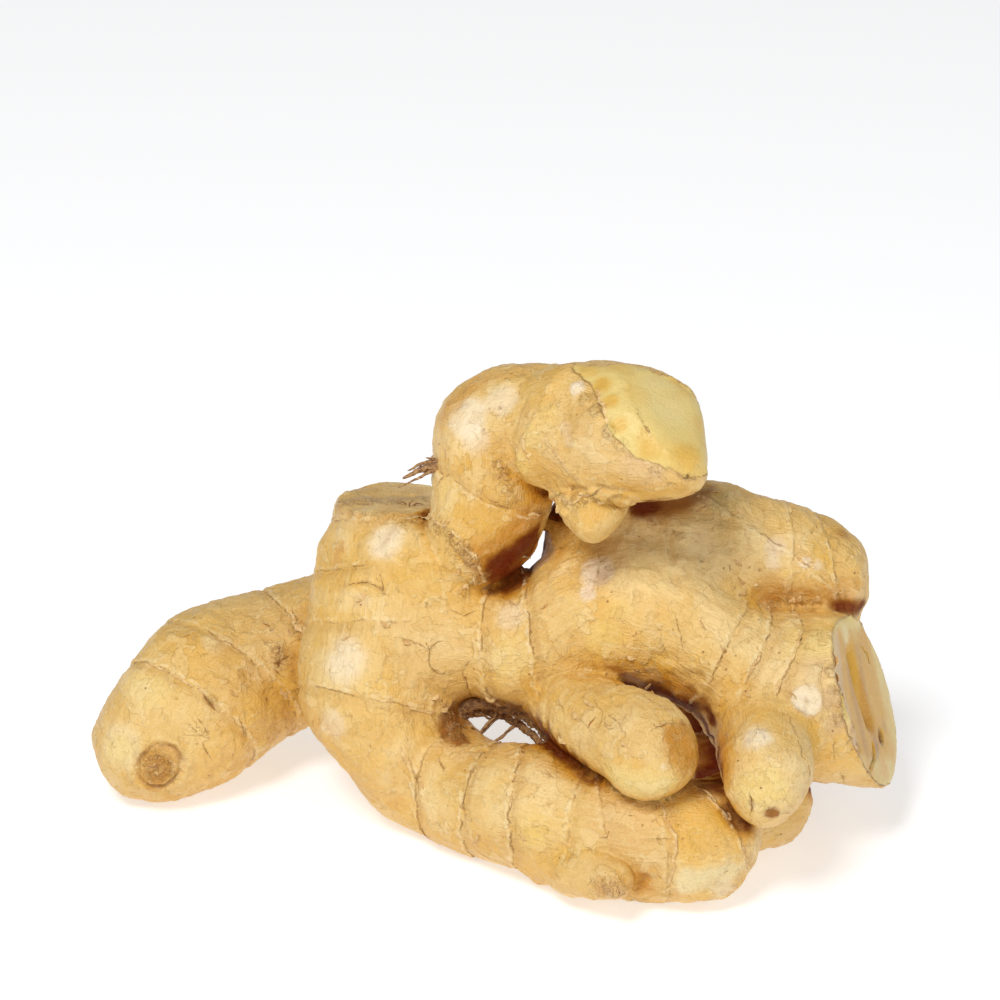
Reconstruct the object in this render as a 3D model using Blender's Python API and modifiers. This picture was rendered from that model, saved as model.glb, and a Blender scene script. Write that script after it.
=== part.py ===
"""Fresh ginger rhizome (a hand of ginger), modelled as one solid body.

A rhizome grows as one piece: a thick mother stem throws out fingers, and each
finger is a chain of swollen joints that tapers, bends and ends either in a
rounded bud or in a flat break where it was snapped from the plant.  The body
here is built the same way.  Every finger is a tapered tube swept along its own
growth line, rounded at both ends.  Breaks are plane cuts.  The tubes are fused
into one skin with a voxel remesh, and that skin is settled onto the exact
blended form, so fingers flow into each other at their roots and meet in tight
folds where they only press together.

Millimetres in the tables, metres in the mesh.  +Z is up, +X runs along the
hand, -Y is the broad front side.  The origin is on the surface it lies on,
under the middle of the body.
"""

import math

import bmesh
import bpy
import numpy as np
from mathutils import Matrix, Vector

NAME = "ginger_root"
NODE = "rhizome"
MM = 0.001

# ---------------------------------------------------------------- dimensions
VOXEL = 1.15            # mm, size of the fused skin's first mesh
STEP = 2.0              # mm, spacing of the samples along a growth line
FOLD = 2.0              # mm, how softly two branches meet where they press together
REST_DEPTH = 0.7        # mm, how far the lowest fingers are pressed flat where they lie
TRIANGLES = 7600        # triangles of the finished skin
MIDDLE = (-0.4, 0.55)   # mm, middle of the body's outline in plan

# Each finger: stations (x, y, z, radius) along its growth line, and how far it
# blends into the fingers already grown on the same branch.
FINGERS = {
    # mother stem: broad at its foot, narrowing to the stump where it was snapped
    "trunk": (3.0, [
        (-20.5, 26.0, 72.5, 10.75), (-20.5, 24.0, 63.5, 11.5), (-21.0, 22.0, 55.0, 13.25),
        (-21.5, 17.5, 46.0, 16.0), (-22.5, 13.0, 36.5, 16.25), (-24.0, 8.5, 27.0, 16.25),
        (-22.5, 4.0, 19.0, 14.5), (-18.0, 2.5, 12.0, 11.25)]),
    # scaly shoulder of the stem, wrapped round the foot of the upright finger
    "collar": (7.0, [
        (-21.0, 12.5, 56.0, 4.75), (-17.5, 10.0, 57.5, 5.5), (-14.0, 8.0, 57.0, 6.75),
        (-10.5, 8.0, 52.5, 7.0), (-8.0, 8.0, 48.0, 6.5), (-6.5, 9.0, 44.5, 5.5)]),
    # fat finger that leaves the back of the foot and lies out to -X
    "left": (3.0, [
        (-19.5, 19.5, 35.5, 13.0), (-33.5, 29.5, 28.5, 14.5), (-46.5, 29.5, 23.0, 15.5),
        (-56.5, 25.5, 20.5, 16.75), (-64.5, 19.5, 18.0, 18.25), (-70.0, 13.5, 13.5, 13.75),
        (-71.5, 12.5, 12.0, 11.25)]),
    # long finger along the ground at the front
    "lower": (5.0, [
        (-22.5, 4.5, 24.5, 12.0), (-14.5, 1.5, 14.0, 11.75), (-4.0, -8.5, 11.5, 12.0),
        (7.5, -18.5, 14.0, 13.0), (19.5, -24.5, 13.0, 13.0), (30.0, -28.5, 12.5, 12.5),
        (39.0, -30.5, 13.0, 12.25), (41.0, -30.5, 13.0, 12.0)]),
    # small side shoot at the front of that finger
    "tip_nub": (1.2, [
        (10.5, -24.5, 8.0, 6.75), (17.0, -34.5, 9.5, 5.75), (22.5, -40.5, 10.5, 4.25),
        (24.0, -41.5, 10.5, 3.5)]),
    # short bud behind its tip
    "rear_nub": (2.0, [
        (39.0, -26.5, 13.5, 8.5), (48.5, -20.5, 13.5, 8.75), (55.5, -12.5, 12.0, 9.25)]),
    # middle of the hand: a narrow neck at the stem, then a broad swollen joint
    "mid": (6.0, [
        (-17.5, 13.0, 36.5, 14.5), (-9.0, 10.5, 39.5, 13.5), (-1.5, 8.5, 40.0, 12.75),
        (5.5, 5.5, 39.25, 13.0), (13.0, 5.5, 42.0, 14.25), (23.0, 5.5, 47.0, 15.75),
        (32.0, 7.0, 48.5, 15.0), (42.0, 9.5, 49.5, 13.5)]),
    # upper finger to +X, blunt at its end
    "upper_right": (2.5, [
        (21.5, 15.0, 59.0, 11.25), (32.0, 15.5, 56.0, 14.0), (42.5, 15.5, 56.5, 14.0),
        (53.0, 13.0, 56.0, 12.0), (61.5, 12.5, 55.0, 10.75), (69.25, 12.5, 52.5, 8.75)]),
    # thin lip under its end
    "lip": (2.0, [(60.5, 9.5, 50.0, 5.25), (72.0, 9.0, 49.0, 4.5)]),
    # thickest finger, broken off square at +X
    "lower_right": (4.0, [
        (29.5, 2.0, 47.0, 14.25), (41.0, -3.5, 43.5, 12.5), (50.0, -6.0, 38.5, 13.25),
        (57.0, -5.5, 34.5, 15.75), (63.0, -6.0, 33.0, 17.0), (72.5, -4.0, 31.0, 17.0),
        (82.5, -4.5, 30.5, 17.0)]),
    # round bud hanging from the thickest finger
    "bud": (5.0, [
        (54.5, -4.0, 31.0, 9.25), (54.0, -23.5, 30.5, 9.5), (54.0, -34.0, 29.5, 8.5),
        (53.5, -36.5, 27.5, 7.0)]),
    # short finger that points forward out of the middle joint
    "mid_finger": (3.0, [
        (12.5, 0.0, 30.5, 7.0), (19.5, -15.0, 32.5, 8.5), (27.5, -28.0, 34.5, 9.5),
        (30.5, -32.5, 34.5, 9.75)]),
    # back finger that props the hand on the ground
    "heel": (4.0, [
        (35.0, 11.5, 37.0, 11.5), (39.5, 15.5, 23.5, 11.75), (44.0, 17.5, 11.0, 11.25)]),
    # upright finger beside the stump, bending over to +X
    "top": (3.0, [
        (-13.5, 11.5, 45.5, 6.25), (-10.0, 10.5, 53.0, 6.75), (-3.0, 9.0, 62.5, 10.5),
        (-0.25, 9.0, 71.5, 12.5), (-0.5, 9.5, 78.0, 12.25), (0.5, 11.0, 84.0, 12.25),
        (7.0, 9.5, 86.0, 12.75), (11.5, 7.5, 87.0, 12.0)]),
    # swollen end joint of that finger
    "top_end": (1.5, [
        (15.5, 1.5, 89.0, 12.75), (21.5, -3.5, 90.5, 13.75), (28.5, -9.0, 92.0, 13.25),
        (35.0, -13.0, 93.0, 11.75)]),
    # scaly knob under the end joint
    "knob": (1.5, [
        (19.5, 0.5, 81.5, 8.25), (19.5, -7.5, 78.0, 7.5), (19.5, -10.5, 76.0, 5.75)]),
}

# Plane cuts: finger, a point on the plane, the outward normal, edge softness.
CUTS = [
    ("trunk", (-21.0, 24.5, 63.0), (0.0, 0.12, 0.99), 1.0),        # snapped stump
    ("trunk", (-30.5, 1.5, 13.0), (-0.75, -0.27, -0.61), 3.0),     # flat flank of the foot
    ("lower_right", (76.0, -4.0, 31.0), (0.91, -0.24, 0.33), 1.0), # square break
    ("top_end", (30.5, -13.0, 102.0), (0.50, -0.32, 0.80), 3.5),   # shaved face
    ("top_end", (40.0, -1.0, 87.5), (0.99, 0.10, -0.10), 4.0),     # blunt tip
    ("upper_right", (78.0, 20.0, 47.0), (0.99, -0.10, 0.05), 3.0), # blunt tip
    ("left", (-76.0, 19.5, 27.5), (-0.83, 0.23, 0.52), 3.0),       # flat upper flank of the tip
]

# Branches: fingers that share one skin.  Branches only press together in folds.
BRANCHES = [
    ["trunk", "collar", "left", "lower", "tip_nub", "rear_nub"],
    ["trunk", "collar", "mid", "upper_right", "lip", "lower_right", "bud", "mid_finger", "heel"],
    ["top", "top_end", "knob"],
]

SKIN_COLOUR = (0.62, 0.42, 0.20, 1.0)
SKIN_ROUGHNESS = 0.55


# ------------------------------------------------------------- growth lines
def growth_line(stations):
    """Catmull-Rom samples (x, y, z, r) through a finger's stations."""
    p = np.array(stations, float)
    p = np.vstack([2 * p[0] - p[1], p, 2 * p[-1] - p[-2]])
    rows = []
    for i in range(1, len(p) - 2):
        a, b, c, d = p[i - 1:i + 3]
        n = max(2, math.ceil(np.linalg.norm(c[:3] - b[:3]) / STEP))
        for j in range(n):
            t = j / n
            rows.append(0.5 * (2 * b + (c - a) * t + (2 * a - 5 * b + 4 * c - d) * t * t
                               + (3 * b - 3 * c + d - a) * t ** 3))
    rows.append(p[-2])
    return np.array(rows)


LINES = {name: growth_line(stations) for name, (_, stations) in FINGERS.items()}


# ----------------------------------------------------------- the exact form
def blend(d, g, e, h, k, sign):
    """Smooth least (sign 1) or greatest (sign -1) of two fields with gradients."""
    t = np.clip(0.5 + 0.5 * sign * (d - e) / k, 0, 1)
    return (d * (1 - t) + e * t - sign * k * t * (1 - t),
            g * (1 - t)[:, None] + h * t[:, None])


def finger_field(name, points):
    """Signed distance to one finger, with its gradient."""
    line = LINES[name]
    best = np.full(len(points), 1e9)
    grad = np.zeros((len(points), 3))
    for a, b in zip(line[:-1], line[1:]):
        seg = b[:3] - a[:3]
        rel = points - a[:3]
        t = np.clip(rel @ seg / (seg @ seg), 0, 1)
        rel -= t[:, None] * seg
        length = np.sqrt((rel ** 2).sum(1)) + 1e-9
        dist = length - (a[3] + t * (b[3] - a[3]))
        near = dist < best
        best[near] = dist[near]
        grad[near] = rel[near] / length[near, None]
    for owner, point, normal, soft in CUTS:
        if owner == name:
            n = np.array(normal) / np.linalg.norm(normal)
            best, grad = blend(best, grad, (points - point) @ n, n[None, :].repeat(len(points), 0), soft, -1)
    return best, grad


def form_field(points):
    """Signed distance to the whole hand, with its gradient."""
    total = None
    for branch in BRANCHES:
        dist = np.full(len(points), 14.0)
        grad = np.zeros((len(points), 3))
        grad[:, 2] = 1.0
        for name in branch:
            line = LINES[name]
            reach = line[:, 3].max() + 14.0
            inside = ((points > line[:, :3].min(0) - reach) & (points < line[:, :3].max(0) + reach)).all(1)
            rows = np.nonzero(inside)[0]
            if len(rows):
                d, g = finger_field(name, points[rows])
                dist[rows], grad[rows] = blend(dist[rows], grad[rows], d, g, FINGERS[name][0], 1)
        total = (dist, grad) if total is None else blend(*total, dist, grad, FOLD, 1)
    return total


# ------------------------------------------------------------ Blender steps
def clear_scene():
    for ob in list(bpy.data.objects):
        bpy.data.objects.remove(ob, do_unlink=True)


def collection(name):
    col = bpy.data.collections.new(name)
    bpy.context.scene.collection.children.link(col)
    return col


def finger_mesh(name):
    """Tapered tube along the growth line, with rounded ends, cut at its breaks."""
    line = LINES[name]
    curve = bpy.data.curves.new(name, "CURVE")
    curve.dimensions = "3D"
    curve.bevel_depth = 1.0
    curve.bevel_resolution = 8
    curve.use_fill_caps = True
    spline = curve.splines.new("POLY")
    spline.points.add(len(line) - 1)
    for point, (x, y, z, r) in zip(spline.points, line):
        point.co = (x, y, z, 1.0)
        point.radius = r
    guide = bpy.data.objects.new(name, curve)
    bpy.context.scene.collection.objects.link(guide)
    depsgraph = bpy.context.evaluated_depsgraph_get()
    mesh = bpy.data.meshes.new_from_object(guide.evaluated_get(depsgraph))
    bpy.data.objects.remove(guide, do_unlink=True)

    bm = bmesh.new()
    bm.from_mesh(mesh)
    bmesh.ops.remove_doubles(bm, verts=bm.verts, dist=0.0001)
    for x, y, z, r in (line[0], line[-1]):
        bmesh.ops.create_uvsphere(bm, u_segments=32, v_segments=20, radius=r,
                                  matrix=Matrix.Translation((x, y, z)))
    for owner, point, normal, _ in CUTS:
        if owner == name:
            bmesh.ops.bisect_plane(bm, geom=bm.verts[:] + bm.edges[:] + bm.faces[:], dist=0.0001,
                                   plane_co=Vector(point), plane_no=Vector(normal), clear_outer=True)
            rim = [e for e in bm.edges if e.is_boundary]
            bmesh.ops.holes_fill(bm, edges=rim, sides=0)
    bm.to_mesh(mesh)
    bm.free()
    return mesh


def remesh(ob, voxel):
    """Fuse whatever the object holds into one closed skin."""
    mod = ob.modifiers.new("fuse", "REMESH")
    mod.mode = "VOXEL"
    mod.voxel_size = voxel
    mod.adaptivity = 0.0
    depsgraph = bpy.context.evaluated_depsgraph_get()
    mesh = bpy.data.meshes.new_from_object(ob.evaluated_get(depsgraph))
    ob.modifiers.remove(mod)
    old = ob.data
    ob.data = mesh
    bpy.data.meshes.remove(old)


def relax(ob, passes):
    bm = bmesh.new()
    bm.from_mesh(ob.data)
    for _ in range(passes):
        bmesh.ops.smooth_vert(bm, verts=bm.verts, factor=0.5, use_axis_x=True, use_axis_y=True, use_axis_z=True)
    bm.to_mesh(ob.data)
    bm.free()


def settle(ob, passes, reach):
    """Move the skin onto the blended form, never more than `reach` in one pass."""
    co = np.empty(len(ob.data.vertices) * 3)
    ob.data.vertices.foreach_get("co", co)
    co = co.reshape(-1, 3)
    for _ in range(passes):
        d, g = form_field(co)
        size = np.maximum((g ** 2).sum(1), 0.3)
        co -= g * (np.clip(d, -reach, reach) / size)[:, None]
    co[:, 2] = np.maximum(co[:, 2], REST_DEPTH)
    ob.data.vertices.foreach_set("co", co.ravel())
    ob.data.update()


def decimate(ob, triangles):
    """Fewer triangles where the skin is flatter."""
    count = sum(len(p.vertices) - 2 for p in ob.data.polygons)
    mod = ob.modifiers.new("thin", "DECIMATE")
    mod.decimate_type = "COLLAPSE"
    mod.ratio = triangles / count
    mod.use_collapse_triangulate = True
    depsgraph = bpy.context.evaluated_depsgraph_get()
    mesh = bpy.data.meshes.new_from_object(ob.evaluated_get(depsgraph))
    ob.modifiers.remove(mod)
    old = ob.data
    ob.data = mesh
    bpy.data.meshes.remove(old)


def press_flat(ob):
    """Exactly flat pads where the hand lies on its surface."""
    for vertex in ob.data.vertices:
        if vertex.co.z < REST_DEPTH + 0.06:
            vertex.co.z = REST_DEPTH


def main():
    clear_scene()
    body = collection(NAME)

    bm = bmesh.new()
    for name in FINGERS:
        mesh = finger_mesh(name)
        bm.from_mesh(mesh)
        bpy.data.meshes.remove(mesh)
    skin = bpy.data.meshes.new(NODE)
    bm.to_mesh(skin)
    bm.free()
    ob = bpy.data.objects.new(NODE, skin)
    body.objects.link(ob)

    remesh(ob, VOXEL)
    relax(ob, 3)
    settle(ob, 4, 1.5)
    remesh(ob, VOXEL)
    relax(ob, 2)
    settle(ob, 2, 0.4)
    remesh(ob, VOXEL)
    relax(ob, 5)
    settle(ob, 1, 0.15)
    relax(ob, 1)
    decimate(ob, TRIANGLES)
    press_flat(ob)

    # millimetres to metres, with the origin under the middle of the outline
    place = Matrix.Diagonal((MM, MM, MM, 1.0)) @ Matrix.Translation((-MIDDLE[0], -MIDDLE[1], -REST_DEPTH))
    ob.data.transform(place)

    skin_material = bpy.data.materials.new("ginger_skin")
    skin_material.use_nodes = True
    shader = skin_material.node_tree.nodes["Principled BSDF"]
    shader.inputs["Base Color"].default_value = SKIN_COLOUR
    shader.inputs["Roughness"].default_value = SKIN_ROUGHNESS
    shader.inputs["Metallic"].default_value = 0.0
    ob.data.materials.clear()
    ob.data.materials.append(skin_material)
    ob.data.shade_smooth()


main()
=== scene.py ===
"""Looks of a fresh hand of ginger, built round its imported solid.

The solid gives size, place and collision.  Here the same growth lines carry
the real skin: swollen joints between growth rings, ragged edges of dried
scale leaves, fine lengthwise wrinkles, healed bud scars, cracks, root stubs
and snapped or shaved faces of moist yellow flesh.

Tables are in millimetres, in the growing frame; SHIFT takes them to the
part's own frame.
"""

import math

import bmesh
import bpy
import numpy as np
from mathutils import Matrix, Vector
from mathutils.bvhtree import BVHTree


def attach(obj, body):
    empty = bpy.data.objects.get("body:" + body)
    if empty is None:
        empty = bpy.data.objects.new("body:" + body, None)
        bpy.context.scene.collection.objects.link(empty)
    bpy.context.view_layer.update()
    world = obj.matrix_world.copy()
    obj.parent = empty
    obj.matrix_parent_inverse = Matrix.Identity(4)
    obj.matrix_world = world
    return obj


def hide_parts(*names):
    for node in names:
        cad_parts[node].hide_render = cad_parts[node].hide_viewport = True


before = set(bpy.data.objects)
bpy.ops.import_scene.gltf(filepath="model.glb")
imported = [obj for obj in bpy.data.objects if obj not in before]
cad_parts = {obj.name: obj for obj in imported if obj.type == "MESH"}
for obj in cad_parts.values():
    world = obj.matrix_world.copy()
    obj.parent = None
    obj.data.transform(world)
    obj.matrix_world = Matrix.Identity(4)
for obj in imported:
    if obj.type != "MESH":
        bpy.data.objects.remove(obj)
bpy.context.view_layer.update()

MM = 0.001
SHIFT = np.array((0.4, -0.55, -0.7))
VOXEL = 0.46            # mm, mesh size of the skin before it is thinned
STEP = 2.0
FOLD = 1.2
SKIN_TRIANGLES = 196000

# ------------------------------------------------------------------ fingers
FINGERS = {
    # mother stem: broad at its foot, narrowing to the stump where it was snapped
    "trunk": (3.0, [
        (-20.5, 26.0, 72.5, 10.75), (-20.5, 24.0, 63.5, 11.5), (-21.0, 22.0, 55.0, 13.25),
        (-21.5, 17.5, 46.0, 16.0), (-22.5, 13.0, 36.5, 16.25), (-24.0, 8.5, 27.0, 16.25),
        (-22.5, 4.0, 19.0, 14.5), (-18.0, 2.5, 12.0, 11.25)]),
    # scaly shoulder of the stem, wrapped round the foot of the upright finger
    "collar": (7.0, [
        (-21.0, 12.5, 56.0, 4.75), (-17.5, 10.0, 57.5, 5.5), (-14.0, 8.0, 57.0, 6.75),
        (-10.5, 8.0, 52.5, 7.0), (-8.0, 8.0, 48.0, 6.5), (-6.5, 9.0, 44.5, 5.5)]),
    # fat finger that leaves the back of the foot and lies out to -X
    "left": (3.0, [
        (-19.5, 19.5, 35.5, 13.0), (-33.5, 29.5, 28.5, 14.5), (-46.5, 29.5, 23.0, 15.5),
        (-56.5, 25.5, 20.5, 16.75), (-64.5, 19.5, 18.0, 18.25), (-70.0, 13.5, 13.5, 13.75),
        (-71.5, 12.5, 12.0, 11.25)]),
    # long finger along the ground at the front
    "lower": (5.0, [
        (-22.5, 4.5, 24.5, 12.0), (-14.5, 1.5, 14.0, 11.75), (-4.0, -8.5, 11.5, 12.0),
        (7.5, -18.5, 14.0, 13.0), (19.5, -24.5, 13.0, 13.0), (30.0, -28.5, 12.5, 12.5),
        (39.0, -30.5, 13.0, 12.25), (41.0, -30.5, 13.0, 12.0)]),
    # small side shoot at the front of that finger
    "tip_nub": (1.2, [
        (10.5, -24.5, 8.0, 6.75), (17.0, -34.5, 9.5, 5.75), (22.5, -40.5, 10.5, 4.25),
        (24.0, -41.5, 10.5, 3.5)]),
    # short bud behind its tip
    "rear_nub": (2.0, [
        (39.0, -26.5, 13.5, 8.5), (48.5, -20.5, 13.5, 8.75), (55.5, -12.5, 12.0, 9.25)]),
    # middle of the hand: a narrow neck at the stem, then a broad swollen joint
    "mid": (6.0, [
        (-17.5, 13.0, 36.5, 14.5), (-9.0, 10.5, 39.5, 13.5), (-1.5, 8.5, 40.0, 12.75),
        (5.5, 5.5, 39.25, 13.0), (13.0, 5.5, 42.0, 14.25), (23.0, 5.5, 47.0, 15.75),
        (32.0, 7.0, 48.5, 15.0), (42.0, 9.5, 49.5, 13.5)]),
    # upper finger to +X, blunt at its end
    "upper_right": (2.5, [
        (21.5, 15.0, 59.0, 11.25), (32.0, 15.5, 56.0, 14.0), (42.5, 15.5, 56.5, 14.0),
        (53.0, 13.0, 56.0, 12.0), (61.5, 12.5, 55.0, 10.75), (69.25, 12.5, 52.5, 8.75)]),
    # thin lip under its end
    "lip": (2.0, [(60.5, 9.5, 50.0, 5.25), (72.0, 9.0, 49.0, 4.5)]),
    # thickest finger, broken off square at +X
    "lower_right": (4.0, [
        (29.5, 2.0, 47.0, 14.25), (41.0, -3.5, 43.5, 12.5), (50.0, -6.0, 38.5, 13.25),
        (57.0, -5.5, 34.5, 15.75), (63.0, -6.0, 33.0, 17.0), (72.5, -4.0, 31.0, 17.0),
        (82.5, -4.5, 30.5, 17.0)]),
    # round bud hanging from the thickest finger
    "bud": (5.0, [
        (54.5, -4.0, 31.0, 9.25), (54.0, -23.5, 30.5, 9.5), (54.0, -34.0, 29.5, 8.5),
        (53.5, -36.5, 27.5, 7.0)]),
    # short finger that points forward out of the middle joint
    "mid_finger": (3.0, [
        (12.5, 0.0, 30.5, 7.0), (19.5, -15.0, 32.5, 8.5), (27.5, -28.0, 34.5, 9.5),
        (30.5, -32.5, 34.5, 9.75)]),
    # back finger that props the hand on the ground
    "heel": (4.0, [
        (35.0, 11.5, 37.0, 11.5), (39.5, 15.5, 23.5, 11.75), (44.0, 17.5, 11.0, 11.25)]),
    # upright finger beside the stump, bending over to +X
    "top": (3.0, [
        (-13.5, 11.5, 45.5, 6.25), (-10.0, 10.5, 53.0, 6.75), (-3.0, 9.0, 62.5, 10.5),
        (-0.25, 9.0, 71.5, 12.5), (-0.5, 9.5, 78.0, 12.25), (0.5, 11.0, 84.0, 12.25),
        (7.0, 9.5, 86.0, 12.75), (11.5, 7.5, 87.0, 12.0)]),
    # swollen end joint of that finger
    "top_end": (1.5, [
        (15.5, 1.5, 89.0, 12.75), (21.5, -3.5, 90.5, 13.75), (28.5, -9.0, 92.0, 13.25),
        (35.0, -13.0, 93.0, 11.75)]),
    # scaly knob under the end joint
    "knob": (1.5, [
        (19.5, 0.5, 81.5, 8.25), (19.5, -7.5, 78.0, 7.5), (19.5, -10.5, 76.0, 5.75)]),
}

# Plane cuts: finger, a point on the plane, the outward normal, edge softness, what the face shows.
CUTS = [
    ("trunk", (-21.0, 24.5, 63.0), (0.0, 0.12, 0.99), 1.0, "dry"),
    ("trunk", (-30.5, 1.5, 13.0), (-0.75, -0.27, -0.61), 3.0, "skin"),
    ("lower_right", (76.0, -4.0, 31.0), (0.91, -0.24, 0.33), 1.0, "moist"),
    ("top_end", (30.5, -13.0, 102.0), (0.5, -0.32, 0.8), 3.5, "moist"),
    ("top_end", (40.0, -1.0, 87.5), (0.99, 0.1, -0.1), 4.0, "moist"),
    ("upper_right", (78.0, 20.0, 47.0), (0.99, -0.1, 0.05), 3.0, "skin"),
    ("left", (-76.0, 19.5, 27.5), (-0.83, 0.23, 0.52), 3.0, "skin"),
]

# Branches: fingers that share one skin.  Branches only press together in folds.
BRANCHES = [
    ["trunk", "collar", "left", "lower", "tip_nub", "rear_nub"],
    ["trunk", "collar", "mid", "upper_right", "lip", "lower_right", "bud", "mid_finger", "heel"],
    ["top", "top_end", "knob"],
]

# Growth rings: finger, a point on the ring, the ring plane's normal towards the tip,
# how strongly it shows, how much torn sheath is left on it.
RINGS = [
    ("left", (-43.3, 21.4, 38.9), (-0.79, -0.38, -0.49), 0.9, 0.5),
    ("left", (-54.3, 15.7, 33.1), (-0.52, -0.74, -0.43), 0.8, 0.35),
    ("left", (-60.9, 7.2, 26.2), (-0.5, -0.72, -0.49), 0.8, 0.3),
    ("trunk", (-25.8, 12.8, 63.1), (0.05, -0.26, -0.96), 0.5, 0.3),
    ("trunk", (-25.5, 5.5, 56.8), (0.0, -0.51, -0.86), 0.8, 0.1),
    ("trunk", (-30.6, 2.8, 45.3), (0.01, -0.45, -0.89), 0.6, 0.1),
    ("trunk", (-24.7, -5.6, 32.2), (-0.23, -0.5, -0.84), 0.8, 0.3),
    ("mid", (-2.2, -4.0, 40.8), (0.91, -0.39, 0.14), 0.9, 0.2),
    ("mid", (8.0, -7.7, 41.4), (0.99, -0.03, 0.14), 1.0, 0.2),
    ("mid", (21.6, -9.6, 52.2), (0.99, -0.06, 0.12), 0.35, 0.0),
    ("mid", (27.6, -11.4, 50.6), (0.99, 0.06, -0.12), 0.45, 0.0),
    ("mid", (36.8, -12.3, 51.5), (0.99, 0.14, -0.01), 0.7, 0.5),
    ("upper_right", (50.9, 6.1, 66.1), (0.57, 0.39, 0.72), 0.7, 0.3),
    ("upper_right", (60.2, 6.1, 61.4), (1.0, 0.06, -0.05), 0.5, 0.2),
    ("upper_right", (68.7, 5.6, 59.7), (0.96, 0.29, 0.05), 0.8, 0.4),
    ("lower_right", (45.4, -16.1, 46.6), (0.88, -0.22, -0.42), 0.7, 0.2),
    ("lower_right", (51.3, -17.3, 44.1), (0.89, -0.1, -0.45), 1.0, 0.5),
    ("lower_right", (59.7, -13.5, 46.6), (0.87, -0.03, -0.48), 0.9, 0.5),
    ("lower", (-15.2, -11.9, 16.2), (0.74, -0.67, 0.07), 0.8, 0.4),
    ("lower", (-5.2, -20.0, 17.6), (0.91, -0.41, -0.04), 1.0, 0.2),
    ("lower", (4.1, -25.8, 17.7), (0.98, -0.2, 0.01), 1.0, 0.2),
    ("lower", (14.1, -37.0, 14.0), (0.93, -0.36, 0.02), 0.6, 0.2),
    ("lower", (22.1, -36.4, 19.5), (0.95, -0.12, 0.28), 0.5, 0.1),
    ("lower", (34.0, -39.6, 16.5), (1.0, 0.07, 0.03), 0.5, 0.0),
    ("lower", (45.2, -34.4, 20.3), (0.78, 0.55, 0.29), 0.9, 0.8),
    ("top", (1.3, -3.0, 73.9), (0.4, 0.07, 0.91), 0.8, 0.5),
    ('heel', (38.0, 16.0, 30.0), (0.2, 0.25, -0.95), 0.8, 0.4),
    ('heel', (40.0, 16.0, 20.0), (0.25, 0.2, -0.95), 0.8, 0.3),
]

# Round marks: place, radius, kind.
SCARS = [
    (-29.1, 16.1, 64.5, 0.5, "pit"),
    (-26.6, 13.4, 64.8, 0.4, "pit"),
    (-21.0, 13.2, 65.6, 0.5, "pit"),
    (-19.3, 10.6, 65.6, 0.4, "pit"),
    (-15.5, 12.2, 66.0, 0.4, "pit"),
    (-24.4, 24.2, 63.5, 0.4, "pit"),
    (1.2, 0.9, 93.5, 0.4, "pit"),
    (-2.0, -0.1, 89.2, 0.4, "pit"),
    (33.9, -23.4, 87.7, 0.4, "pit"),
    (32.1, -23.7, 89.1, 0.3, "pit"),
    (37.5, -23.9, 89.6, 0.6, "pit"),
    (-40.5, 17.8, 34.1, 0.4, "pit"),
    (-47.1, 11.8, 23.1, 0.4, "pit"),
    (12.5, -8.5, 46.9, 0.4, "pit"),
    (41.9, 0.5, 60.4, 0.4, "pit"),
    (53.7, 1.2, 57.9, 0.4, "pit"),
    (65.1, 7.6, 63.8, 0.4, "pit"),
    (-4.8, -24.9, 14.7, 0.4, "pit"),
    (19.0, -38.3, 15.3, 0.4, "pit"),
    (-69.1, -0.2, 13.7, 5.8, "bud"),
    (-50.4, 11.5, 28.8, 2.7, "dent"),
    (62.0, -21.9, 39.9, 3.2, "root"),
    (20.7, -4.6, 59.2, 2.6, "dent"),
    (20.1, -5.1, 58.6, 0.5, "pit"),
    (56.6, 2.4, 61.1, 2.2, "dent"),
    (16.4, -9.9, 101.8, 1.8, "knob"),
    (54.3, -43.4, 26.6, 1.6, "dent"),
    (79.2, -3.2, 22.9, 1.4, "pit"),
]

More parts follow.
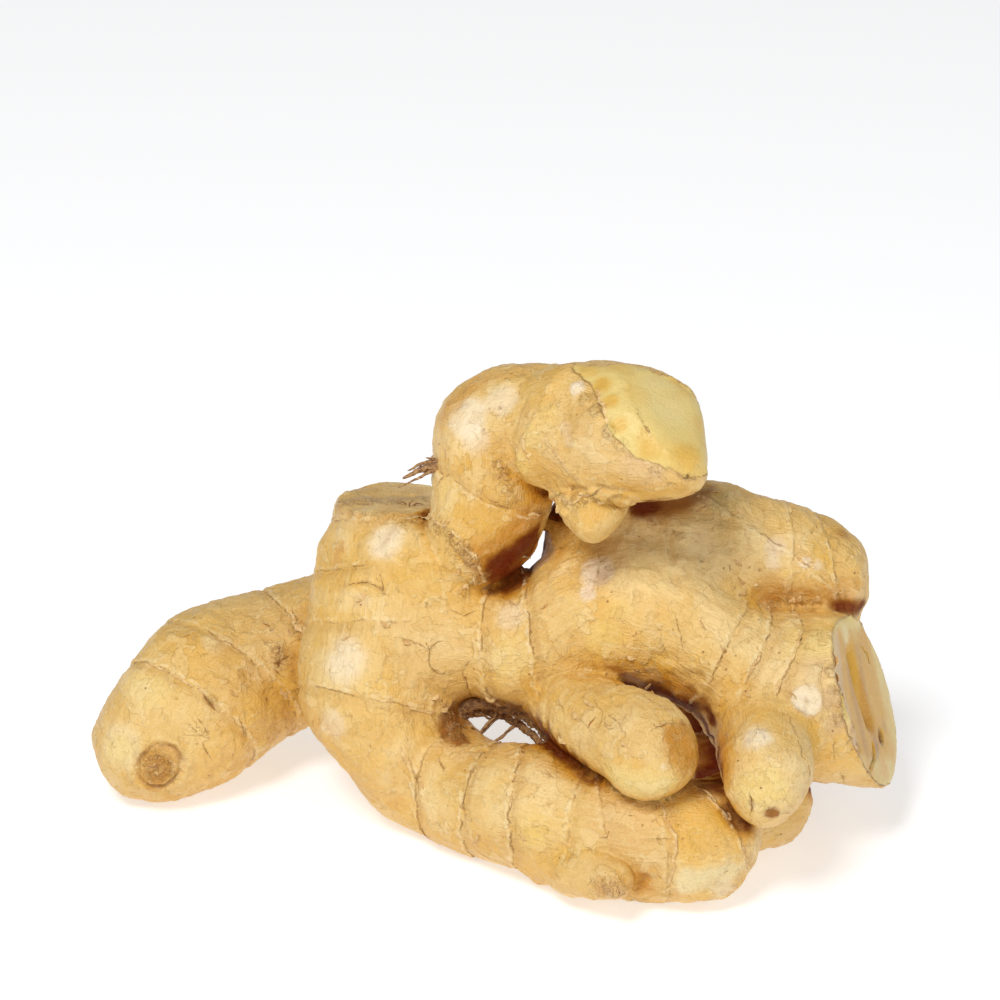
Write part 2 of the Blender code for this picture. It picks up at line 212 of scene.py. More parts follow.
# Cracks in the skin: points along it, width, depth.
CRACKS = [
    ([(31.4, -38.4, 42.2), (34.6, -36.6, 42.4), (38.0, -33.9, 40.6), (42.2, 4.9, 17.3), (42.9, 5.6, 13.4)], 0.3, 0.2),
    ([(20.2, -26.0, 41.6), (21.3, -29.7, 41.5), (20.8, -31.6, 40.2)], 0.3, 0.2),
    ([(16.1, -24.5, 37.9), (17.6, -27.6, 38.2), (18.9, -30.8, 37.8)], 0.3, 0.2),
    ([(22.8, -32.2, 41.8), (24.3, -34.8, 41.9), (25.0, -37.1, 41.1)], 0.3, 0.2),
    ([(28.8, -27.2, 43.9), (30.6, -31.2, 44.2), (32.5, -33.0, 44.0)], 0.3, 0.2),
    ([(13.2, -17.6, 37.6), (14.1, -21.1, 37.1)], 0.3, 0.2),
    ([(-60.5, 2.4, 23.0), (-59.8, 2.2, 21.7), (-58.9, 2.2, 20.1)], 0.3, 0.35),
    ([(-62.4, 1.1, 20.3), (-61.0, 1.4, 20.0), (-59.6, 1.8, 19.6)], 0.3, 0.3),
    ([(-59.9, 1.5, 17.4), (-59.5, 1.7, 16.2), (-58.9, 2.0, 15.3)], 0.3, 0.35),
    ([(-62.4, 1.6, 22.3), (-61.2, 1.6, 21.1)], 0.3, 0.3),
    ([(-44.8, 17.2, 32.5), (-44.6, 16.4, 31.0), (-44.8, 15.4, 29.2)], 0.5, 0.6),
    ([(-45.6, 15.5, 29.8), (-44.6, 15.7, 29.8), (-43.6, 16.1, 30.5)], 0.4, 0.5),
    ([(-45.4, 14.7, 28.4), (-44.6, 14.8, 27.6)], 0.35, 0.4),
    ([(-51.2, 6.9, 16.2), (-51.5, 6.6, 18.8), (-52.4, 6.0, 20.9)], 0.3, 0.3),
    ([(-42.0, 22.4, 38.3), (-41.4, 20.9, 37.4)], 0.4, 0.4),
    ([(-59.2, 4.5, 27.0), (-58.3, 4.4, 26.2), (-57.7, 4.2, 25.3)], 0.8, 0.6),
    ([(-59.6, 4.8, 27.6), (-58.8, 4.7, 26.9)], 0.5, 0.5),
    ([(75.3, 4.1, 38.9), (76.8, 6.2, 36.3), (77.0, 5.3, 35.1)], 0.35, 0.4),
    ([(76.9, -10.7, 23.8), (77.0, -12.4, 22.2), (75.8, -17.3, 22.0)], 0.6, 0.6),
    ([(58.5, -26.7, 38.6), (59.2, -31.6, 37.4), (60.2, -35.8, 35.1), (62.0, -36.4, 31.0)], 0.3, 0.35),
    ([(67.8, -22.4, 30.4), (67.8, -21.8, 27.8)], 0.3, 0.3),
    ([(69.8, -19.1, 22.5), (70.9, -16.2, 19.2)], 0.35, 0.35),
    ([(50.0, -42.5, 29.4), (50.2, -42.7, 27.5), (50.2, -42.5, 26.1)], 0.5, 0.6),
    ([(-17.3, -10.5, 20.5), (-15.9, -11.7, 17.9), (-15.0, -13.5, 15.4)], 0.4, 0.5),
    ([(-10.3, -13.4, 20.4), (-10.8, -12.0, 21.0)], 0.5, 0.4),
    ([(-6.4, -21.8, 18.0), (-7.0, -22.0, 16.3), (-6.2, -23.2, 15.6)], 0.4, 0.4),
    ([(-28.7, 4.5, 53.4), (-26.0, 3.6, 54.1), (-24.0, 2.5, 53.3), (-22.5, 1.7, 52.5)], 0.5, 0.5),
    ([(-23.1, 2.8, 54.9), (-22.5, 1.9, 53.0)], 0.4, 0.4),
    ([(-19.3, -2.1, 44.4), (-17.0, -2.3, 43.6), (-14.6, -2.7, 42.7)], 0.35, 0.35),
    ([(-11.4, -2.7, 43.4), (-13.2, -2.9, 41.9), (-13.2, -3.4, 38.7), (-11.6, -3.2, 36.8), (-9.8, -3.0, 36.5)], 0.32, 0.4),
    ([(-6.3, -3.0, 36.5), (-5.5, -2.0, 33.7), (-4.7, 1.1, 29.9)], 0.4, 0.4),
    ([(-5.3, -3.7, 39.1), (-6.3, -3.2, 37.3)], 0.35, 0.35),
    ([(-11.0, 2.9, 76.1), (-10.4, 2.1, 77.8), (-9.6, 1.3, 78.6)], 0.35, 0.3),
    ([(-0.6, -3.4, 75.2), (1.2, -3.4, 74.3), (2.2, -3.3, 73.6)], 0.35, 0.3),
    ([(-7.7, -0.8, 49.4), (-6.1, -1.1, 48.7), (-4.5, -0.7, 49.2)], 0.3, 0.3),
    ([(46.8, -14.9, 48.9), (45.4, -16.2, 47.1), (44.0, -17.2, 44.2)], 0.35, 0.35),
    ([(36.3, -11.5, 53.4), (37.1, -13.3, 51.0), (37.5, -14.5, 48.7)], 0.3, 0.3),
    ([(-18.7, 10.3, 65.5), (-18.8, 9.5, 65.0), (-18.5, 8.6, 64.6)], 0.22, 0.19),
    ([(-17.2, 10.4, 65.6), (-17.2, 9.5, 65.2), (-16.9, 8.4, 64.8)], 0.31, 0.16),
    ([(-15.8, 10.5, 65.5), (-15.6, 9.4, 65.2), (-15.7, 8.3, 64.9)], 0.32, 0.21),
    ([(-14.3, 10.9, 65.4), (-14.4, 9.1, 65.0), (-14.2, 7.3, 64.6)], 0.31, 0.17),
    ([(-12.4, 5.4, 68.3), (-12.4, 5.4, 67.0), (-12.7, 5.8, 65.6)], 0.31, 0.16),
    ([(-10.6, 1.9, 69.2), (-11.2, 2.8, 67.7), (-11.4, 3.1, 66.2)], 0.26, 0.32),
    ([(-9.8, 0.9, 69.1), (-10.0, 1.1, 68.3), (-10.0, 1.1, 67.5)], 0.24, 0.25),
    ([(-8.5, -0.4, 69.2), (-9.1, 0.2, 68.2), (-9.3, 0.5, 67.1)], 0.26, 0.28),
    ([(-7.8, -0.9, 67.7), (-8.0, -0.7, 67.1), (-8.6, -0.2, 66.7)], 0.28, 0.32),
    ([(-7.4, -1.1, 67.1), (-7.7, -0.8, 66.5), (-8.3, -0.4, 66.1)], 0.25, 0.29),
    ([(-5.5, -2.0, 66.4), (-6.5, -1.5, 65.7), (-7.5, -0.9, 64.8)], 0.31, 0.23),
    ([(-4.8, -2.1, 65.0), (-5.4, -1.7, 64.0), (-6.0, -1.4, 62.9)], 0.28, 0.23),
    ([(-4.1, -2.2, 64.3), (-4.9, -1.7, 63.3), (-5.7, -1.3, 62.1)], 0.27, 0.32),
    ([(-3.4, -2.0, 62.9), (-4.2, -1.6, 61.8), (-5.1, -1.1, 60.8)], 0.32, 0.19),
    ([(-3.0, -1.8, 61.9), (-3.9, -1.4, 60.7), (-4.9, -1.0, 59.9)], 0.32, 0.29),
    ([(-2.8, -1.5, 60.8), (-3.1, -1.3, 60.2), (-3.5, -1.2, 60.0)], 0.27, 0.26),
    ([(-1.9, -0.4, 57.9), (-2.4, -0.2, 57.4), (-2.8, 0.1, 56.9)], 0.21, 0.3),
    ([(-1.1, 0.8, 56.2), (-2.0, 0.9, 55.7), (-3.0, 1.0, 55.3)], 0.22, 0.17),
    ([(-1.2, 1.4, 55.4), (-1.6, 1.7, 54.8), (-2.0, 2.0, 54.3)], 0.21, 0.17),
    ([(-10.3, 1.5, 66.3), (-10.7, 2.0, 65.7), (-11.1, 2.5, 65.1)], 0.23, 0.13),
    ([(-8.9, 0.1, 65.1), (-9.4, 0.6, 64.7), (-9.6, 0.8, 64.2)], 0.25, 0.13),
    ([(-7.1, -0.9, 63.4), (-7.9, -0.4, 63.0), (-8.7, 0.2, 62.6)], 0.2, 0.16),
    ([(-7.1, -0.8, 62.4), (-7.5, -0.5, 62.2), (-7.7, -0.3, 61.8)], 0.23, 0.17),
    ([(-5.9, -1.0, 61.0), (-6.5, -0.7, 60.5), (-7.1, -0.4, 60.3)], 0.25, 0.13),
    ([(-4.8, -0.4, 58.3), (-5.6, -0.2, 58.0), (-6.4, 0.0, 57.8)], 0.24, 0.16),
    ([(-4.4, 1.0, 55.3), (-5.0, 1.0, 55.3), (-5.6, 1.0, 55.2)], 0.28, 0.16),
    ([(-3.5, 1.9, 53.5), (-3.8, 1.8, 53.2), (-4.3, 1.6, 53.3)], 0.26, 0.2),
    ([(1.2, -1.9, 83.7), (0.7, -1.8, 83.2), (0.2, -1.8, 83.2)], 0.29, 0.12),
    ([(1.4, -1.8, 82.8), (1.1, -1.9, 82.5), (0.9, -2.0, 82.3)], 0.22, 0.19),
    ([(1.8, -2.1, 81.1), (1.5, -2.2, 81.0), (1.3, -2.3, 80.8)], 0.27, 0.16),
    ([(2.3, -2.2, 80.1), (1.8, -2.4, 80.0), (1.3, -2.5, 79.8)], 0.29, 0.23),
    ([(3.0, -2.4, 78.4), (2.3, -2.6, 78.3), (1.6, -2.8, 78.3)], 0.25, 0.15),
    ([(3.4, -2.5, 77.5), (3.0, -2.7, 77.3), (2.6, -2.8, 77.1)], 0.28, 0.18),
    ([(3.9, -2.5, 76.4), (3.5, -2.7, 76.2), (3.1, -2.8, 76.1)], 0.2, 0.17),
    ([(-31.6, 18.3, 63.7), (-31.7, 17.9, 63.1), (-32.0, 18.0, 62.4)], 0.22, 0.19),
    ([(-30.6, 16.7, 63.9), (-30.7, 16.6, 63.6), (-31.2, 17.0, 63.1)], 0.3, 0.11),
    ([(-29.1, 15.1, 64.2), (-28.8, 14.6, 64.1), (-28.4, 14.1, 64.0)], 0.29, 0.17),
    ([(-26.1, 13.3, 64.9), (-26.2, 12.9, 64.7), (-26.5, 12.8, 64.4)], 0.24, 0.15),
    ([(-23.8, 12.5, 65.3), (-23.6, 11.7, 65.1), (-23.5, 11.3, 64.8)], 0.26, 0.13),
    ([(-21.1, 11.2, 65.6), (-21.4, 10.8, 65.3), (-21.5, 10.5, 64.9)], 0.25, 0.16),
    ([(-19.5, 11.0, 65.8), (-19.6, 10.5, 65.5), (-19.9, 10.1, 65.1)], 0.21, 0.14),
    ([(-18.2, 11.3, 66.0), (-18.1, 10.5, 65.7), (-18.4, 9.9, 65.3)], 0.24, 0.12),
    ([(53.6, -0.3, 50.8), (53.8, -1.1, 50.6), (54.0, -2.6, 50.7)], 0.28, 0.23),
    ([(55.6, 1.7, 50.5), (55.8, 1.5, 49.9), (56.1, 0.8, 49.6)], 0.23, 0.24),
    ([(57.6, 2.0, 50.3), (57.6, 1.9, 49.7), (57.5, 1.0, 49.3)], 0.24, 0.16),
    ([(58.7, 2.1, 50.3), (59.3, 2.1, 49.7), (59.4, 1.7, 49.2)], 0.23, 0.12),
    ([(60.0, 2.3, 50.0), (60.0, 1.9, 49.2), (60.5, 0.2, 49.1)], 0.27, 0.21),
    ([(63.5, 2.7, 49.7), (63.3, 2.5, 49.2), (63.6, 2.1, 48.8)], 0.26, 0.26),
    ([(65.1, 2.9, 50.4), (64.8, 2.9, 49.3), (65.0, 2.4, 48.6)], 0.22, 0.14),
    ([(32.0, -35.1, 23.6), (31.2, -34.9, 23.6), (30.5, -35.0, 23.4)], 0.26, 0.15),
    ([(32.7, -37.4, 22.2), (32.3, -37.6, 21.9), (31.9, -37.8, 21.7)], 0.25, 0.16),
    ([(34.4, -40.5, 19.1), (33.7, -40.3, 19.1), (33.0, -40.3, 18.8)], 0.27, 0.17),
    ([(34.7, -41.7, 16.4), (34.1, -41.7, 16.0), (33.5, -41.7, 15.5)], 0.22, 0.17),
    ([(33.9, -42.0, 11.5), (33.4, -41.9, 11.2), (33.0, -41.9, 11.5)], 0.23, 0.12),
    ([(19.3, -43.3, 11.6), (19.5, -43.6, 11.2), (19.2, -43.5, 10.9)], 0.27, 0.19),
    ([(20.3, -43.9, 11.7), (20.1, -43.9, 11.3), (20.0, -43.9, 10.8)], 0.22, 0.16),
    ([(21.9, -44.8, 11.2), (21.5, -44.6, 10.9), (21.0, -44.5, 10.6)], 0.32, 0.15),
    ([(22.9, -44.9, 11.7), (22.9, -45.1, 11.0), (22.8, -45.1, 10.2)], 0.26, 0.15),
    ([(23.9, -45.1, 11.1), (24.1, -45.1, 10.6), (24.1, -45.1, 10.0)], 0.24, 0.2),
    ([(-46.2, 18.4, 33.8), (-46.9, 18.2, 33.6), (-47.6, 17.8, 33.4)], 0.21, 0.18),
    ([(-45.2, 17.5, 32.8), (-45.6, 17.3, 32.5), (-46.2, 17.1, 32.3)], 0.29, 0.21),
    ([(-44.6, 16.6, 31.5), (-45.1, 16.6, 31.5), (-45.4, 16.4, 31.1)], 0.32, 0.14),
    ([(-44.6, 15.7, 29.9), (-44.9, 15.7, 29.9), (-45.4, 15.5, 29.7)], 0.32, 0.12),
]

# Raised torn edges: points along it (free side to the right of the run, seen from outside), width behind it, height.
EDGES = [
    ([(33.4, -40.5, 6.8), (34.8, -42.2, 13.5), (35.4, -41.3, 17.9), (34.2, -38.8, 21.2), (32.2, -35.4, 23.4)], 3.5, 0.8),
    ([(-18.3, 9.9, 65.3), (-15.1, 10.5, 65.4), (-11.7, 3.7, 68.7), (-8.8, -0.1, 68.6), (-6.4, -1.7, 66.9), (-4.2, -2.1, 63.8), (-2.6, -1.1, 59.6), (-1.4, 1.6, 55.0)], 1.2, 0.45),
    ([(11.5, 4.3, 72.2), (13.4, -11.3, 80.2), (15.5, -13.9, 79.7), (17.5, -14.1, 81.5), (19.2, -15.8, 83.3), (20.8, -14.9, 80.5), (23.1, -17.2, 82.8), (25.2, -13.6, 79.5), (27.0, -17.9, 82.3)], 2.6, 1.15),
    ([(15.2, -0.4, 102.8), (13.2, -3.8, 101.8), (10.8, -6.2, 99.4), (9.0, -7.6, 96.6), (6.9, -7.5, 92.3), (5.5, -6.3, 87.5), (6.0, -4.9, 83.4), (7.4, -2.0, 79.4)], 5.0, 1.5),
    ([(12.2, -4.9, 101.0), (10.2, -7.3, 98.2), (8.7, -8.5, 94.8), (7.3, -8.4, 90.5), (7.5, -8.3, 86.6)], 1.2, 0.45),
    ([(10.4, -11.6, 92.7), (12.1, -13.6, 90.6), (14.1, -14.8, 87.8), (16.8, -16.0, 85.9)], 1.4, 0.5),
    ([(20.1, -11.6, 102.9), (21.7, -16.4, 100.7), (23.2, -19.8, 97.5)], 1.6, 0.5),
]

# Scaly, fibrous places: centre, radius, amount.
SCALY = [
    (-44.2, 16.3, 30.9, 2.9, 0.6),
    (-41.1, 19.4, 36.0, 2.1, 0.7),
    (-58.6, 4.5, 26.5, 1.4, 0.6),
    (66.7, -18.0, 44.4, 1.2, 0.8),
    (67.4, -20.0, 41.4, 1.4, 0.9),
    (68.9, -20.6, 38.4, 1.6, 0.9),
    (68.1, -22.1, 36.2, 1.6, 0.8),
    (71.1, -21.2, 32.0, 1.4, 0.8),
    (72.9, -19.9, 27.9, 1.2, 0.8),
    (-69.3, -0.2, 13.5, 4.1, 0.9),
    (-16.7, 8.9, 65.0, 1.6, 0.7),
    (-13.8, 8.7, 65.1, 1.6, 0.8),
    (-10.9, 2.3, 67.1, 1.8, 0.9),
    (-8.4, -0.3, 66.3, 1.8, 1.0),
    (-6.2, -1.5, 64.4, 2.0, 1.0),
    (-4.2, -1.5, 61.4, 2.0, 1.0),
    (-2.6, -0.3, 57.7, 1.8, 1.0),
    (-1.2, 3.0, 53.0, 1.6, 0.9),
    (-4.1, 1.0, 55.3, 1.8, 0.8),
    (-6.3, 1.0, 53.1, 1.6, 0.6),
    (-30.7, 20.8, 64.0, 2.5, 0.6),
    (-26.6, 20.8, 64.0, 2.5, 0.6),
    (-22.5, 20.7, 64.0, 2.5, 0.6),
    (-18.4, 22.9, 63.7, 2.5, 0.6),
    (-14.9, 24.3, 63.5, 2.1, 0.6),
    (1.2, -2.2, 81.4, 2.2, 0.7),
    (2.6, -2.6, 78.1, 1.8, 0.6),
    (3.6, -2.8, 75.1, 1.6, 0.5),
    (17.9, -12.9, 100.9, 1.4, 0.8),
    (20.4, -16.3, 99.8, 1.6, 1.0),
    (22.5, -19.7, 97.0, 1.5, 0.9),
    (24.6, -21.4, 95.3, 1.4, 0.7),
    (14.0, -12.4, 79.4, 1.6, 0.9),
    (16.9, -14.3, 80.5, 1.8, 0.9),
    (20.2, -14.9, 81.2, 1.8, 0.9),
    (23.5, -15.2, 80.9, 1.6, 0.8),
    (15.9, -14.9, 77.9, 1.4, 0.5),
    (25.2, -12.7, 77.8, 1.2, 0.6),
    (44.8, 10.2, 69.3, 3.7, 0.4),
    (41.9, 13.1, 70.3, 2.4, 0.5),
    (31.9, 5.6, 65.9, 1.2, 0.5),
    (35.2, 4.4, 64.9, 1.2, 0.5),
    (38.0, 3.5, 63.9, 1.2, 0.5),
    (-9.0, -1.1, 28.2, 1.4, 0.8),
    (-1.9, -1.6, 30.6, 1.4, 0.8),
    (2.0, -3.2, 30.2, 1.4, 0.7),
    (5.7, -3.7, 29.1, 1.4, 0.7),
    (-8.0, -2.7, 24.3, 1.6, 1.0),
    (-7.4, -6.1, 23.5, 1.4, 1.0),
    (-9.6, -2.5, 26.9, 2.9, 1.0),
    (-8.0, -5.2, 23.7, 2.0, 1.0),
    (20.9, -44.1, 8.9, 2.4, 0.5),
    (23.2, -45.1, 10.4, 2.0, 0.8),
]

# Patches of another tone: centre, radius, tone, amount, softness. Many are the skin's own colour; the dark washes in
# folds, under the end joint and on undersides are painted shade, the faint cream wash on the middle joint is painted
# light, and white on lit tops is partly a painted highlight.
PATCHES = [
    (-60.9, 12.0, 34.6, 8.3, "gold", 0.35, 0.9),
    (-70.9, 5.6, 28.5, 4.1, "yellowgold", 0.5, 0.9),
    (-58.3, 13.9, 35.0, 2.3, "cream", 0.8, 0.6),
    (-55.9, 15.6, 35.1, 1.7, "cream", 0.5, 0.8),
    (-50.2, 11.6, 28.7, 3.1, "tan", 0.6, 0.5),
    (-50.2, 11.6, 28.7, 1.2, "gold", 0.4, 0.6),
    (-48.5, 11.1, 12.9, 1.9, "yellow", 0.8, 0.6),
    (-48.3, 9.7, 19.5, 2.9, "yellowgold", 0.6, 0.8),
    (-42.6, 14.5, 24.0, 3.8, "gold", 0.7, 0.9),
    (-41.8, 16.3, 16.1, 3.4, "gold", 0.6, 0.9),
    (-53.6, 30.1, 37.4, 4.2, "tan", 0.4, 0.9),
    (-46.2, 30.1, 39.3, 3.4, "gold", 0.4, 0.9),
    (-40.5, 20.4, 37.4, 2.5, "ochre", 0.4, 0.8),
    (-44.4, 16.5, 31.2, 2.1, "ochre", 0.5, 0.7),
    (-77.3, 2.9, 18.4, 4.1, "pulp_pale", 0.9, 0.5),
    (-76.8, 2.3, 17.5, 5.0, "cream", 0.85, 0.6),
    (-77.7, 2.5, 16.3, 3.3, "yellow", 0.5, 0.8),
    (-69.3, -0.2, 13.5, 4.1, "gold", 0.8, 0.3),
    (-69.3, -0.2, 13.5, 2.9, "amber", 0.5, 0.5),
    (-70.0, 0.5, 9.1, 1.7, "amber", 0.6, 0.5),
    (-57.8, 3.2, 12.4, 3.3, "gold", 0.4, 0.8),
    (71.3, -2.3, 45.2, 2.0, "pulp_pale", 0.9, 0.6),
    (72.1, -3.8, 41.9, 2.6, "pulp_gold", 0.95, 0.7),
    (73.4, -4.6, 37.8, 3.0, "pulp_gold", 0.95, 0.7),
    (74.7, -5.8, 33.4, 3.5, "pulp_gold", 0.95, 0.7),
    (76.0, -6.8, 29.1, 3.5, "pulp_gold", 0.95, 0.7),
    (77.0, -8.1, 25.2, 2.8, "pulp_gold", 0.95, 0.7),
    (72.6, -3.3, 41.0, 1.6, "pulp_amber", 0.7, 0.8),
    (73.6, -5.3, 36.7, 1.8, "pulp_amber", 0.8, 0.8),
    (74.6, -7.5, 32.4, 2.2, "pulp_amber", 0.85, 0.8),
    (76.1, -7.7, 27.9, 2.2, "pulp_amber", 0.8, 0.8),
    (76.3, 5.0, 36.9, 1.6, "pulp_gold", 0.6, 0.8),
    (82.4, 9.9, 23.6, 1.0, "pulp_white", 0.9, 0.5),
    (79.1, -3.8, 22.5, 2.0, "pulp_brown", 0.9, 0.5),
    (77.6, -10.0, 22.3, 1.6, "pulp_brown", 0.5, 0.8),
    (75.8, -16.9, 22.3, 2.6, "pulp_skin", 0.9, 0.7),
    (79.5, -8.7, 18.0, 2.4, "pulp_skin", 0.9, 0.7),
    (82.1, -0.6, 16.7, 1.9, "pulp_skin", 0.9, 0.7),
    (67.4, -15.5, 45.9, 1.4, "pulp_pink", 0.9, 0.5),
    (68.1, -18.8, 41.9, 1.6, "pulp_pink", 0.9, 0.5),
    (69.6, -19.1, 37.6, 1.6, "pulp_pink", 0.9, 0.5),
    (71.2, -19.3, 33.2, 1.8, "pulp_pink", 0.8, 0.5),
    (71.2, -21.4, 28.7, 2.8, "pulp_pink", 0.8, 0.7),
    (70.4, -20.2, 24.7, 2.8, "pulp_pink", 0.7, 0.7),
    (66.8, -21.1, 39.8, 2.4, "pinktan", 0.8, 0.6),
    (67.3, -22.5, 34.9, 2.6, "pinktan", 0.7, 0.6),
    (63.3, -25.5, 33.6, 2.8, "gold", 0.6, 0.8),
    (65.1, -22.5, 27.0, 2.8, "gold", 0.5, 0.8),
    (33.3, -12.1, 100.6, 5.8, "pulp_pale", 0.5, 0.8),
    (18.8, -5.8, 103.9, 2.3, "pulp_gold", 0.5, 0.8),
    (21.0, -11.3, 103.4, 2.1, "pulp_gold", 0.75, 0.8),
    (22.5, -15.8, 101.7, 1.7, "pulp_gold", 0.75, 0.8),
    (24.4, -19.8, 98.6, 1.5, "pulp_gold", 0.6, 0.8),
    (37.9, -22.4, 93.4, 2.7, "pulp_gold", 0.6, 0.8),
    (30.1, -23.5, 94.9, 1.9, "pulp_gold", 0.4, 0.8),
    (40.2, -12.6, 95.5, 2.0, "pulp_gold", 0.3, 0.8),
    (28.4, -14.2, 102.5, 2.7, "pulp_gold", 0.25, 0.9),
    (-10.2, 8.3, 89.3, 1.6, "orange", 0.8, 0.6),
    (-8.8, 8.3, 91.5, 1.6, "orange", 0.8, 0.6),
    (-6.8, 8.5, 93.5, 1.6, "orange", 0.8, 0.6),
    (-4.4, 8.9, 95.3, 1.6, "orange", 0.7, 0.7),
    (-1.2, 8.5, 96.8, 1.6, "orange", 0.5, 0.8),
    (2.8, 8.2, 98.0, 1.8, "gold", 0.5, 0.8),
    # white on the top of the upright finger: pale skin, partly a painted highlight
    (-5.2, 2.6, 90.8, 4.4, "white", 0.8, 0.5),
    (1.6, 1.9, 94.8, 3.2, "white", 0.6, 0.6),
    (-3.4, -0.2, 87.0, 3.0, "white", 0.7, 0.6),
    (-10.0, 3.9, 85.3, 1.6, "tan", 0.5, 0.8),
    (5.3, -4.5, 93.8, 2.6, "tan", 0.6, 0.6),
    (1.6, -2.1, 85.7, 2.8, "tan", 0.5, 0.5),
    (-2.4, -2.6, 79.4, 2.4, "tan", 0.35, 0.6),
    (-8.8, 0.0, 74.5, 3.6, "yellow", 0.4, 0.8),
    (1.2, -3.4, 71.0, 4.0, "gold", 0.4, 0.8),
    (8.3, -9.4, 91.8, 2.4, "yellow", 0.6, 0.8),
    (6.7, -7.2, 85.7, 2.0, "yellow", 0.5, 0.8),
    (13.9, -13.9, 95.4, 1.4, "white", 0.9, 0.6),
    (14.6, -15.3, 93.5, 1.2, "white", 0.8, 0.6),
    (28.3, -22.9, 90.0, 4.3, "pink", 0.7, 0.6),
    # painted shade: tan and deepgold darken the end joint's front and lower side
    (17.3, -17.6, 90.9, 2.9, "tan", 0.4, 0.6),
    (16.4, -15.4, 96.7, 4.7, "tan", 0.55, 0.8),
    (20.6, -19.7, 92.2, 3.9, "tan", 0.5, 0.8),
    (13.0, -13.4, 86.3, 3.5, "tan", 0.5, 0.8),
    (18.7, -17.4, 86.3, 3.5, "deepgold", 0.5, 0.8),
    (26.4, -20.9, 86.2, 3.5, "deepgold", 0.5, 0.8),
    (11.0, -10.2, 96.6, 2.3, "yellow", 0.5, 0.8),
    (8.1, -8.8, 86.4, 2.4, "deepgold", 0.4, 0.8),
    (22.1, -20.2, 95.1, 1.9, "tan", 0.4, 0.6),
    (16.6, -10.0, 101.8, 1.6, "white", 0.95, 0.4),
    (20.7, -11.1, 103.3, 1.8, "yellow", 0.8, 0.6),
    (21.8, -14.3, 102.3, 1.6, "yellow", 0.9, 0.6),
    (-10.9, 2.3, 68.0, 2.2, "gold", 0.6, 0.8),
    (-6.4, -1.5, 65.8, 2.4, "gold", 0.8, 0.8),
    (-3.2, -1.7, 61.4, 2.4, "orange", 0.75, 0.8),
    (-1.2, 0.7, 56.3, 2.2, "orange", 0.8, 0.8),
    (-4.9, 0.6, 55.9, 2.4, "gold", 0.6, 0.9),
    # painted shade on the upright finger's flank toward the gap: ochre, amber, then brown and umber
    (2.2, -3.1, 69.8, 2.8, "gold", 0.6, 0.9),
    (4.2, -1.7, 65.8, 2.4, "ochre", 0.75, 0.8),
    (1.2, -2.1, 63.8, 2.6, "ochre", 0.8, 0.8),
    (0.6, -1.2, 60.8, 1.8, "amber", 0.8, 0.7),
    (-4.8, -1.8, 63.2, 3.0, "orange", 0.8, 0.8),
    (-2.4, -2.6, 65.2, 3.0, "orange", 0.7, 0.8),
    (-0.4, -2.1, 62.7, 3.2, "amber", 0.85, 0.8),
    (1.8, -2.6, 66.3, 3.0, "amber", 0.7, 0.8),
    (4.4, -2.3, 68.8, 2.8, "amber", 0.65, 0.8),
    (6.8, -1.3, 71.4, 2.4, "amber", 0.65, 0.8),
    (-1.2, -0.4, 58.2, 2.6, "brown", 0.8, 0.8),
    (1.2, -0.5, 59.5, 2.6, "umber", 0.95, 0.8),
    (3.2, -0.6, 61.6, 2.4, "umber", 0.95, 0.8),
    (5.4, -0.3, 63.9, 2.2, "umber", 0.85, 0.8),
    (7.4, 0.0, 67.3, 1.8, "umber", 0.8, 0.8),
    (9.0, 0.7, 70.3, 1.6, "umber", 0.8, 0.8),
    (2.8, 3.0, 56.1, 2.4, "umber", 0.95, 0.6),
    (0.0, 3.4, 53.7, 1.8, "umber", 0.8, 0.7),
    (-1.6, 2.7, 52.7, 1.4, "brown", 0.7, 0.8),
    (0.4, 3.6, 53.8, 1.6, "ochre", 0.8, 0.7),
    (-30.7, 20.8, 64.0, 2.9, "dry", 0.75, 0.5),
    (-26.6, 21.5, 63.9, 2.9, "dry", 0.75, 0.5),
    (-22.5, 21.5, 63.9, 2.9, "dry", 0.75, 0.5),
    (-18.4, 22.9, 63.7, 2.9, "dry", 0.75, 0.5),
    (-14.5, 24.3, 63.5, 2.5, "dry", 0.75, 0.5),
    (-29.1, 15.4, 64.4, 1.4, "brown", 0.35, 0.9),
    (-23.3, 12.5, 65.4, 1.6, "brown", 0.3, 0.9),
    (-18.3, 18.9, 64.3, 1.4, "brown", 0.5, 0.7),
    (-14.2, 19.2, 64.2, 1.6, "brown", 0.35, 0.8),
    # white on the lit front of the stem: pale skin, partly a painted highlight
    (-22.1, 6.6, 62.0, 3.7, "white", 0.7, 0.8),
    (-32.1, 12.0, 58.0, 1.8, "orange", 0.8, 0.4),
    (-32.9, 10.5, 55.8, 1.6, "orange", 0.7, 0.4),
    (-30.3, 3.5, 50.1, 2.4, "cream", 0.5, 0.8),
    (-26.8, 2.0, 50.8, 1.6, "pink", 0.6, 0.8),
    (-30.3, -2.6, 39.5, 4.5, "white", 0.75, 0.8),
    (-22.7, -6.8, 34.3, 1.8, "gold", 0.9, 0.3),
    (-20.7, -6.6, 34.2, 1.8, "gold", 0.9, 0.3),
    (-15.0, -3.8, 37.8, 4.5, "tan", 0.5, 0.7),
    (-16.1, -5.9, 32.0, 2.8, "tan", 0.4, 0.7),
    (-33.4, -6.3, 26.6, 3.3, "white", 0.6, 0.7),
    (-38.8, 0.6, 27.6, 1.6, "orange", 0.6, 0.8),
    (-36.6, -3.2, 25.7, 1.4, "orange", 0.5, 0.8),
    (-20.4, 19.0, 64.3, 4.1, "tan", 0.5, 0.8),
    (-8.9, -2.8, 44.1, 4.1, "cream", 0.5, 0.8),
    (3.2, -7.1, 41.7, 4.4, "yellow", 0.4, 0.9),
    (3.2, -2.6, 49.6, 2.8, "white", 0.5, 0.9),
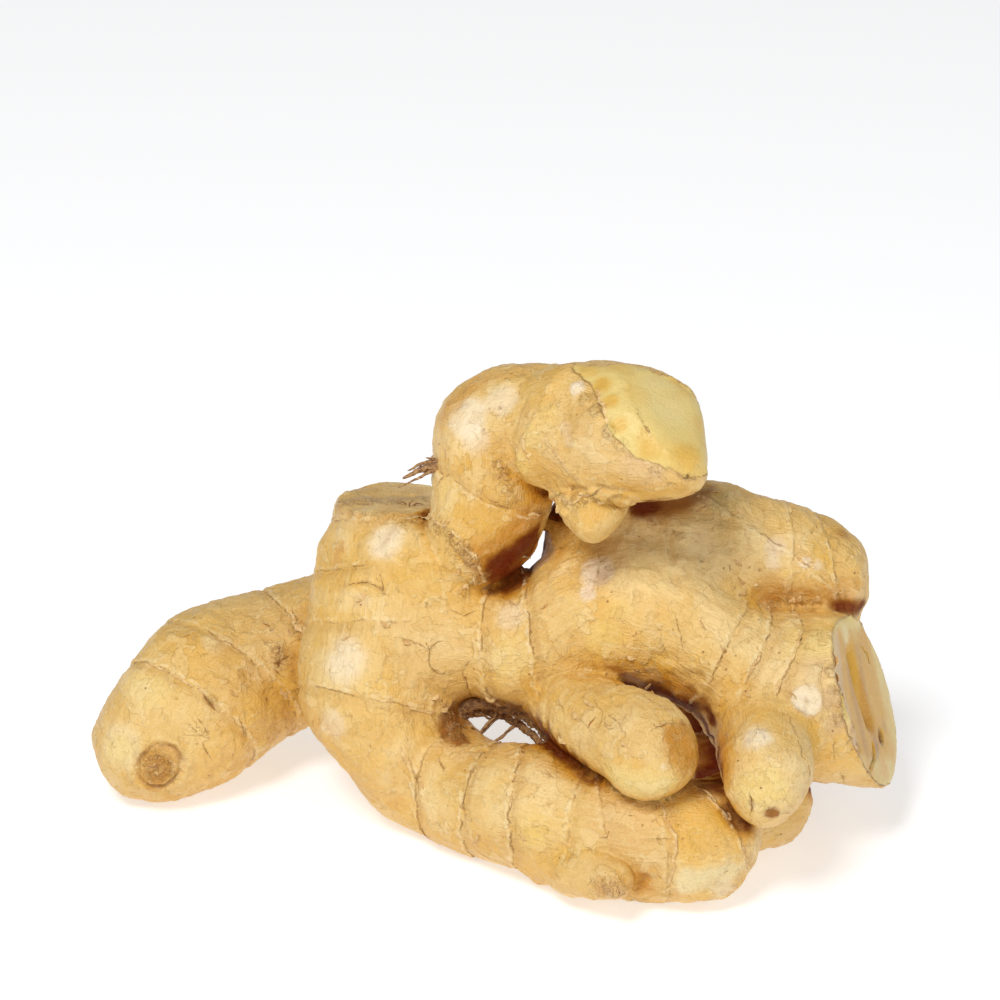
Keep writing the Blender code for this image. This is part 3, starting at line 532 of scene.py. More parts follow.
    (20.7, -3.4, 60.0, 3.0, "rose", 0.95, 0.35),
    (18.8, -6.5, 56.6, 1.6, "rose", 0.9, 0.4),
    (13.7, -3.4, 56.7, 2.2, "gold", 0.6, 0.9),
    (31.3, -4.4, 60.5, 5.2, "yellow", 0.45, 0.9),
    (22.2, -11.3, 48.2, 3.6, "yellowgold", 0.6, 0.8),
    (25.2, -10.2, 54.3, 2.8, "yellowgold", 0.4, 0.9),
    (41.6, 2.7, 62.8, 2.8, "pink", 0.5, 0.8),
    (46.2, 9.6, 68.9, 2.8, "green", 0.6, 0.8),
    (43.0, 10.1, 69.4, 1.8, "pink", 0.5, 0.7),
    # painted shadow under the end joint, over brownish scaly skin: brown, umber
    (38.7, 8.7, 68.7, 2.0, "brown", 0.6, 0.9),
    (34.6, 8.5, 68.3, 2.0, "umber", 0.8, 0.8),
    (31.2, 8.7, 68.2, 1.6, "umber", 0.95, 0.7),
    (29.0, 7.9, 67.7, 1.4, "umber", 0.9, 0.7),
    (32.6, 6.4, 66.6, 2.0, "ochre", 0.6, 0.9),
    (43.0, 14.2, 70.4, 2.4, "brown", 0.4, 0.9),
    (56.8, 2.9, 62.0, 2.2, "rose", 0.8, 0.5),
    (56.4, 1.7, 59.4, 1.6, "rose", 0.8, 0.5),
    (63.1, 2.6, 59.0, 1.2, "white", 0.9, 0.3),
    (65.6, 2.9, 58.0, 1.0, "white", 0.7, 0.4),
    (64.4, 4.3, 61.3, 1.8, "gold", 0.7, 0.5),
    (71.3, 10.8, 61.5, 1.6, "brown", 0.6, 0.7),
    (67.3, 3.9, 58.8, 1.4, "gold", 0.8, 0.4),
    (52.8, -0.2, 51.8, 2.8, "gold", 0.9, 0.8),
    (56.4, 1.9, 50.6, 2.8, "ochre", 0.8, 0.8),
    (60.1, 2.3, 50.7, 2.8, "gold", 0.9, 0.8),
    (64.6, 2.8, 50.6, 2.6, "gold", 0.8, 0.8),
    (59.0, 1.6, 53.2, 2.4, "amber", 0.3, 0.9),
    (55.8, -1.5, 50.0, 1.0, "brown", 0.4, 0.8),
    (61.0, 0.4, 49.1, 1.0, "brown", 0.5, 0.8),
    (64.6, 1.4, 48.6, 1.0, "brown", 0.5, 0.8),
    # painted shade at the end of the slit between the upper and the thick finger: ochre, umber
    (72.5, 4.1, 49.1, 1.6, "ochre", 0.8, 0.7),
    (70.4, 3.6, 48.4, 1.4, "umber", 0.8, 0.7),
    (75.1, 5.6, 48.2, 1.2, "umber", 0.7, 0.7),
    (63.6, -12.4, 48.8, 4.8, "yellow", 0.5, 0.8),
    (63.9, -18.1, 44.9, 3.2, "pinktan", 0.5, 0.8),
    (62.0, -21.9, 39.9, 3.0, "white", 0.8, 0.4),
    (52.8, -22.4, 40.4, 2.8, "cream", 0.3, 0.8),
    (51.6, -34.7, 37.9, 2.7, "white", 0.7, 0.6),
    (52.2, -42.9, 31.2, 4.7, "yellow", 0.7, 0.8),
    (54.3, -43.4, 26.3, 1.4, "brown", 0.8, 0.4),
    (49.0, -39.5, 33.7, 2.3, "cream", 0.4, 0.8),
    (36.3, -37.9, 40.2, 2.9, "amber", 0.8, 0.6),
    (38.5, -36.9, 37.9, 2.5, "amber", 0.9, 0.6),
    (38.1, -38.6, 35.3, 2.0, "amber", 0.8, 0.7),
    (34.7, -40.8, 37.3, 2.1, "gold", 0.8, 0.7),
    (35.5, -39.4, 39.2, 1.4, "yellow", 0.6, 0.7),
    (33.1, -41.8, 35.7, 0.8, "white", 0.7, 0.4),
    (37.2, -35.3, 41.0, 1.4, "brown", 0.7, 0.8),
    (39.9, -32.2, 37.0, 1.2, "brown", 0.7, 0.8),
    # painted shade in the folds under the middle joint, beside the heel and beside the bud: brown, umber, ochre
    (42.9, 5.5, 14.2, 1.0, "brown", 0.6, 0.8),
    (43.6, -18.0, 33.7, 1.8, "umber", 0.95, 0.7),
    (44.3, 5.2, 18.3, 1.9, "umber", 0.95, 0.7),
    (44.1, 5.6, 14.6, 1.9, "umber", 0.95, 0.7),
    (45.3, 6.2, 10.8, 1.9, "umber", 0.9, 0.7),
    (43.5, 6.8, 7.4, 1.9, "umber", 0.85, 0.7),
    (42.2, -16.9, 36.5, 1.6, "umber", 0.9, 0.7),
    (39.2, -15.7, 38.8, 1.6, "umber", 0.9, 0.7),
    (35.7, -14.0, 39.3, 1.2, "brown", 0.7, 0.7),
    (32.3, -12.7, 40.0, 1.0, "brown", 0.5, 0.8),
    (28.5, -11.3, 40.2, 1.0, "ochre", 0.5, 0.8),
    (40.7, -15.5, 35.6, 1.6, "umber", 0.9, 0.7),
    (44.7, -22.1, 32.4, 1.2, "brown", 0.5, 0.8),
    (44.1, -24.5, 23.2, 2.0, "brown", 0.6, 0.9),
    (46.7, -32.9, 23.6, 2.0, "brown", 0.4, 0.9),
    (40.7, -33.2, 24.9, 2.4, "ochre", 0.6, 0.9),
    # brown and umber round the opening under the stem, and painted shade in the fold under the short front finger
    (-9.0, -2.5, 25.3, 2.5, "brown", 0.8, 0.7),
    (-8.4, -5.3, 23.8, 2.2, "umber", 0.9, 0.6),
    (-6.5, -7.7, 23.4, 1.8, "umber", 0.8, 0.7),
    (-6.6, 3.5, 25.9, 1.9, "amber", 0.7, 0.8),
    (9.3, -11.1, 29.3, 1.8, "brown", 0.8, 0.7),
    (11.7, -16.3, 28.8, 1.8, "umber", 0.9, 0.7),
    (13.6, -19.7, 28.3, 1.6, "umber", 0.9, 0.7),
    (16.2, -23.8, 28.2, 1.6, "brown", 0.7, 0.8),
    (19.1, -26.6, 26.9, 1.6, "ochre", 0.6, 0.8),
    (6.8, -15.1, 26.5, 1.8, "amber", 0.6, 0.8),
    (21.0, -29.5, 25.1, 1.6, "ochre", 0.6, 0.8),
    (28.4, -41.9, 36.1, 1.8, "amber", 0.6, 0.8),
    (28.5, -41.6, 31.6, 4.3, "yellow", 0.7, 0.8),
    (23.7, -38.9, 31.7, 3.1, "yellow", 0.6, 0.8),
    (33.4, -41.3, 31.4, 2.7, "yellow", 0.6, 0.8),
    (27.7, -41.7, 36.0, 1.6, "gold", 0.7, 0.7),
    (24.2, -39.9, 35.7, 1.6, "gold", 0.4, 0.8),
    (24.7, -34.6, 42.2, 3.9, "cream", 0.5, 0.9),
    (-2.8, -22.0, 22.3, 3.2, "cream", 0.5, 0.8),
    (1.2, -22.4, 24.7, 2.4, "cream", 0.4, 0.8),
    (24.8, -37.8, 19.5, 4.7, "tan", 0.6, 0.8),
    (29.7, -40.6, 16.6, 3.9, "tan", 0.6, 0.6),
    (19.0, -34.9, 21.3, 2.8, "tan", 0.4, 0.8),
    (38.5, -40.0, 20.7, 4.3, "gold", 0.6, 0.8),
    (48.9, -39.0, 16.1, 1.8, "gold", 0.8, 0.7),
    (1.2, -29.7, 11.7, 2.4, "tan", 0.6, 0.7),
    (2.2, -28.6, 7.7, 1.6, "pinktan", 0.5, 0.8),
    (7.2, -32.9, 16.9, 3.6, "yellowgold", 0.4, 0.9),
    (38.6, -42.5, 10.5, 3.3, "palend", 0.9, 0.5),
    (43.0, -42.2, 10.3, 3.3, "palend", 0.9, 0.5),
    (47.5, -40.6, 12.5, 3.0, "palend", 0.8, 0.6),
    (45.7, -39.9, 7.2, 2.4, "white", 0.5, 0.8),
    (48.9, -39.4, 14.4, 1.6, "gold", 0.6, 0.8),
    (-20.8, -10.5, 11.6, 2.9, "orange", 0.6, 0.8),
    (-19.1, -11.3, 16.6, 2.4, "tan", 0.5, 0.8),
    (69.1, -8.5, 46.9, 2.2, "pulp_pink", 0.7, 0.8),
    (70.2, -6.0, 45.7, 2.2, "pulp_gold", 0.95, 0.8),
    (71.4, -3.2, 44.3, 2.2, "pulp_gold", 0.8, 0.8),
    (72.7, -0.3, 42.9, 2.2, "pulp_gold", 0.95, 0.8),
    (74.0, 2.6, 41.4, 2.2, "pulp_gold", 0.6, 0.8),
    (75.1, 5.2, 40.2, 2.3, "pulp_gold", 0.9, 0.8),
    (76.0, 7.3, 39.2, 2.3, "pulp_gold", 0.9, 0.8),
    (76.8, 9.0, 38.3, 2.3, "pulp_gold", 0.6, 0.8),
    (69.2, -10.4, 45.1, 2.2, "pulp_pink", 0.7, 0.8),
    (70.3, -7.8, 43.9, 2.2, "pulp_gold", 0.95, 0.8),
    (71.7, -4.8, 42.4, 2.2, "pulp_amber", 0.8, 0.8),
    (73.0, -1.8, 40.9, 2.2, "pulp_gold", 0.95, 0.8),
    (74.4, 1.3, 39.4, 2.2, "pulp_amber", 0.6, 0.8),
    (75.6, 4.0, 38.1, 2.3, "pulp_gold", 0.9, 0.8),
    (76.5, 6.2, 37.0, 2.3, "pulp_gold", 0.9, 0.8),
    (77.3, 8.0, 36.1, 2.3, "pulp_gold", 0.6, 0.8),
    (69.3, -12.3, 43.4, 2.2, "pulp_pink", 0.7, 0.8),
    (70.5, -9.6, 42.1, 2.2, "pulp_gold", 0.95, 0.8),
    (71.9, -6.5, 40.5, 2.2, "pulp_amber", 0.8, 0.8),
    (73.3, -3.3, 38.9, 2.2, "pulp_gold", 0.95, 0.8),
    (74.8, 0.0, 37.3, 2.2, "pulp_amber", 0.6, 0.8),
    (76.0, 2.8, 35.9, 2.3, "pulp_gold", 0.9, 0.8),
    (77.1, 5.1, 34.7, 2.3, "pulp_gold", 0.9, 0.8),
    (77.9, 7.0, 33.8, 2.3, "pulp_gold", 0.6, 0.8),
    (69.4, -14.3, 41.7, 2.2, "pulp_pink", 0.7, 0.8),
    (70.7, -11.5, 40.3, 2.2, "pulp_gold", 0.95, 0.8),
    (72.1, -8.3, 38.7, 2.2, "pulp_amber", 0.8, 0.8),
    (73.6, -5.0, 37.0, 2.2, "pulp_gold", 0.95, 0.8),
    (75.0, -1.7, 35.4, 2.2, "pulp_amber", 0.6, 0.8),
    (76.3, 1.2, 34.0, 2.2, "pulp_gold", 0.9, 0.8),
    (77.4, 3.6, 32.8, 2.3, "pulp_gold", 0.9, 0.8),
    (78.2, 5.5, 31.8, 2.3, "pulp_gold", 0.6, 0.8),
    (69.5, -16.2, 39.9, 2.2, "pulp_pink", 0.7, 0.8),
    (70.8, -13.3, 38.5, 2.2, "pulp_gold", 0.95, 0.8),
    (72.4, -9.9, 36.8, 2.2, "pulp_amber", 0.8, 0.8),
    (73.9, -6.5, 35.1, 2.2, "pulp_gold", 0.95, 0.8),
    (75.4, -3.0, 33.3, 2.2, "pulp_amber", 0.6, 0.8),
    (76.8, 0.0, 31.8, 2.2, "pulp_gold", 0.9, 0.8),
    (77.9, 2.5, 30.6, 2.3, "pulp_gold", 0.9, 0.8),
    (78.8, 4.5, 29.5, 2.3, "pulp_gold", 0.6, 0.8),
    (69.9, -17.6, 38.0, 2.2, "pulp_pink", 0.7, 0.8),
    (71.2, -14.6, 36.5, 2.2, "pulp_gold", 0.95, 0.8),
    (72.8, -11.1, 34.7, 2.2, "pulp_amber", 0.8, 0.8),
    (74.4, -7.6, 32.9, 2.2, "pulp_gold", 0.95, 0.8),
    (75.9, -4.1, 31.1, 2.2, "pulp_amber", 0.6, 0.8),
    (77.3, -1.0, 29.6, 2.2, "pulp_gold", 0.9, 0.8),
    (78.5, 1.6, 28.3, 2.3, "pulp_gold", 0.9, 0.8),
    (79.4, 3.6, 27.2, 2.3, "pulp_gold", 0.6, 0.8),
    (70.5, -18.3, 35.7, 2.2, "pulp_pink", 0.7, 0.8),
    (71.9, -15.4, 34.2, 2.2, "pulp_gold", 0.95, 0.8),
    (73.4, -11.9, 32.4, 2.2, "pulp_amber", 0.8, 0.8),
    (75.0, -8.4, 30.6, 2.2, "pulp_gold", 0.95, 0.8),
    (76.6, -4.9, 28.8, 2.2, "pulp_amber", 0.6, 0.8),
    (77.9, -1.8, 27.2, 2.2, "pulp_gold", 0.9, 0.8),
    (79.1, 0.7, 25.9, 2.3, "pulp_gold", 0.9, 0.8),
    (80.0, 2.8, 24.9, 2.3, "pulp_gold", 0.6, 0.8),
    (71.1, -19.2, 33.4, 2.2, "pulp_pink", 0.7, 0.8),
    (72.4, -16.3, 31.9, 2.2, "pulp_gold", 0.95, 0.8),
    (74.0, -12.9, 30.2, 2.2, "pulp_amber", 0.8, 0.8),
    (75.5, -9.5, 28.4, 2.2, "pulp_gold", 0.95, 0.8),
    (77.1, -6.0, 26.6, 2.2, "pulp_amber", 0.6, 0.8),
    (78.4, -3.1, 25.1, 2.2, "pulp_gold", 0.9, 0.8),
    (79.5, -0.5, 23.8, 2.3, "pulp_gold", 0.9, 0.8),
    (80.4, 1.5, 22.8, 2.3, "pulp_gold", 0.6, 0.8),
    (71.8, -20.0, 31.1, 2.2, "pulp_pink", 0.7, 0.8),
    (73.0, -17.2, 29.7, 2.2, "pulp_gold", 0.95, 0.8),
    (74.5, -13.9, 28.0, 2.2, "pulp_amber", 0.8, 0.8),
    (76.0, -10.5, 26.2, 2.2, "pulp_gold", 0.95, 0.8),
    (77.5, -7.2, 24.5, 2.2, "pulp_amber", 0.6, 0.8),
    (78.8, -4.3, 23.0, 2.2, "pulp_gold", 0.9, 0.8),
    (79.9, -1.8, 21.7, 2.3, "pulp_gold", 0.9, 0.8),
    (80.8, 0.1, 20.7, 2.3, "pulp_gold", 0.6, 0.8),
    (72.6, -20.2, 28.5, 2.2, "pulp_pink", 0.7, 0.8),
    (73.8, -17.7, 27.2, 2.2, "pulp_gold", 0.95, 0.8),
    (75.1, -14.7, 25.7, 2.2, "pulp_amber", 0.8, 0.8),
    (76.5, -11.7, 24.1, 2.2, "pulp_gold", 0.95, 0.8),
    (77.8, -8.7, 22.5, 2.2, "pulp_amber", 0.6, 0.8),
    (79.0, -6.1, 21.2, 2.2, "pulp_gold", 0.9, 0.8),
    (80.0, -3.9, 20.0, 2.3, "pulp_gold", 0.9, 0.8),
    (80.8, -2.1, 19.1, 2.3, "pulp_gold", 0.6, 0.8),
    (71.3, -2.8, 45.0, 1.8, "pulp_pale", 0.8, 0.7),
    (79.1, -3.8, 22.5, 1.8, "pulp_brown", 0.95, 0.5),
    (77.9, -8.3, 22.6, 1.6, "pulp_brown", 0.6, 0.8),
    (76.7, -12.8, 22.6, 1.4, "pulp_brown", 0.4, 0.8),
    (80.1, 0.4, 22.9, 1.4, "pulp_brown", 0.4, 0.8),
    # painted shadow under the end joint on the upper finger: umber, brown, amber
    (30.0, 10.1, 68.9, 2.4, "umber", 0.9, 0.8),
    (32.7, 9.6, 68.7, 2.4, "umber", 0.85, 0.8),
    (35.3, 9.9, 69.0, 2.4, "brown", 0.8, 0.8),
    (38.1, 10.1, 69.4, 2.4, "brown", 0.7, 0.8),
    (41.1, 12.3, 70.2, 2.4, "brown", 0.5, 0.8),
    (29.6, 7.1, 67.2, 1.8, "amber", 0.6, 0.8),
    (33.6, 6.7, 66.9, 2.4, "amber", 0.5, 0.8),
    (37.6, 7.1, 67.6, 2.4, "amber", 0.5, 0.9),
    (-45.3, 28.4, 39.5, 3.4, "tan", 0.17, 0.8),
    (-42.0, 26.7, 40.3, 3.4, "tan", 0.17, 0.8),
    (-53.1, 26.2, 37.5, 3.4, "tan", 0.17, 0.8),
    (-49.9, 25.9, 37.7, 3.4, "tan", 0.17, 0.8),
    (-46.7, 24.9, 38.1, 3.4, "tan", 0.17, 0.8),
    (-43.5, 23.9, 38.6, 3.3, "tan", 0.17, 0.8),
    (-54.4, 21.6, 36.7, 3.3, "tan", 0.17, 0.8),
    (-51.3, 21.9, 36.5, 3.3, "tan", 0.17, 0.8),
    (-48.2, 22.0, 36.5, 3.3, "tan", 0.17, 0.8),
    (-45.0, 21.5, 36.7, 3.3, "tan", 0.17, 0.8),
    (-41.8, 20.8, 37.1, 3.3, "tan", 0.17, 0.8),
    (-55.8, 17.4, 35.7, 3.3, "tan", 0.17, 0.8),
    (-52.7, 18.4, 35.2, 3.3, "tan", 0.17, 0.8),
    (-49.6, 19.1, 34.9, 3.3, "tan", 0.17, 0.8),
    (-46.5, 19.4, 34.8, 3.3, "tan", 0.17, 0.8),
    (-43.4, 19.1, 34.9, 3.3, "tan", 0.17, 0.8),
    (-57.1, 13.6, 34.5, 3.3, "tan", 0.17, 0.8),
    (-54.1, 14.8, 34.0, 3.3, "tan", 0.17, 0.8),
    (-51.1, 16.1, 33.3, 3.3, "tan", 0.17, 0.8),
    (-48.0, 17.1, 32.9, 3.3, "tan", 0.17, 0.8),
    (-44.9, 17.4, 32.7, 3.3, "tan", 0.17, 0.8),
    (-41.8, 17.3, 32.7, 3.3, "tan", 0.17, 0.8),
    (-55.5, 11.5, 32.6, 3.3, "tan", 0.17, 0.8),
    (-52.5, 12.9, 31.9, 3.3, "tan", 0.17, 0.8),
    (-49.5, 14.5, 31.1, 3.3, "tan", 0.17, 0.8),
    (-46.4, 15.6, 30.5, 3.3, "tan", 0.17, 0.8),
    (-43.3, 16.1, 30.3, 3.3, "tan", 0.17, 0.8),
    (-56.9, 8.7, 31.0, 3.3, "tan", 0.17, 0.8),
    (-53.9, 10.0, 30.3, 3.3, "tan", 0.17, 0.8),
    (-50.9, 11.7, 29.5, 3.3, "tan", 0.17, 0.8),
    (-47.9, 13.5, 28.5, 3.3, "tan", 0.17, 0.8),
    (-44.9, 14.8, 27.9, 3.3, "tan", 0.17, 0.8),
    (-41.8, 15.3, 27.7, 3.3, "tan", 0.17, 0.8),
    (-58.4, 6.4, 29.1, 3.3, "tan", 0.17, 0.8),
    (-55.3, 7.4, 28.6, 3.3, "tan", 0.17, 0.8),
    (-52.4, 9.0, 27.8, 3.3, "tan", 0.17, 0.8),
    (-49.4, 11.0, 26.8, 3.3, "tan", 0.17, 0.8),
    (-46.4, 13.1, 25.8, 3.3, "tan", 0.17, 0.8),
    (-43.4, 14.4, 25.1, 3.3, "tan", 0.17, 0.8),
    (-39.6, 3.5, 30.6, 3.3, "tan", 0.17, 0.8),
    (-56.8, 5.4, 26.6, 3.3, "tan", 0.17, 0.8),
    (-53.8, 6.7, 25.9, 3.3, "tan", 0.17, 0.8),
    (-50.8, 8.6, 25.0, 3.3, "tan", 0.17, 0.8),
    (-47.9, 11.1, 23.7, 3.3, "tan", 0.17, 0.8),
    (-44.9, 13.3, 22.6, 3.3, "tan", 0.17, 0.8),
    (-41.9, 14.7, 21.8, 3.3, "tan", 0.17, 0.8),
    (-58.3, 3.6, 24.5, 3.3, "tan", 0.17, 0.8),
    (-55.3, 4.9, 23.9, 3.3, "tan", 0.17, 0.8),
    (-52.3, 6.5, 23.0, 3.3, "tan", 0.17, 0.8),
    (-49.4, 8.9, 21.8, 3.3, "tan", 0.17, 0.8),
    (-46.5, 11.9, 20.2, 3.3, "tan", 0.17, 0.8),
    (-43.5, 14.3, 19.0, 3.3, "tan", 0.17, 0.8),
    (-40.5, 16.1, 18.1, 3.4, "tan", 0.17, 0.8),
    (-56.8, 3.3, 21.6, 3.3, "tan", 0.17, 0.8),
    (-53.8, 4.9, 20.8, 3.3, "tan", 0.17, 0.8),
    (-50.9, 7.1, 19.7, 3.3, "tan", 0.17, 0.8),
    (-48.0, 10.1, 18.1, 3.3, "tan", 0.17, 0.8),
    (-45.1, 14.0, 16.1, 3.3, "tan", 0.17, 0.8),
    (-42.1, 16.9, 14.6, 3.4, "tan", 0.17, 0.8),
    (-52.4, 5.8, 17.3, 3.3, "tan", 0.17, 0.8),
    (-49.5, 8.7, 15.8, 3.3, "tan", 0.17, 0.8),
    (-46.7, 13.4, 13.4, 3.4, "tan", 0.17, 0.8),
    (-44.0, 19.8, 10.0, 3.4, "tan", 0.17, 0.8),
    (-51.1, 8.0, 13.1, 3.3, "tan", 0.17, 0.8),
    (-48.3, 13.5, 10.2, 3.4, "tan", 0.17, 0.8),
    (-41.8, 15.1, 27.2, 2.9, "gold", 0.2, 0.8),
    (-45.8, 13.3, 25.4, 2.9, "gold", 0.2, 0.8),
    (-43.2, 14.5, 24.9, 2.9, "gold", 0.2, 0.8),
    (-39.9, 4.0, 30.1, 2.9, "gold", 0.2, 0.8),
    (-49.7, 9.6, 24.7, 2.9, "gold", 0.2, 0.8),
    (-47.1, 11.9, 23.6, 2.9, "gold", 0.2, 0.8),
    (-44.5, 13.6, 22.7, 2.9, "gold", 0.2, 0.8),
    (-41.9, 14.7, 22.1, 2.9, "gold", 0.2, 0.8),
    (-51.0, 7.7, 23.0, 2.9, "gold", 0.2, 0.8),
    (-48.4, 9.9, 21.9, 2.9, "gold", 0.2, 0.8),
    (-45.9, 12.5, 20.6, 2.9, "gold", 0.2, 0.8),
    (-43.3, 14.4, 19.7, 2.9, "gold", 0.2, 0.8),
    (-40.6, 15.7, 19.0, 2.9, "gold", 0.2, 0.8),
    (-54.8, 4.6, 22.0, 2.9, "gold", 0.2, 0.8),
    (-52.2, 6.2, 21.2, 2.9, "gold", 0.2, 0.8),
    (-49.7, 8.3, 20.1, 2.9, "gold", 0.2, 0.8),
    (-47.2, 11.1, 18.7, 2.9, "gold", 0.2, 0.8),
    (-44.6, 14.0, 17.2, 2.9, "gold", 0.2, 0.8),
    (-42.1, 16.2, 16.1, 2.9, "gold", 0.2, 0.8),
    (-56.2, 3.4, 20.0, 2.9, "gold", 0.2, 0.8),
    (-53.6, 4.9, 19.2, 2.9, "gold", 0.2, 0.8),
    (-51.0, 6.9, 18.2, 2.9, "gold", 0.2, 0.8),
    (-48.5, 9.7, 16.8, 2.9, "gold", 0.2, 0.8),
    (-46.1, 13.6, 14.7, 2.9, "gold", 0.2, 0.8),
    (-43.6, 17.1, 12.9, 2.9, "gold", 0.2, 0.8),
    (-57.5, 2.6, 17.8, 2.9, "gold", 0.2, 0.8),
    (-54.9, 4.0, 17.1, 2.9, "gold", 0.2, 0.8),
    (-52.4, 6.0, 16.0, 2.9, "gold", 0.2, 0.8),
    (-49.9, 8.7, 14.6, 2.9, "gold", 0.2, 0.8),
    (-47.4, 13.1, 12.3, 2.9, "gold", 0.2, 0.8),
    (-58.9, 2.0, 15.5, 2.9, "gold", 0.2, 0.8),
    (-56.3, 3.5, 14.7, 2.9, "gold", 0.2, 0.8),
    (-53.8, 5.4, 13.7, 2.9, "gold", 0.2, 0.8),
    (-51.3, 8.2, 12.2, 2.9, "gold", 0.2, 0.8),
    (-48.9, 13.4, 9.5, 2.9, "gold", 0.2, 0.8),
    (-60.3, 1.9, 12.9, 2.9, "gold", 0.2, 0.8),
    (-57.7, 3.3, 12.1, 2.9, "gold", 0.2, 0.8),
    (-55.2, 5.5, 11.0, 2.9, "gold", 0.2, 0.8),
    (-52.7, 8.6, 9.4, 2.9, "gold", 0.2, 0.8),
    (-61.7, 2.1, 10.1, 2.9, "gold", 0.2, 0.8),
    (-59.2, 3.8, 9.3, 2.9, "gold", 0.2, 0.8),
    (-56.7, 6.2, 8.0, 2.9, "gold", 0.2, 0.8),
    (-63.2, 3.1, 6.9, 2.9, "gold", 0.2, 0.8),
    (-60.7, 5.3, 5.8, 2.9, "gold", 0.2, 0.8),
    (-18.6, 0.3, 50.6, 3.0, "tan", 0.16, 0.8),
    (-15.7, 0.0, 50.8, 3.0, "tan", 0.16, 0.8),
    (-12.9, -0.3, 50.9, 3.0, "tan", 0.16, 0.8),
    (-10.0, -0.4, 51.0, 3.0, "tan", 0.16, 0.8),
    (-20.0, -0.4, 48.2, 3.0, "tan", 0.16, 0.8),
    (-17.1, -0.6, 48.3, 3.0, "tan", 0.16, 0.8),
    (-14.3, -0.8, 48.4, 3.0, "tan", 0.16, 0.8),
    (-11.5, -1.1, 48.6, 3.0, "tan", 0.16, 0.8),
    (-8.6, -1.2, 48.6, 3.0, "tan", 0.16, 0.8),
    (-18.6, -1.4, 46.0, 3.0, "tan", 0.16, 0.8),
    (-15.7, -1.5, 46.0, 3.0, "tan", 0.16, 0.8),
    (-12.9, -1.8, 46.2, 3.0, "tan", 0.16, 0.8),
    (-10.0, -2.0, 46.3, 3.0, "tan", 0.16, 0.8),
    (-7.2, -2.1, 46.3, 3.0, "tan", 0.16, 0.8),
    (-20.0, -2.4, 43.8, 3.0, "tan", 0.16, 0.8),
    (-17.1, -2.3, 43.7, 3.0, "tan", 0.16, 0.8),
    (-14.3, -2.4, 43.7, 3.0, "tan", 0.16, 0.8),
    (-11.5, -2.6, 43.8, 3.0, "tan", 0.16, 0.8),
    (-8.6, -2.8, 43.9, 3.0, "tan", 0.16, 0.8),
    (-5.8, -3.0, 44.0, 3.0, "tan", 0.16, 0.8),
    (-21.4, -3.5, 41.5, 3.0, "tan", 0.16, 0.8),
    (-18.6, -3.3, 41.4, 3.0, "tan", 0.16, 0.8),
    (-15.7, -3.1, 41.3, 3.0, "tan", 0.16, 0.8),
    (-12.9, -3.0, 41.3, 3.0, "tan", 0.16, 0.8),
    (-10.1, -3.1, 41.3, 3.0, "tan", 0.16, 0.8),
    (-7.2, -3.3, 41.4, 3.0, "tan", 0.16, 0.8),
    (-4.4, -4.0, 41.8, 3.0, "tan", 0.16, 0.8),
    (-20.0, -4.3, 39.2, 3.0, "tan", 0.16, 0.8),
    (-17.2, -4.0, 39.0, 3.0, "tan", 0.16, 0.8),
    (-14.3, -3.5, 38.8, 3.0, "tan", 0.16, 0.8),
    (-11.5, -3.2, 38.6, 3.0, "tan", 0.16, 0.8),
    (-8.6, -3.3, 38.6, 3.0, "tan", 0.16, 0.8),
    (-5.8, -3.5, 38.8, 3.0, "tan", 0.16, 0.8),
    (-18.6, -5.0, 36.8, 3.0, "tan", 0.16, 0.8),
    (-15.8, -4.3, 36.4, 3.0, "tan", 0.16, 0.8),
    (-12.9, -3.5, 36.0, 3.0, "tan", 0.16, 0.8),
    (-10.1, -2.9, 35.7, 3.1, "tan", 0.16, 0.8),
    (-7.2, -2.7, 35.6, 3.1, "tan", 0.16, 0.8),
    (-4.4, -3.6, 36.1, 3.0, "tan", 0.16, 0.8),
    (-17.2, -5.5, 34.3, 3.0, "tan", 0.16, 0.8),
    (-14.4, -4.4, 33.7, 3.0, "tan", 0.16, 0.8),
    (-11.5, -3.0, 33.0, 3.1, "tan", 0.16, 0.8),
    (-8.7, -1.7, 32.3, 3.1, "tan", 0.16, 0.8),
    (-5.8, -0.8, 31.9, 3.1, "tan", 0.16, 0.8),
    (-18.6, -6.9, 32.2, 3.0, "tan", 0.16, 0.8),
    (-15.8, -5.9, 31.7, 3.0, "tan", 0.16, 0.8),
    (-12.9, -4.3, 30.9, 3.1, "tan", 0.16, 0.8),
    (-10.1, -2.1, 29.8, 3.1, "tan", 0.16, 0.8),
    (-7.3, 1.2, 28.1, 3.1, "tan", 0.16, 0.8),
    (-17.2, -7.5, 29.7, 3.0, "tan", 0.16, 0.8),
    (-14.4, -6.2, 29.1, 3.0, "tan", 0.16, 0.8),
    # painted shade: a faint deep gold wash over the lower front of the upright finger
    (0.2, -1.6, 86.8, 2.8, "deepgold", 0.2, 0.8),
    (-8.8, 1.6, 83.0, 2.8, "deepgold", 0.2, 0.8),
    (-6.2, -0.1, 83.7, 2.8, "deepgold", 0.2, 0.8),
    (-3.6, -1.1, 84.1, 2.8, "deepgold", 0.2, 0.8),
    (-1.0, -1.5, 84.3, 2.8, "deepgold", 0.2, 0.8),
    (1.6, -2.1, 84.6, 2.8, "deepgold", 0.2, 0.8),
    (4.1, -3.5, 85.2, 2.8, "deepgold", 0.2, 0.8),
    (-10.2, 2.3, 80.2, 2.8, "deepgold", 0.2, 0.8),
    (-7.5, 0.0, 81.2, 2.8, "deepgold", 0.2, 0.8),
    (-4.9, -1.3, 81.8, 2.8, "deepgold", 0.2, 0.8),
    (-2.3, -2.0, 82.1, 2.8, "deepgold", 0.2, 0.8),
    (0.2, -2.1, 82.1, 2.8, "deepgold", 0.2, 0.8),
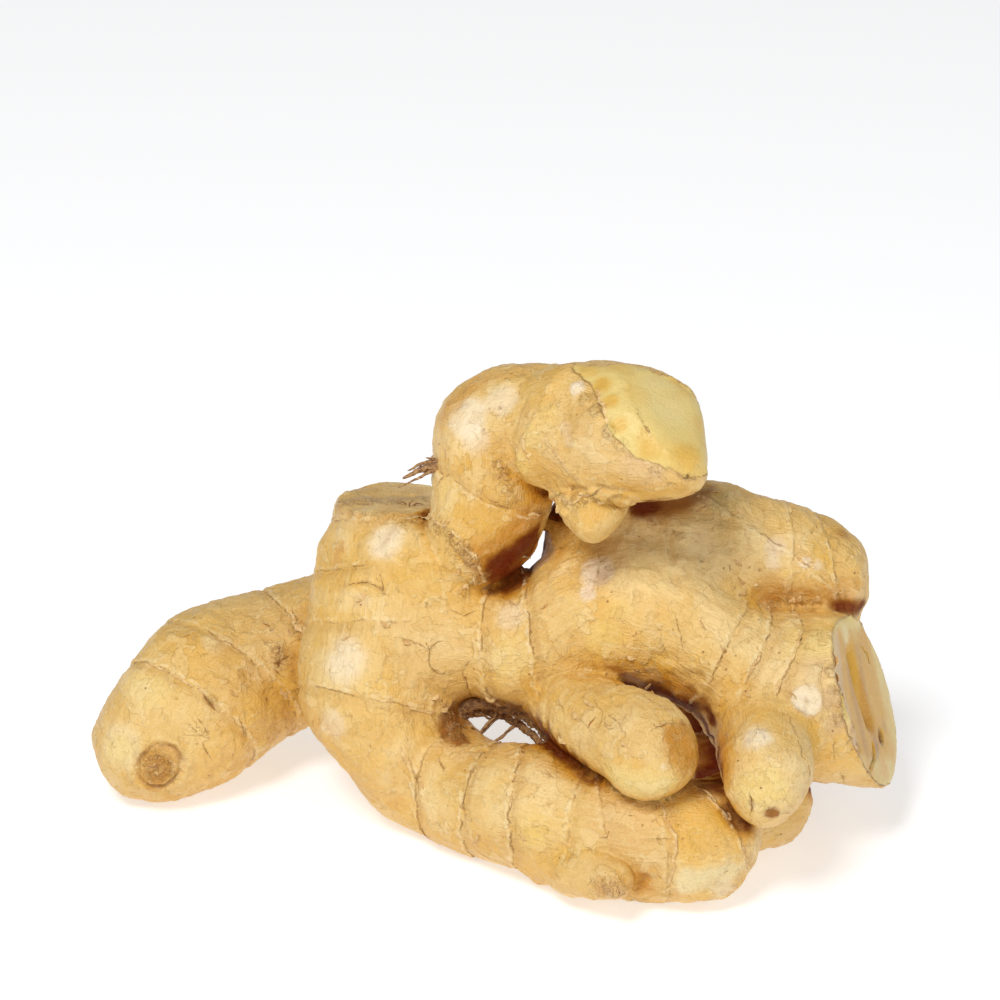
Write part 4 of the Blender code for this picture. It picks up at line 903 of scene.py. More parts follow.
    (2.8, -1.9, 82.0, 2.8, "deepgold", 0.2, 0.8),
    (5.4, -3.5, 82.7, 2.8, "deepgold", 0.2, 0.8),
    (-8.8, 0.5, 78.5, 2.8, "deepgold", 0.2, 0.8),
    (-6.2, -1.3, 79.3, 2.8, "deepgold", 0.2, 0.8),
    (-3.6, -2.2, 79.7, 2.8, "deepgold", 0.2, 0.8),
    (-1.0, -2.6, 79.9, 2.8, "deepgold", 0.2, 0.8),
    (1.6, -2.4, 79.8, 2.8, "deepgold", 0.2, 0.8),
    (4.1, -1.8, 79.5, 2.8, "deepgold", 0.2, 0.8),
    (6.7, -1.8, 79.5, 2.8, "deepgold", 0.2, 0.8),
    (-7.5, -0.9, 76.7, 2.8, "deepgold", 0.2, 0.8),
    (-4.9, -2.2, 77.2, 2.8, "deepgold", 0.2, 0.8),
    (-2.3, -2.9, 77.6, 2.8, "deepgold", 0.2, 0.8),
    (0.2, -3.0, 77.6, 2.8, "deepgold", 0.2, 0.8),
    (2.8, -2.7, 77.5, 2.8, "deepgold", 0.2, 0.8),
    (5.4, -1.8, 77.1, 2.8, "deepgold", 0.2, 0.8),
    (8.0, -0.1, 76.3, 2.8, "deepgold", 0.2, 0.8),
    (-8.9, 0.0, 73.8, 2.8, "deepgold", 0.2, 0.8),
    (-6.2, -1.9, 74.6, 2.8, "deepgold", 0.2, 0.8),
    (-3.6, -2.9, 75.1, 2.8, "deepgold", 0.2, 0.8),
    (-1.0, -3.3, 75.3, 2.8, "deepgold", 0.2, 0.8),
    (1.6, -3.3, 75.3, 2.8, "deepgold", 0.2, 0.8),
    (4.2, -2.7, 75.0, 2.8, "deepgold", 0.2, 0.8),
    (6.8, -1.4, 74.4, 2.8, "deepgold", 0.2, 0.8),
    (9.4, 0.8, 73.4, 2.8, "deepgold", 0.2, 0.8),
    (-7.6, -1.1, 71.8, 2.8, "deepgold", 0.2, 0.8),
    (-5.0, -2.6, 72.4, 2.8, "deepgold", 0.2, 0.8),
    (-2.4, -3.3, 72.8, 2.8, "deepgold", 0.2, 0.8),
    (0.2, -3.5, 72.9, 2.8, "deepgold", 0.2, 0.8),
    (2.8, -3.2, 72.7, 2.8, "deepgold", 0.2, 0.8),
    (5.4, -2.2, 72.3, 2.8, "deepgold", 0.2, 0.8),
    (8.1, -0.4, 71.5, 2.8, "deepgold", 0.2, 0.8),
    (-6.2, -1.9, 69.7, 2.8, "deepgold", 0.2, 0.8),
    (-3.6, -3.0, 70.2, 2.8, "deepgold", 0.2, 0.8),
    (-1.0, -3.4, 70.4, 2.8, "deepgold", 0.2, 0.8),
    (1.6, -3.3, 70.3, 2.8, "deepgold", 0.2, 0.8),
    (4.2, -2.6, 70.0, 2.8, "deepgold", 0.2, 0.8),
    (6.8, -1.1, 69.3, 2.8, "deepgold", 0.2, 0.8),
    (-5.0, -2.3, 67.4, 2.8, "deepgold", 0.2, 0.8),
    (-2.4, -3.0, 67.7, 2.8, "deepgold", 0.2, 0.8),
    (0.2, -3.1, 67.7, 2.8, "deepgold", 0.2, 0.8),
    (2.8, -2.6, 67.5, 2.8, "deepgold", 0.2, 0.8),
    (5.5, -1.4, 66.9, 2.8, "deepgold", 0.2, 0.8),
    (-1.0, -2.7, 65.0, 2.8, "deepgold", 0.2, 0.8),
    (1.6, -2.4, 64.9, 2.8, "deepgold", 0.2, 0.8),
    # painted shade on the upright finger's flank facing the gap: amber
    (8.6, 0.0, 73.4, 1.8, "amber", 0.4, 0.8),
    (7.8, -0.6, 72.4, 1.8, "amber", 0.4, 0.8),
    (9.3, 0.8, 71.7, 1.8, "amber", 0.4, 0.8),
    (5.8, -2.0, 71.6, 1.8, "amber", 0.4, 0.8),
    (7.2, -1.1, 71.2, 1.8, "amber", 0.4, 0.8),
    (8.6, 0.2, 70.7, 1.8, "amber", 0.4, 0.8),
    (10.0, 2.0, 69.8, 1.8, "amber", 0.4, 0.8),
    (5.0, -2.3, 70.4, 1.8, "amber", 0.4, 0.8),
    (6.4, -1.5, 70.1, 1.8, "amber", 0.4, 0.8),
    (7.9, -0.3, 69.6, 1.8, "amber", 0.4, 0.8),
    (9.3, 1.4, 68.8, 1.8, "amber", 0.4, 0.8),
    (4.4, -2.4, 69.1, 1.8, "amber", 0.4, 0.8),
    (5.8, -1.6, 68.8, 1.8, "amber", 0.4, 0.8),
    (7.2, -0.5, 68.3, 1.8, "amber", 0.4, 0.8),
    (8.6, 1.1, 67.6, 1.8, "amber", 0.4, 0.8),
    (2.2, -2.9, 68.0, 1.8, "amber", 0.4, 0.8),
    (3.6, -2.4, 67.8, 1.8, "amber", 0.4, 0.8),
    (5.0, -1.7, 67.5, 1.8, "amber", 0.4, 0.8),
    (6.5, -0.7, 67.1, 1.8, "amber", 0.4, 0.8),
    (7.9, 0.7, 66.4, 1.8, "amber", 0.4, 0.8),
    (1.6, -2.7, 66.6, 1.8, "amber", 0.4, 0.8),
    (3.0, -2.3, 66.5, 1.8, "amber", 0.4, 0.8),
    (4.4, -1.7, 66.2, 1.8, "amber", 0.4, 0.8),
    (5.8, -0.7, 65.7, 1.8, "amber", 0.4, 0.8),
    (-0.6, -2.7, 65.3, 1.8, "amber", 0.4, 0.8),
    (0.8, -2.6, 65.2, 1.8, "amber", 0.4, 0.8),
    (2.2, -2.2, 65.1, 1.8, "amber", 0.4, 0.8),
    (3.6, -1.6, 64.8, 1.8, "amber", 0.4, 0.8),
    (-2.7, -2.3, 63.8, 1.8, "amber", 0.4, 0.8),
    (-1.2, -2.4, 63.8, 1.8, "amber", 0.4, 0.8),
    (0.2, -2.3, 63.7, 1.8, "amber", 0.4, 0.8),
    (1.6, -2.0, 63.6, 1.8, "amber", 0.4, 0.8),
    (-3.4, -1.9, 62.2, 1.8, "amber", 0.4, 0.8),
    (-2.0, -2.0, 62.2, 1.8, "amber", 0.4, 0.8),
    (-0.6, -1.9, 62.2, 1.8, "amber", 0.4, 0.8),
    (0.8, -1.7, 62.1, 1.8, "amber", 0.4, 0.8),
    (-4.1, -1.3, 60.6, 1.8, "amber", 0.4, 0.8),
    (-2.7, -1.5, 60.7, 1.8, "amber", 0.4, 0.8),
    (-1.3, -1.5, 60.7, 1.8, "amber", 0.4, 0.8),
    (-3.4, -0.9, 59.1, 1.8, "amber", 0.4, 0.8),
    (-2.0, -0.9, 59.0, 1.8, "amber", 0.4, 0.8),
    (-0.6, -0.6, 58.9, 1.8, "amber", 0.4, 0.8),
    (-2.7, -0.1, 57.3, 1.8, "amber", 0.4, 0.8),
    (-1.3, 0.1, 57.2, 1.8, "amber", 0.4, 0.8),
    (-3.4, 0.8, 55.5, 1.8, "amber", 0.4, 0.8),
    (-2.0, 1.2, 55.4, 1.8, "amber", 0.4, 0.8),
    (-2.7, 2.2, 53.5, 1.8, "amber", 0.4, 0.8),
    # painted shade, deeper on the same flank: umber
    (8.7, 1.4, 67.0, 1.4, "umber", 0.65, 0.8),
    (7.2, 0.0, 66.7, 1.4, "umber", 0.65, 0.8),
    (8.2, 1.2, 66.1, 1.4, "umber", 0.65, 0.8),
    (6.7, -0.1, 65.7, 1.4, "umber", 0.65, 0.8),
    (7.7, 1.1, 65.2, 1.4, "umber", 0.65, 0.8),
    (8.7, 2.9, 64.4, 1.4, "umber", 0.65, 0.8),
    (5.2, -1.0, 65.2, 1.4, "umber", 0.65, 0.8),
    (6.2, -0.1, 64.8, 1.4, "umber", 0.65, 0.8),
    (7.2, 1.0, 64.3, 1.4, "umber", 0.65, 0.8),
    (8.2, 2.8, 63.5, 1.4, "umber", 0.65, 0.8),
    (4.7, -0.9, 64.2, 1.4, "umber", 0.65, 0.8),
    (5.7, -0.1, 63.8, 1.4, "umber", 0.65, 0.8),
    (6.7, 1.0, 63.3, 1.4, "umber", 0.65, 0.8),
    (7.7, 2.8, 62.5, 1.4, "umber", 0.65, 0.8),
    (3.2, -1.3, 63.4, 1.4, "umber", 0.65, 0.8),
    (4.2, -0.7, 63.1, 1.4, "umber", 0.65, 0.8),
    (5.2, 0.1, 62.8, 1.4, "umber", 0.65, 0.8),
    (6.2, 1.2, 62.2, 1.4, "umber", 0.65, 0.8),
    (7.2, 3.0, 61.4, 1.4, "umber", 0.65, 0.8),
    (1.6, -1.6, 62.6, 1.4, "umber", 0.65, 0.8),
    (2.6, -1.2, 62.4, 1.4, "umber", 0.65, 0.8),
    (3.7, -0.6, 62.1, 1.4, "umber", 0.65, 0.8),
    (4.7, 0.2, 61.8, 1.4, "umber", 0.65, 0.8),
    (5.7, 1.3, 61.3, 1.4, "umber", 0.65, 0.8),
    (6.7, 3.2, 60.4, 1.4, "umber", 0.65, 0.8),
    (0.2, -1.6, 61.6, 1.4, "umber", 0.65, 0.8),
    (1.2, -1.3, 61.5, 1.4, "umber", 0.65, 0.8),
    (2.2, -0.9, 61.3, 1.4, "umber", 0.65, 0.8),
    (3.2, -0.3, 61.0, 1.4, "umber", 0.65, 0.8),
    (4.2, 0.5, 60.6, 1.4, "umber", 0.65, 0.8),
    (5.2, 1.7, 60.1, 1.4, "umber", 0.65, 0.8),
    (-0.4, -1.3, 60.5, 1.4, "umber", 0.65, 0.8),
    (0.6, -1.0, 60.4, 1.4, "umber", 0.65, 0.8),
    (1.6, -0.6, 60.2, 1.4, "umber", 0.65, 0.8),
    (2.7, 0.0, 59.9, 1.4, "umber", 0.65, 0.8),
    (3.7, 0.8, 59.5, 1.4, "umber", 0.65, 0.8),
    (4.7, 2.1, 59.0, 1.4, "umber", 0.65, 0.8),
    (-0.9, -0.9, 59.3, 1.4, "umber", 0.65, 0.8),
    (0.2, -0.6, 59.2, 1.4, "umber", 0.65, 0.8),
    (1.2, -0.2, 59.0, 1.4, "umber", 0.65, 0.8),
    (2.2, 0.4, 58.8, 1.4, "umber", 0.65, 0.8),
    (3.2, 1.3, 58.3, 1.4, "umber", 0.65, 0.8),
    (4.2, 2.9, 57.6, 1.4, "umber", 0.65, 0.8),
    (-0.4, -0.1, 58.1, 1.4, "umber", 0.65, 0.8),
    (0.6, 0.3, 57.8, 1.4, "umber", 0.65, 0.8),
    (1.6, 1.0, 57.5, 1.4, "umber", 0.65, 0.8),
    (2.7, 2.0, 57.0, 1.4, "umber", 0.65, 0.8),
    (-0.9, 0.4, 56.8, 1.4, "umber", 0.65, 0.8),
    (0.1, 0.9, 56.6, 1.4, "umber", 0.65, 0.8),
    (1.2, 1.7, 56.2, 1.4, "umber", 0.65, 0.8),
    (2.2, 3.0, 55.6, 1.4, "umber", 0.65, 0.8),
    (-0.4, 1.9, 55.1, 1.4, "umber", 0.65, 0.8),
    (0.6, 3.0, 54.7, 1.4, "umber", 0.65, 0.8),
    # painted shade under the front of the middle joint: amber
    (24.8, -10.8, 41.3, 1.6, "amber", 0.3, 0.8),
    (26.0, -11.2, 41.5, 1.6, "amber", 0.3, 0.8),
    (25.5, -10.5, 40.0, 1.6, "amber", 0.3, 0.8),
    (26.6, -10.7, 40.1, 1.6, "amber", 0.3, 0.8),
    (27.8, -11.2, 40.3, 1.6, "amber", 0.3, 0.8),
    (29.0, -11.7, 40.6, 1.6, "amber", 0.3, 0.8),
    (30.2, -12.3, 40.9, 1.6, "amber", 0.3, 0.8),
    (31.4, -12.8, 41.2, 1.6, "amber", 0.3, 0.8),
    (32.6, -13.4, 41.4, 1.6, "amber", 0.3, 0.8),
    (27.3, -10.0, 38.6, 1.6, "amber", 0.3, 0.8),
    (28.5, -10.6, 38.9, 1.6, "amber", 0.3, 0.8),
    (29.7, -11.2, 39.2, 1.6, "amber", 0.3, 0.8),
    (30.8, -11.9, 39.5, 1.6, "amber", 0.3, 0.8),
    (32.0, -12.6, 39.9, 1.6, "amber", 0.3, 0.8),
    (33.2, -13.2, 40.2, 1.6, "amber", 0.3, 0.8),
    (34.4, -13.9, 40.5, 1.6, "amber", 0.3, 0.8),
    (35.5, -14.4, 40.8, 1.6, "amber", 0.3, 0.8),
    (33.8, -12.9, 38.8, 1.6, "amber", 0.3, 0.8),
    (35.0, -13.6, 39.2, 1.6, "amber", 0.3, 0.8),
    (36.2, -14.4, 39.6, 1.6, "amber", 0.3, 0.8),
    (37.3, -15.0, 39.9, 1.6, "amber", 0.3, 0.8),
    (35.6, -13.3, 37.9, 1.6, "amber", 0.3, 0.8),
    (36.8, -14.2, 38.3, 1.6, "amber", 0.3, 0.8),
    (38.0, -15.0, 38.8, 1.6, "amber", 0.3, 0.8),
    (39.1, -15.7, 39.1, 1.6, "amber", 0.3, 0.8),
    (37.4, -14.0, 37.1, 1.6, "amber", 0.3, 0.8),
    (38.6, -14.9, 37.5, 1.6, "amber", 0.3, 0.8),
    (39.7, -15.8, 38.0, 1.6, "amber", 0.3, 0.8),
    (39.2, -14.8, 36.3, 1.6, "amber", 0.3, 0.8),
    (40.4, -15.8, 36.8, 1.6, "amber", 0.3, 0.8),
    # painted shade in the folds under the middle joint, by the heel and beside the bud: umber
    (30.7, -10.6, 37.7, 1.4, "umber", 0.65, 0.8),
    (31.6, -11.4, 38.1, 1.4, "umber", 0.65, 0.8),
    (32.6, -12.1, 38.4, 1.4, "umber", 0.65, 0.8),
    (31.2, -9.5, 36.1, 1.4, "umber", 0.65, 0.8),
    (32.2, -10.5, 36.7, 1.4, "umber", 0.65, 0.8),
    (33.2, -11.4, 37.1, 1.4, "umber", 0.65, 0.8),
    (34.1, -12.3, 37.5, 1.4, "umber", 0.65, 0.8),
    (32.8, -8.4, 34.6, 1.4, "umber", 0.65, 0.8),
    (33.7, -10.2, 35.5, 1.4, "umber", 0.65, 0.8),
    (34.7, -11.5, 36.2, 1.4, "umber", 0.65, 0.8),
    (35.6, -12.6, 36.7, 1.4, "umber", 0.65, 0.8),
    (34.8, 2.2, 28.3, 1.4, "umber", 0.65, 0.8),
    (35.3, -9.9, 34.4, 1.4, "umber", 0.65, 0.8),
    (36.2, -11.8, 35.4, 1.4, "umber", 0.65, 0.8),
    (37.1, -13.1, 36.0, 1.4, "umber", 0.65, 0.8),
    (38.1, -14.1, 36.5, 1.4, "umber", 0.65, 0.8),
    (36.4, 2.4, 27.2, 1.4, "umber", 0.65, 0.8),
    (36.8, -10.5, 33.7, 1.4, "umber", 0.65, 0.8),
    (37.7, -12.5, 34.8, 1.4, "umber", 0.65, 0.8),
    (38.6, -13.9, 35.4, 1.4, "umber", 0.65, 0.8),
    (39.6, -14.9, 35.9, 1.4, "umber", 0.65, 0.8),
    (38.0, 2.7, 26.0, 1.4, "umber", 0.65, 0.8),
    (38.3, -11.7, 33.4, 1.4, "umber", 0.65, 0.8),
    (39.2, -13.5, 34.2, 1.4, "umber", 0.65, 0.8),
    (40.1, -14.7, 34.9, 1.4, "umber", 0.65, 0.8),
    (39.5, 3.1, 24.8, 1.4, "umber", 0.65, 0.8),
    (39.7, -13.0, 33.0, 1.4, "umber", 0.65, 0.8),
    (40.6, -14.4, 33.8, 1.4, "umber", 0.65, 0.8),
    (40.1, 3.4, 23.6, 1.4, "umber", 0.65, 0.8),
    (40.3, -12.2, 31.6, 1.4, "umber", 0.65, 0.8),
    (41.2, -14.3, 32.7, 1.4, "umber", 0.65, 0.8),
    (40.6, 3.8, 22.5, 1.4, "umber", 0.65, 0.8),
    (41.7, 4.0, 22.4, 1.4, "umber", 0.65, 0.8),
    (41.7, -14.1, 31.6, 1.4, "umber", 0.65, 0.8),
    (41.2, 4.1, 21.3, 1.4, "umber", 0.65, 0.8),
    (42.3, 4.3, 21.2, 1.4, "umber", 0.65, 0.8),
    (42.2, -14.0, 30.6, 1.4, "umber", 0.65, 0.8),
    (41.7, 4.4, 20.1, 1.4, "umber", 0.65, 0.8),
    (42.8, 4.6, 20.0, 1.4, "umber", 0.65, 0.8),
    (42.7, -14.1, 29.7, 1.4, "umber", 0.65, 0.8),
    (42.3, 4.7, 19.0, 1.4, "umber", 0.65, 0.8),
    (43.4, 4.9, 18.9, 1.4, "umber", 0.65, 0.8),
    (43.3, -14.4, 28.8, 1.4, "umber", 0.65, 0.8),
    (42.9, 4.9, 17.8, 1.4, "umber", 0.65, 0.8),
    (43.9, 5.1, 17.7, 1.4, "umber", 0.65, 0.8),
    (43.8, -14.7, 28.0, 1.4, "umber", 0.65, 0.8),
    (42.4, 5.0, 16.8, 1.5, "umber", 0.65, 0.8),
    (43.4, 5.2, 16.7, 1.5, "umber", 0.65, 0.8),
    (44.5, 5.4, 16.6, 1.5, "umber", 0.65, 0.8),
    (44.3, -15.1, 27.2, 1.4, "umber", 0.65, 0.8),
    (42.9, 5.2, 15.6, 1.5, "umber", 0.65, 0.8),
    (44.0, 5.4, 15.5, 1.5, "umber", 0.65, 0.8),
    (45.0, 5.7, 15.4, 1.5, "umber", 0.65, 0.8),
    (46.1, 6.0, 15.2, 1.5, "umber", 0.65, 0.8),
    (43.5, 5.5, 14.5, 1.5, "umber", 0.65, 0.8),
    (44.5, 5.7, 14.4, 1.5, "umber", 0.65, 0.8),
    (45.6, 5.9, 14.3, 1.5, "umber", 0.65, 0.8),
    (44.6, -26.6, 31.2, 1.4, "umber", 0.65, 0.8),
    (43.0, 5.6, 13.4, 1.5, "umber", 0.65, 0.8),
    (44.0, 5.7, 13.4, 1.5, "umber", 0.65, 0.8),
    (45.1, 5.9, 13.3, 1.5, "umber", 0.65, 0.8),
    (46.1, 6.2, 13.1, 1.5, "umber", 0.65, 0.8),
    (43.5, 5.8, 12.3, 1.5, "umber", 0.65, 0.8),
    (44.6, 5.9, 12.2, 1.5, "umber", 0.65, 0.8),
    (45.6, 6.1, 12.1, 1.5, "umber", 0.65, 0.8),
    (44.7, -26.8, 29.4, 1.4, "umber", 0.65, 0.8),
    (43.0, 6.0, 11.2, 1.5, "umber", 0.65, 0.8),
    (44.1, 6.0, 11.1, 1.5, "umber", 0.65, 0.8),
    (45.1, 6.2, 11.1, 1.5, "umber", 0.65, 0.8),
    (46.2, 6.4, 11.0, 1.5, "umber", 0.65, 0.8),
    (44.9, -30.6, 30.4, 1.4, "umber", 0.65, 0.8),
    (42.6, 6.3, 10.0, 1.5, "umber", 0.65, 0.8),
    (43.6, 6.2, 10.0, 1.5, "umber", 0.65, 0.8),
    (44.7, 6.3, 10.0, 1.5, "umber", 0.65, 0.8),
    (45.7, 6.4, 9.9, 1.5, "umber", 0.65, 0.8),
    (46.8, 6.7, 9.8, 1.5, "umber", 0.65, 0.8),
    (45.3, -33.1, 30.8, 1.4, "umber", 0.65, 0.8),
    (43.1, 6.5, 8.9, 1.5, "umber", 0.65, 0.8),
    (44.1, 6.4, 8.9, 1.5, "umber", 0.65, 0.8),
    (45.2, 6.5, 8.9, 1.5, "umber", 0.65, 0.8),
    (46.2, 6.7, 8.8, 1.5, "umber", 0.65, 0.8),
    (47.3, 7.0, 8.6, 1.5, "umber", 0.65, 0.8),
    (42.6, 6.8, 7.6, 1.5, "umber", 0.65, 0.8),
    (43.7, 6.7, 7.7, 1.5, "umber", 0.65, 0.8),
    (44.7, 6.8, 7.7, 1.5, "umber", 0.65, 0.8),
    (44.2, -19.3, 21.5, 1.4, "umber", 0.65, 0.8),
    (45.2, -20.1, 22.0, 1.4, "umber", 0.65, 0.8),
    (45.3, -33.2, 28.9, 1.4, "umber", 0.65, 0.8),
    (41.3, -26.7, 24.5, 1.4, "umber", 0.65, 0.8),
    (42.3, -25.8, 24.0, 1.4, "umber", 0.65, 0.8),
    (43.4, -24.2, 23.2, 1.4, "umber", 0.65, 0.8),
    (44.5, -23.4, 22.7, 1.4, "umber", 0.65, 0.8),
    (45.5, -22.9, 22.5, 1.4, "umber", 0.65, 0.8),
    (41.6, -29.6, 25.1, 1.4, "umber", 0.65, 0.8),
    (42.6, -29.3, 24.9, 1.4, "umber", 0.65, 0.8),
    (43.7, -28.7, 24.6, 1.4, "umber", 0.65, 0.8),
    (44.7, -27.9, 24.1, 1.4, "umber", 0.65, 0.8),
    (45.8, -26.2, 23.2, 1.4, "umber", 0.65, 0.8),
    (42.0, -31.4, 25.0, 1.4, "umber", 0.65, 0.8),
    (43.0, -31.1, 24.9, 1.4, "umber", 0.65, 0.8),
    (44.1, -30.6, 24.6, 1.4, "umber", 0.65, 0.8),
    (45.1, -30.1, 24.3, 1.4, "umber", 0.65, 0.8),
    (44.5, -32.0, 24.4, 1.4, "umber", 0.65, 0.8),
    (-5.8, 4.4, 27.0, 1.4, "brown", 0.45, 0.8),
    (-8.3, -0.1, 28.2, 1.4, "brown", 0.45, 0.8),
    (-7.3, 1.6, 27.4, 1.4, "brown", 0.45, 0.8),
    (-6.3, 4.8, 25.7, 1.4, "brown", 0.45, 0.8),
    (-9.8, -2.1, 28.2, 1.4, "brown", 0.45, 0.8),
    (-8.8, -0.9, 27.6, 1.4, "brown", 0.45, 0.8),
    (-7.8, 0.7, 26.8, 1.4, "brown", 0.45, 0.8),
    (-6.8, 3.1, 25.6, 1.4, "brown", 0.45, 0.8),
    (-10.3, -3.0, 27.7, 1.4, "brown", 0.45, 0.8),
    (-9.3, -1.8, 27.1, 1.4, "brown", 0.45, 0.8),
    (-8.3, -0.4, 26.4, 1.4, "brown", 0.45, 0.8),
    (-7.3, 1.5, 25.4, 1.4, "brown", 0.45, 0.8),
    (-9.8, -2.8, 26.6, 1.4, "brown", 0.45, 0.8),
    (-8.8, -1.6, 26.0, 1.4, "brown", 0.45, 0.8),
    (-7.8, -0.1, 25.2, 1.4, "brown", 0.45, 0.8),
    (-6.8, 2.0, 24.2, 1.4, "brown", 0.45, 0.8),
    (-10.3, -3.8, 26.1, 1.4, "brown", 0.45, 0.8),
    (-9.3, -2.7, 25.6, 1.4, "brown", 0.45, 0.8),
    (-8.3, -1.5, 24.9, 1.4, "brown", 0.45, 0.8),
    (-7.3, -0.2, 24.3, 1.4, "brown", 0.45, 0.8),
    (-10.8, -4.7, 25.6, 1.4, "brown", 0.45, 0.8),
    (-9.8, -3.8, 25.1, 1.4, "brown", 0.45, 0.8),
    (-8.8, -3.0, 24.7, 1.4, "brown", 0.45, 0.8),
    (-7.8, -2.1, 24.3, 1.4, "brown", 0.45, 0.8),
    (-6.8, -1.1, 23.7, 1.4, "brown", 0.45, 0.8),
    (-10.3, -4.9, 24.7, 1.4, "brown", 0.45, 0.8),
    (-9.3, -4.3, 24.4, 1.4, "brown", 0.45, 0.8),
    (-8.2, -3.8, 24.1, 1.4, "brown", 0.45, 0.8),
    (-7.2, -3.2, 23.8, 1.4, "brown", 0.45, 0.8),
    (-9.8, -5.6, 24.1, 1.4, "brown", 0.45, 0.8),
    (-8.8, -5.3, 23.9, 1.4, "brown", 0.45, 0.8),
    (-7.7, -4.9, 23.7, 1.4, "brown", 0.45, 0.8),
    (-6.7, -4.6, 23.5, 1.4, "brown", 0.45, 0.8),
    (-9.2, -6.6, 23.6, 1.4, "brown", 0.45, 0.8),
    (-8.2, -6.5, 23.5, 1.4, "brown", 0.45, 0.8),
    (-7.2, -6.4, 23.5, 1.4, "brown", 0.45, 0.8),
    (-8.7, -7.8, 23.2, 1.4, "brown", 0.45, 0.8),
    (-7.7, -7.9, 23.3, 1.4, "brown", 0.45, 0.8),
    (-6.7, -8.1, 23.4, 1.4, "brown", 0.45, 0.8),
    # painted shade in the fold under the short front finger: umber
    (-2.4, -0.8, 30.3, 1.4, "umber", 0.5, 0.8),
    (-1.4, -2.5, 31.1, 1.4, "umber", 0.5, 0.8),
    (-0.9, 0.2, 28.8, 1.4, "umber", 0.5, 0.8),
    (0.1, -2.0, 29.9, 1.4, "umber", 0.5, 0.8),
    (1.2, -2.9, 30.3, 1.4, "umber", 0.5, 0.8),
    (2.2, -3.8, 30.8, 1.4, "umber", 0.5, 0.8),
    (2.7, -1.3, 28.5, 1.4, "umber", 0.5, 0.8),
    (3.7, -2.7, 29.2, 1.4, "umber", 0.5, 0.8),
    (4.7, -3.6, 29.7, 1.4, "umber", 0.5, 0.8),
    (5.2, -1.7, 27.7, 1.4, "umber", 0.5, 0.8),
    (6.3, -4.3, 29.0, 1.4, "umber", 0.5, 0.8),
    (6.8, -3.3, 27.6, 1.4, "umber", 0.5, 0.8),
    (7.7, -7.1, 29.5, 1.4, "umber", 0.5, 0.8),
    (8.3, -8.1, 29.0, 1.4, "umber", 0.5, 0.8),
    (9.2, -11.8, 30.9, 1.4, "umber", 0.5, 0.8),
    (8.7, -8.6, 28.3, 1.4, "umber", 0.5, 0.8),
    (9.7, -13.1, 30.6, 1.4, "umber", 0.5, 0.8),
    (9.3, -8.1, 27.0, 1.4, "umber", 0.5, 0.8),
    (10.2, -14.0, 30.1, 1.4, "umber", 0.5, 0.8),
    (11.2, -17.1, 31.7, 1.4, "umber", 0.5, 0.8),
    (10.7, -14.9, 29.6, 1.4, "umber", 0.5, 0.8),
    (11.7, -18.0, 31.2, 1.4, "umber", 0.5, 0.8),
    (11.2, -15.3, 28.8, 1.4, "umber", 0.5, 0.8),
    (12.2, -18.9, 30.6, 1.4, "umber", 0.5, 0.8),
    (11.7, -15.1, 27.7, 1.4, "umber", 0.5, 0.8),
    (12.7, -19.4, 29.9, 1.4, "umber", 0.5, 0.8),
    (13.6, -22.0, 31.3, 1.4, "umber", 0.5, 0.8),
    (12.2, -15.7, 27.0, 1.4, "umber", 0.5, 0.8),
    (13.2, -19.6, 29.1, 1.4, "umber", 0.5, 0.8),
    (14.1, -22.7, 30.6, 1.4, "umber", 0.5, 0.8),
    (11.7, -17.0, 26.7, 1.4, "umber", 0.5, 0.8),
    (12.7, -17.6, 27.0, 1.4, "umber", 0.5, 0.8),
    (13.7, -19.6, 28.1, 1.4, "umber", 0.5, 0.8),
    (14.6, -22.9, 29.8, 1.4, "umber", 0.5, 0.8),
    (12.2, -19.4, 27.0, 1.4, "umber", 0.5, 0.8),
    (13.2, -19.5, 27.0, 1.4, "umber", 0.5, 0.8),
    (14.2, -20.4, 27.5, 1.4, "umber", 0.5, 0.8),
    (15.1, -22.9, 28.8, 1.4, "umber", 0.5, 0.8),
    (16.1, -25.7, 30.3, 1.4, "umber", 0.5, 0.8),
    (13.6, -21.2, 26.9, 1.4, "umber", 0.5, 0.8),
    (14.6, -21.5, 27.1, 1.4, "umber", 0.5, 0.8),
    (15.6, -22.6, 27.7, 1.4, "umber", 0.5, 0.8),
    (16.6, -25.7, 29.3, 1.4, "umber", 0.5, 0.8),
    (15.1, -22.8, 26.8, 1.4, "umber", 0.5, 0.8),
    (16.1, -23.3, 27.0, 1.4, "umber", 0.5, 0.8),
    (17.1, -24.9, 27.9, 1.4, "umber", 0.5, 0.8),
    (18.0, -28.4, 29.8, 1.4, "umber", 0.5, 0.8),
    (16.6, -24.3, 26.6, 1.4, "umber", 0.5, 0.8),
    (17.6, -24.9, 26.9, 1.4, "umber", 0.5, 0.8),
    (18.5, -27.6, 28.4, 1.4, "umber", 0.5, 0.8),
    (17.1, -25.5, 26.2, 1.4, "umber", 0.5, 0.8),
    (18.1, -25.7, 26.3, 1.4, "umber", 0.5, 0.8),
    # painted shade along the same fold on the lower finger, fainter: ochre
    (-10.6, -8.7, 22.7, 1.6, "ochre", 0.2, 0.8),
    (-9.2, -8.9, 22.8, 1.6, "ochre", 0.2, 0.8),
    (-8.5, -10.8, 22.5, 1.6, "ochre", 0.2, 0.8),
    (-7.1, -11.4, 22.8, 1.6, "ochre", 0.2, 0.8),
    (-5.6, -12.2, 23.2, 1.6, "ochre", 0.2, 0.8),
    (-4.2, -13.3, 23.7, 1.6, "ochre", 0.2, 0.8),
    (-2.8, -14.4, 24.3, 1.6, "ochre", 0.2, 0.8),
    (-1.4, -15.6, 24.9, 1.6, "ochre", 0.2, 0.8),
    (0.0, -16.6, 25.5, 1.6, "ochre", 0.2, 0.8),
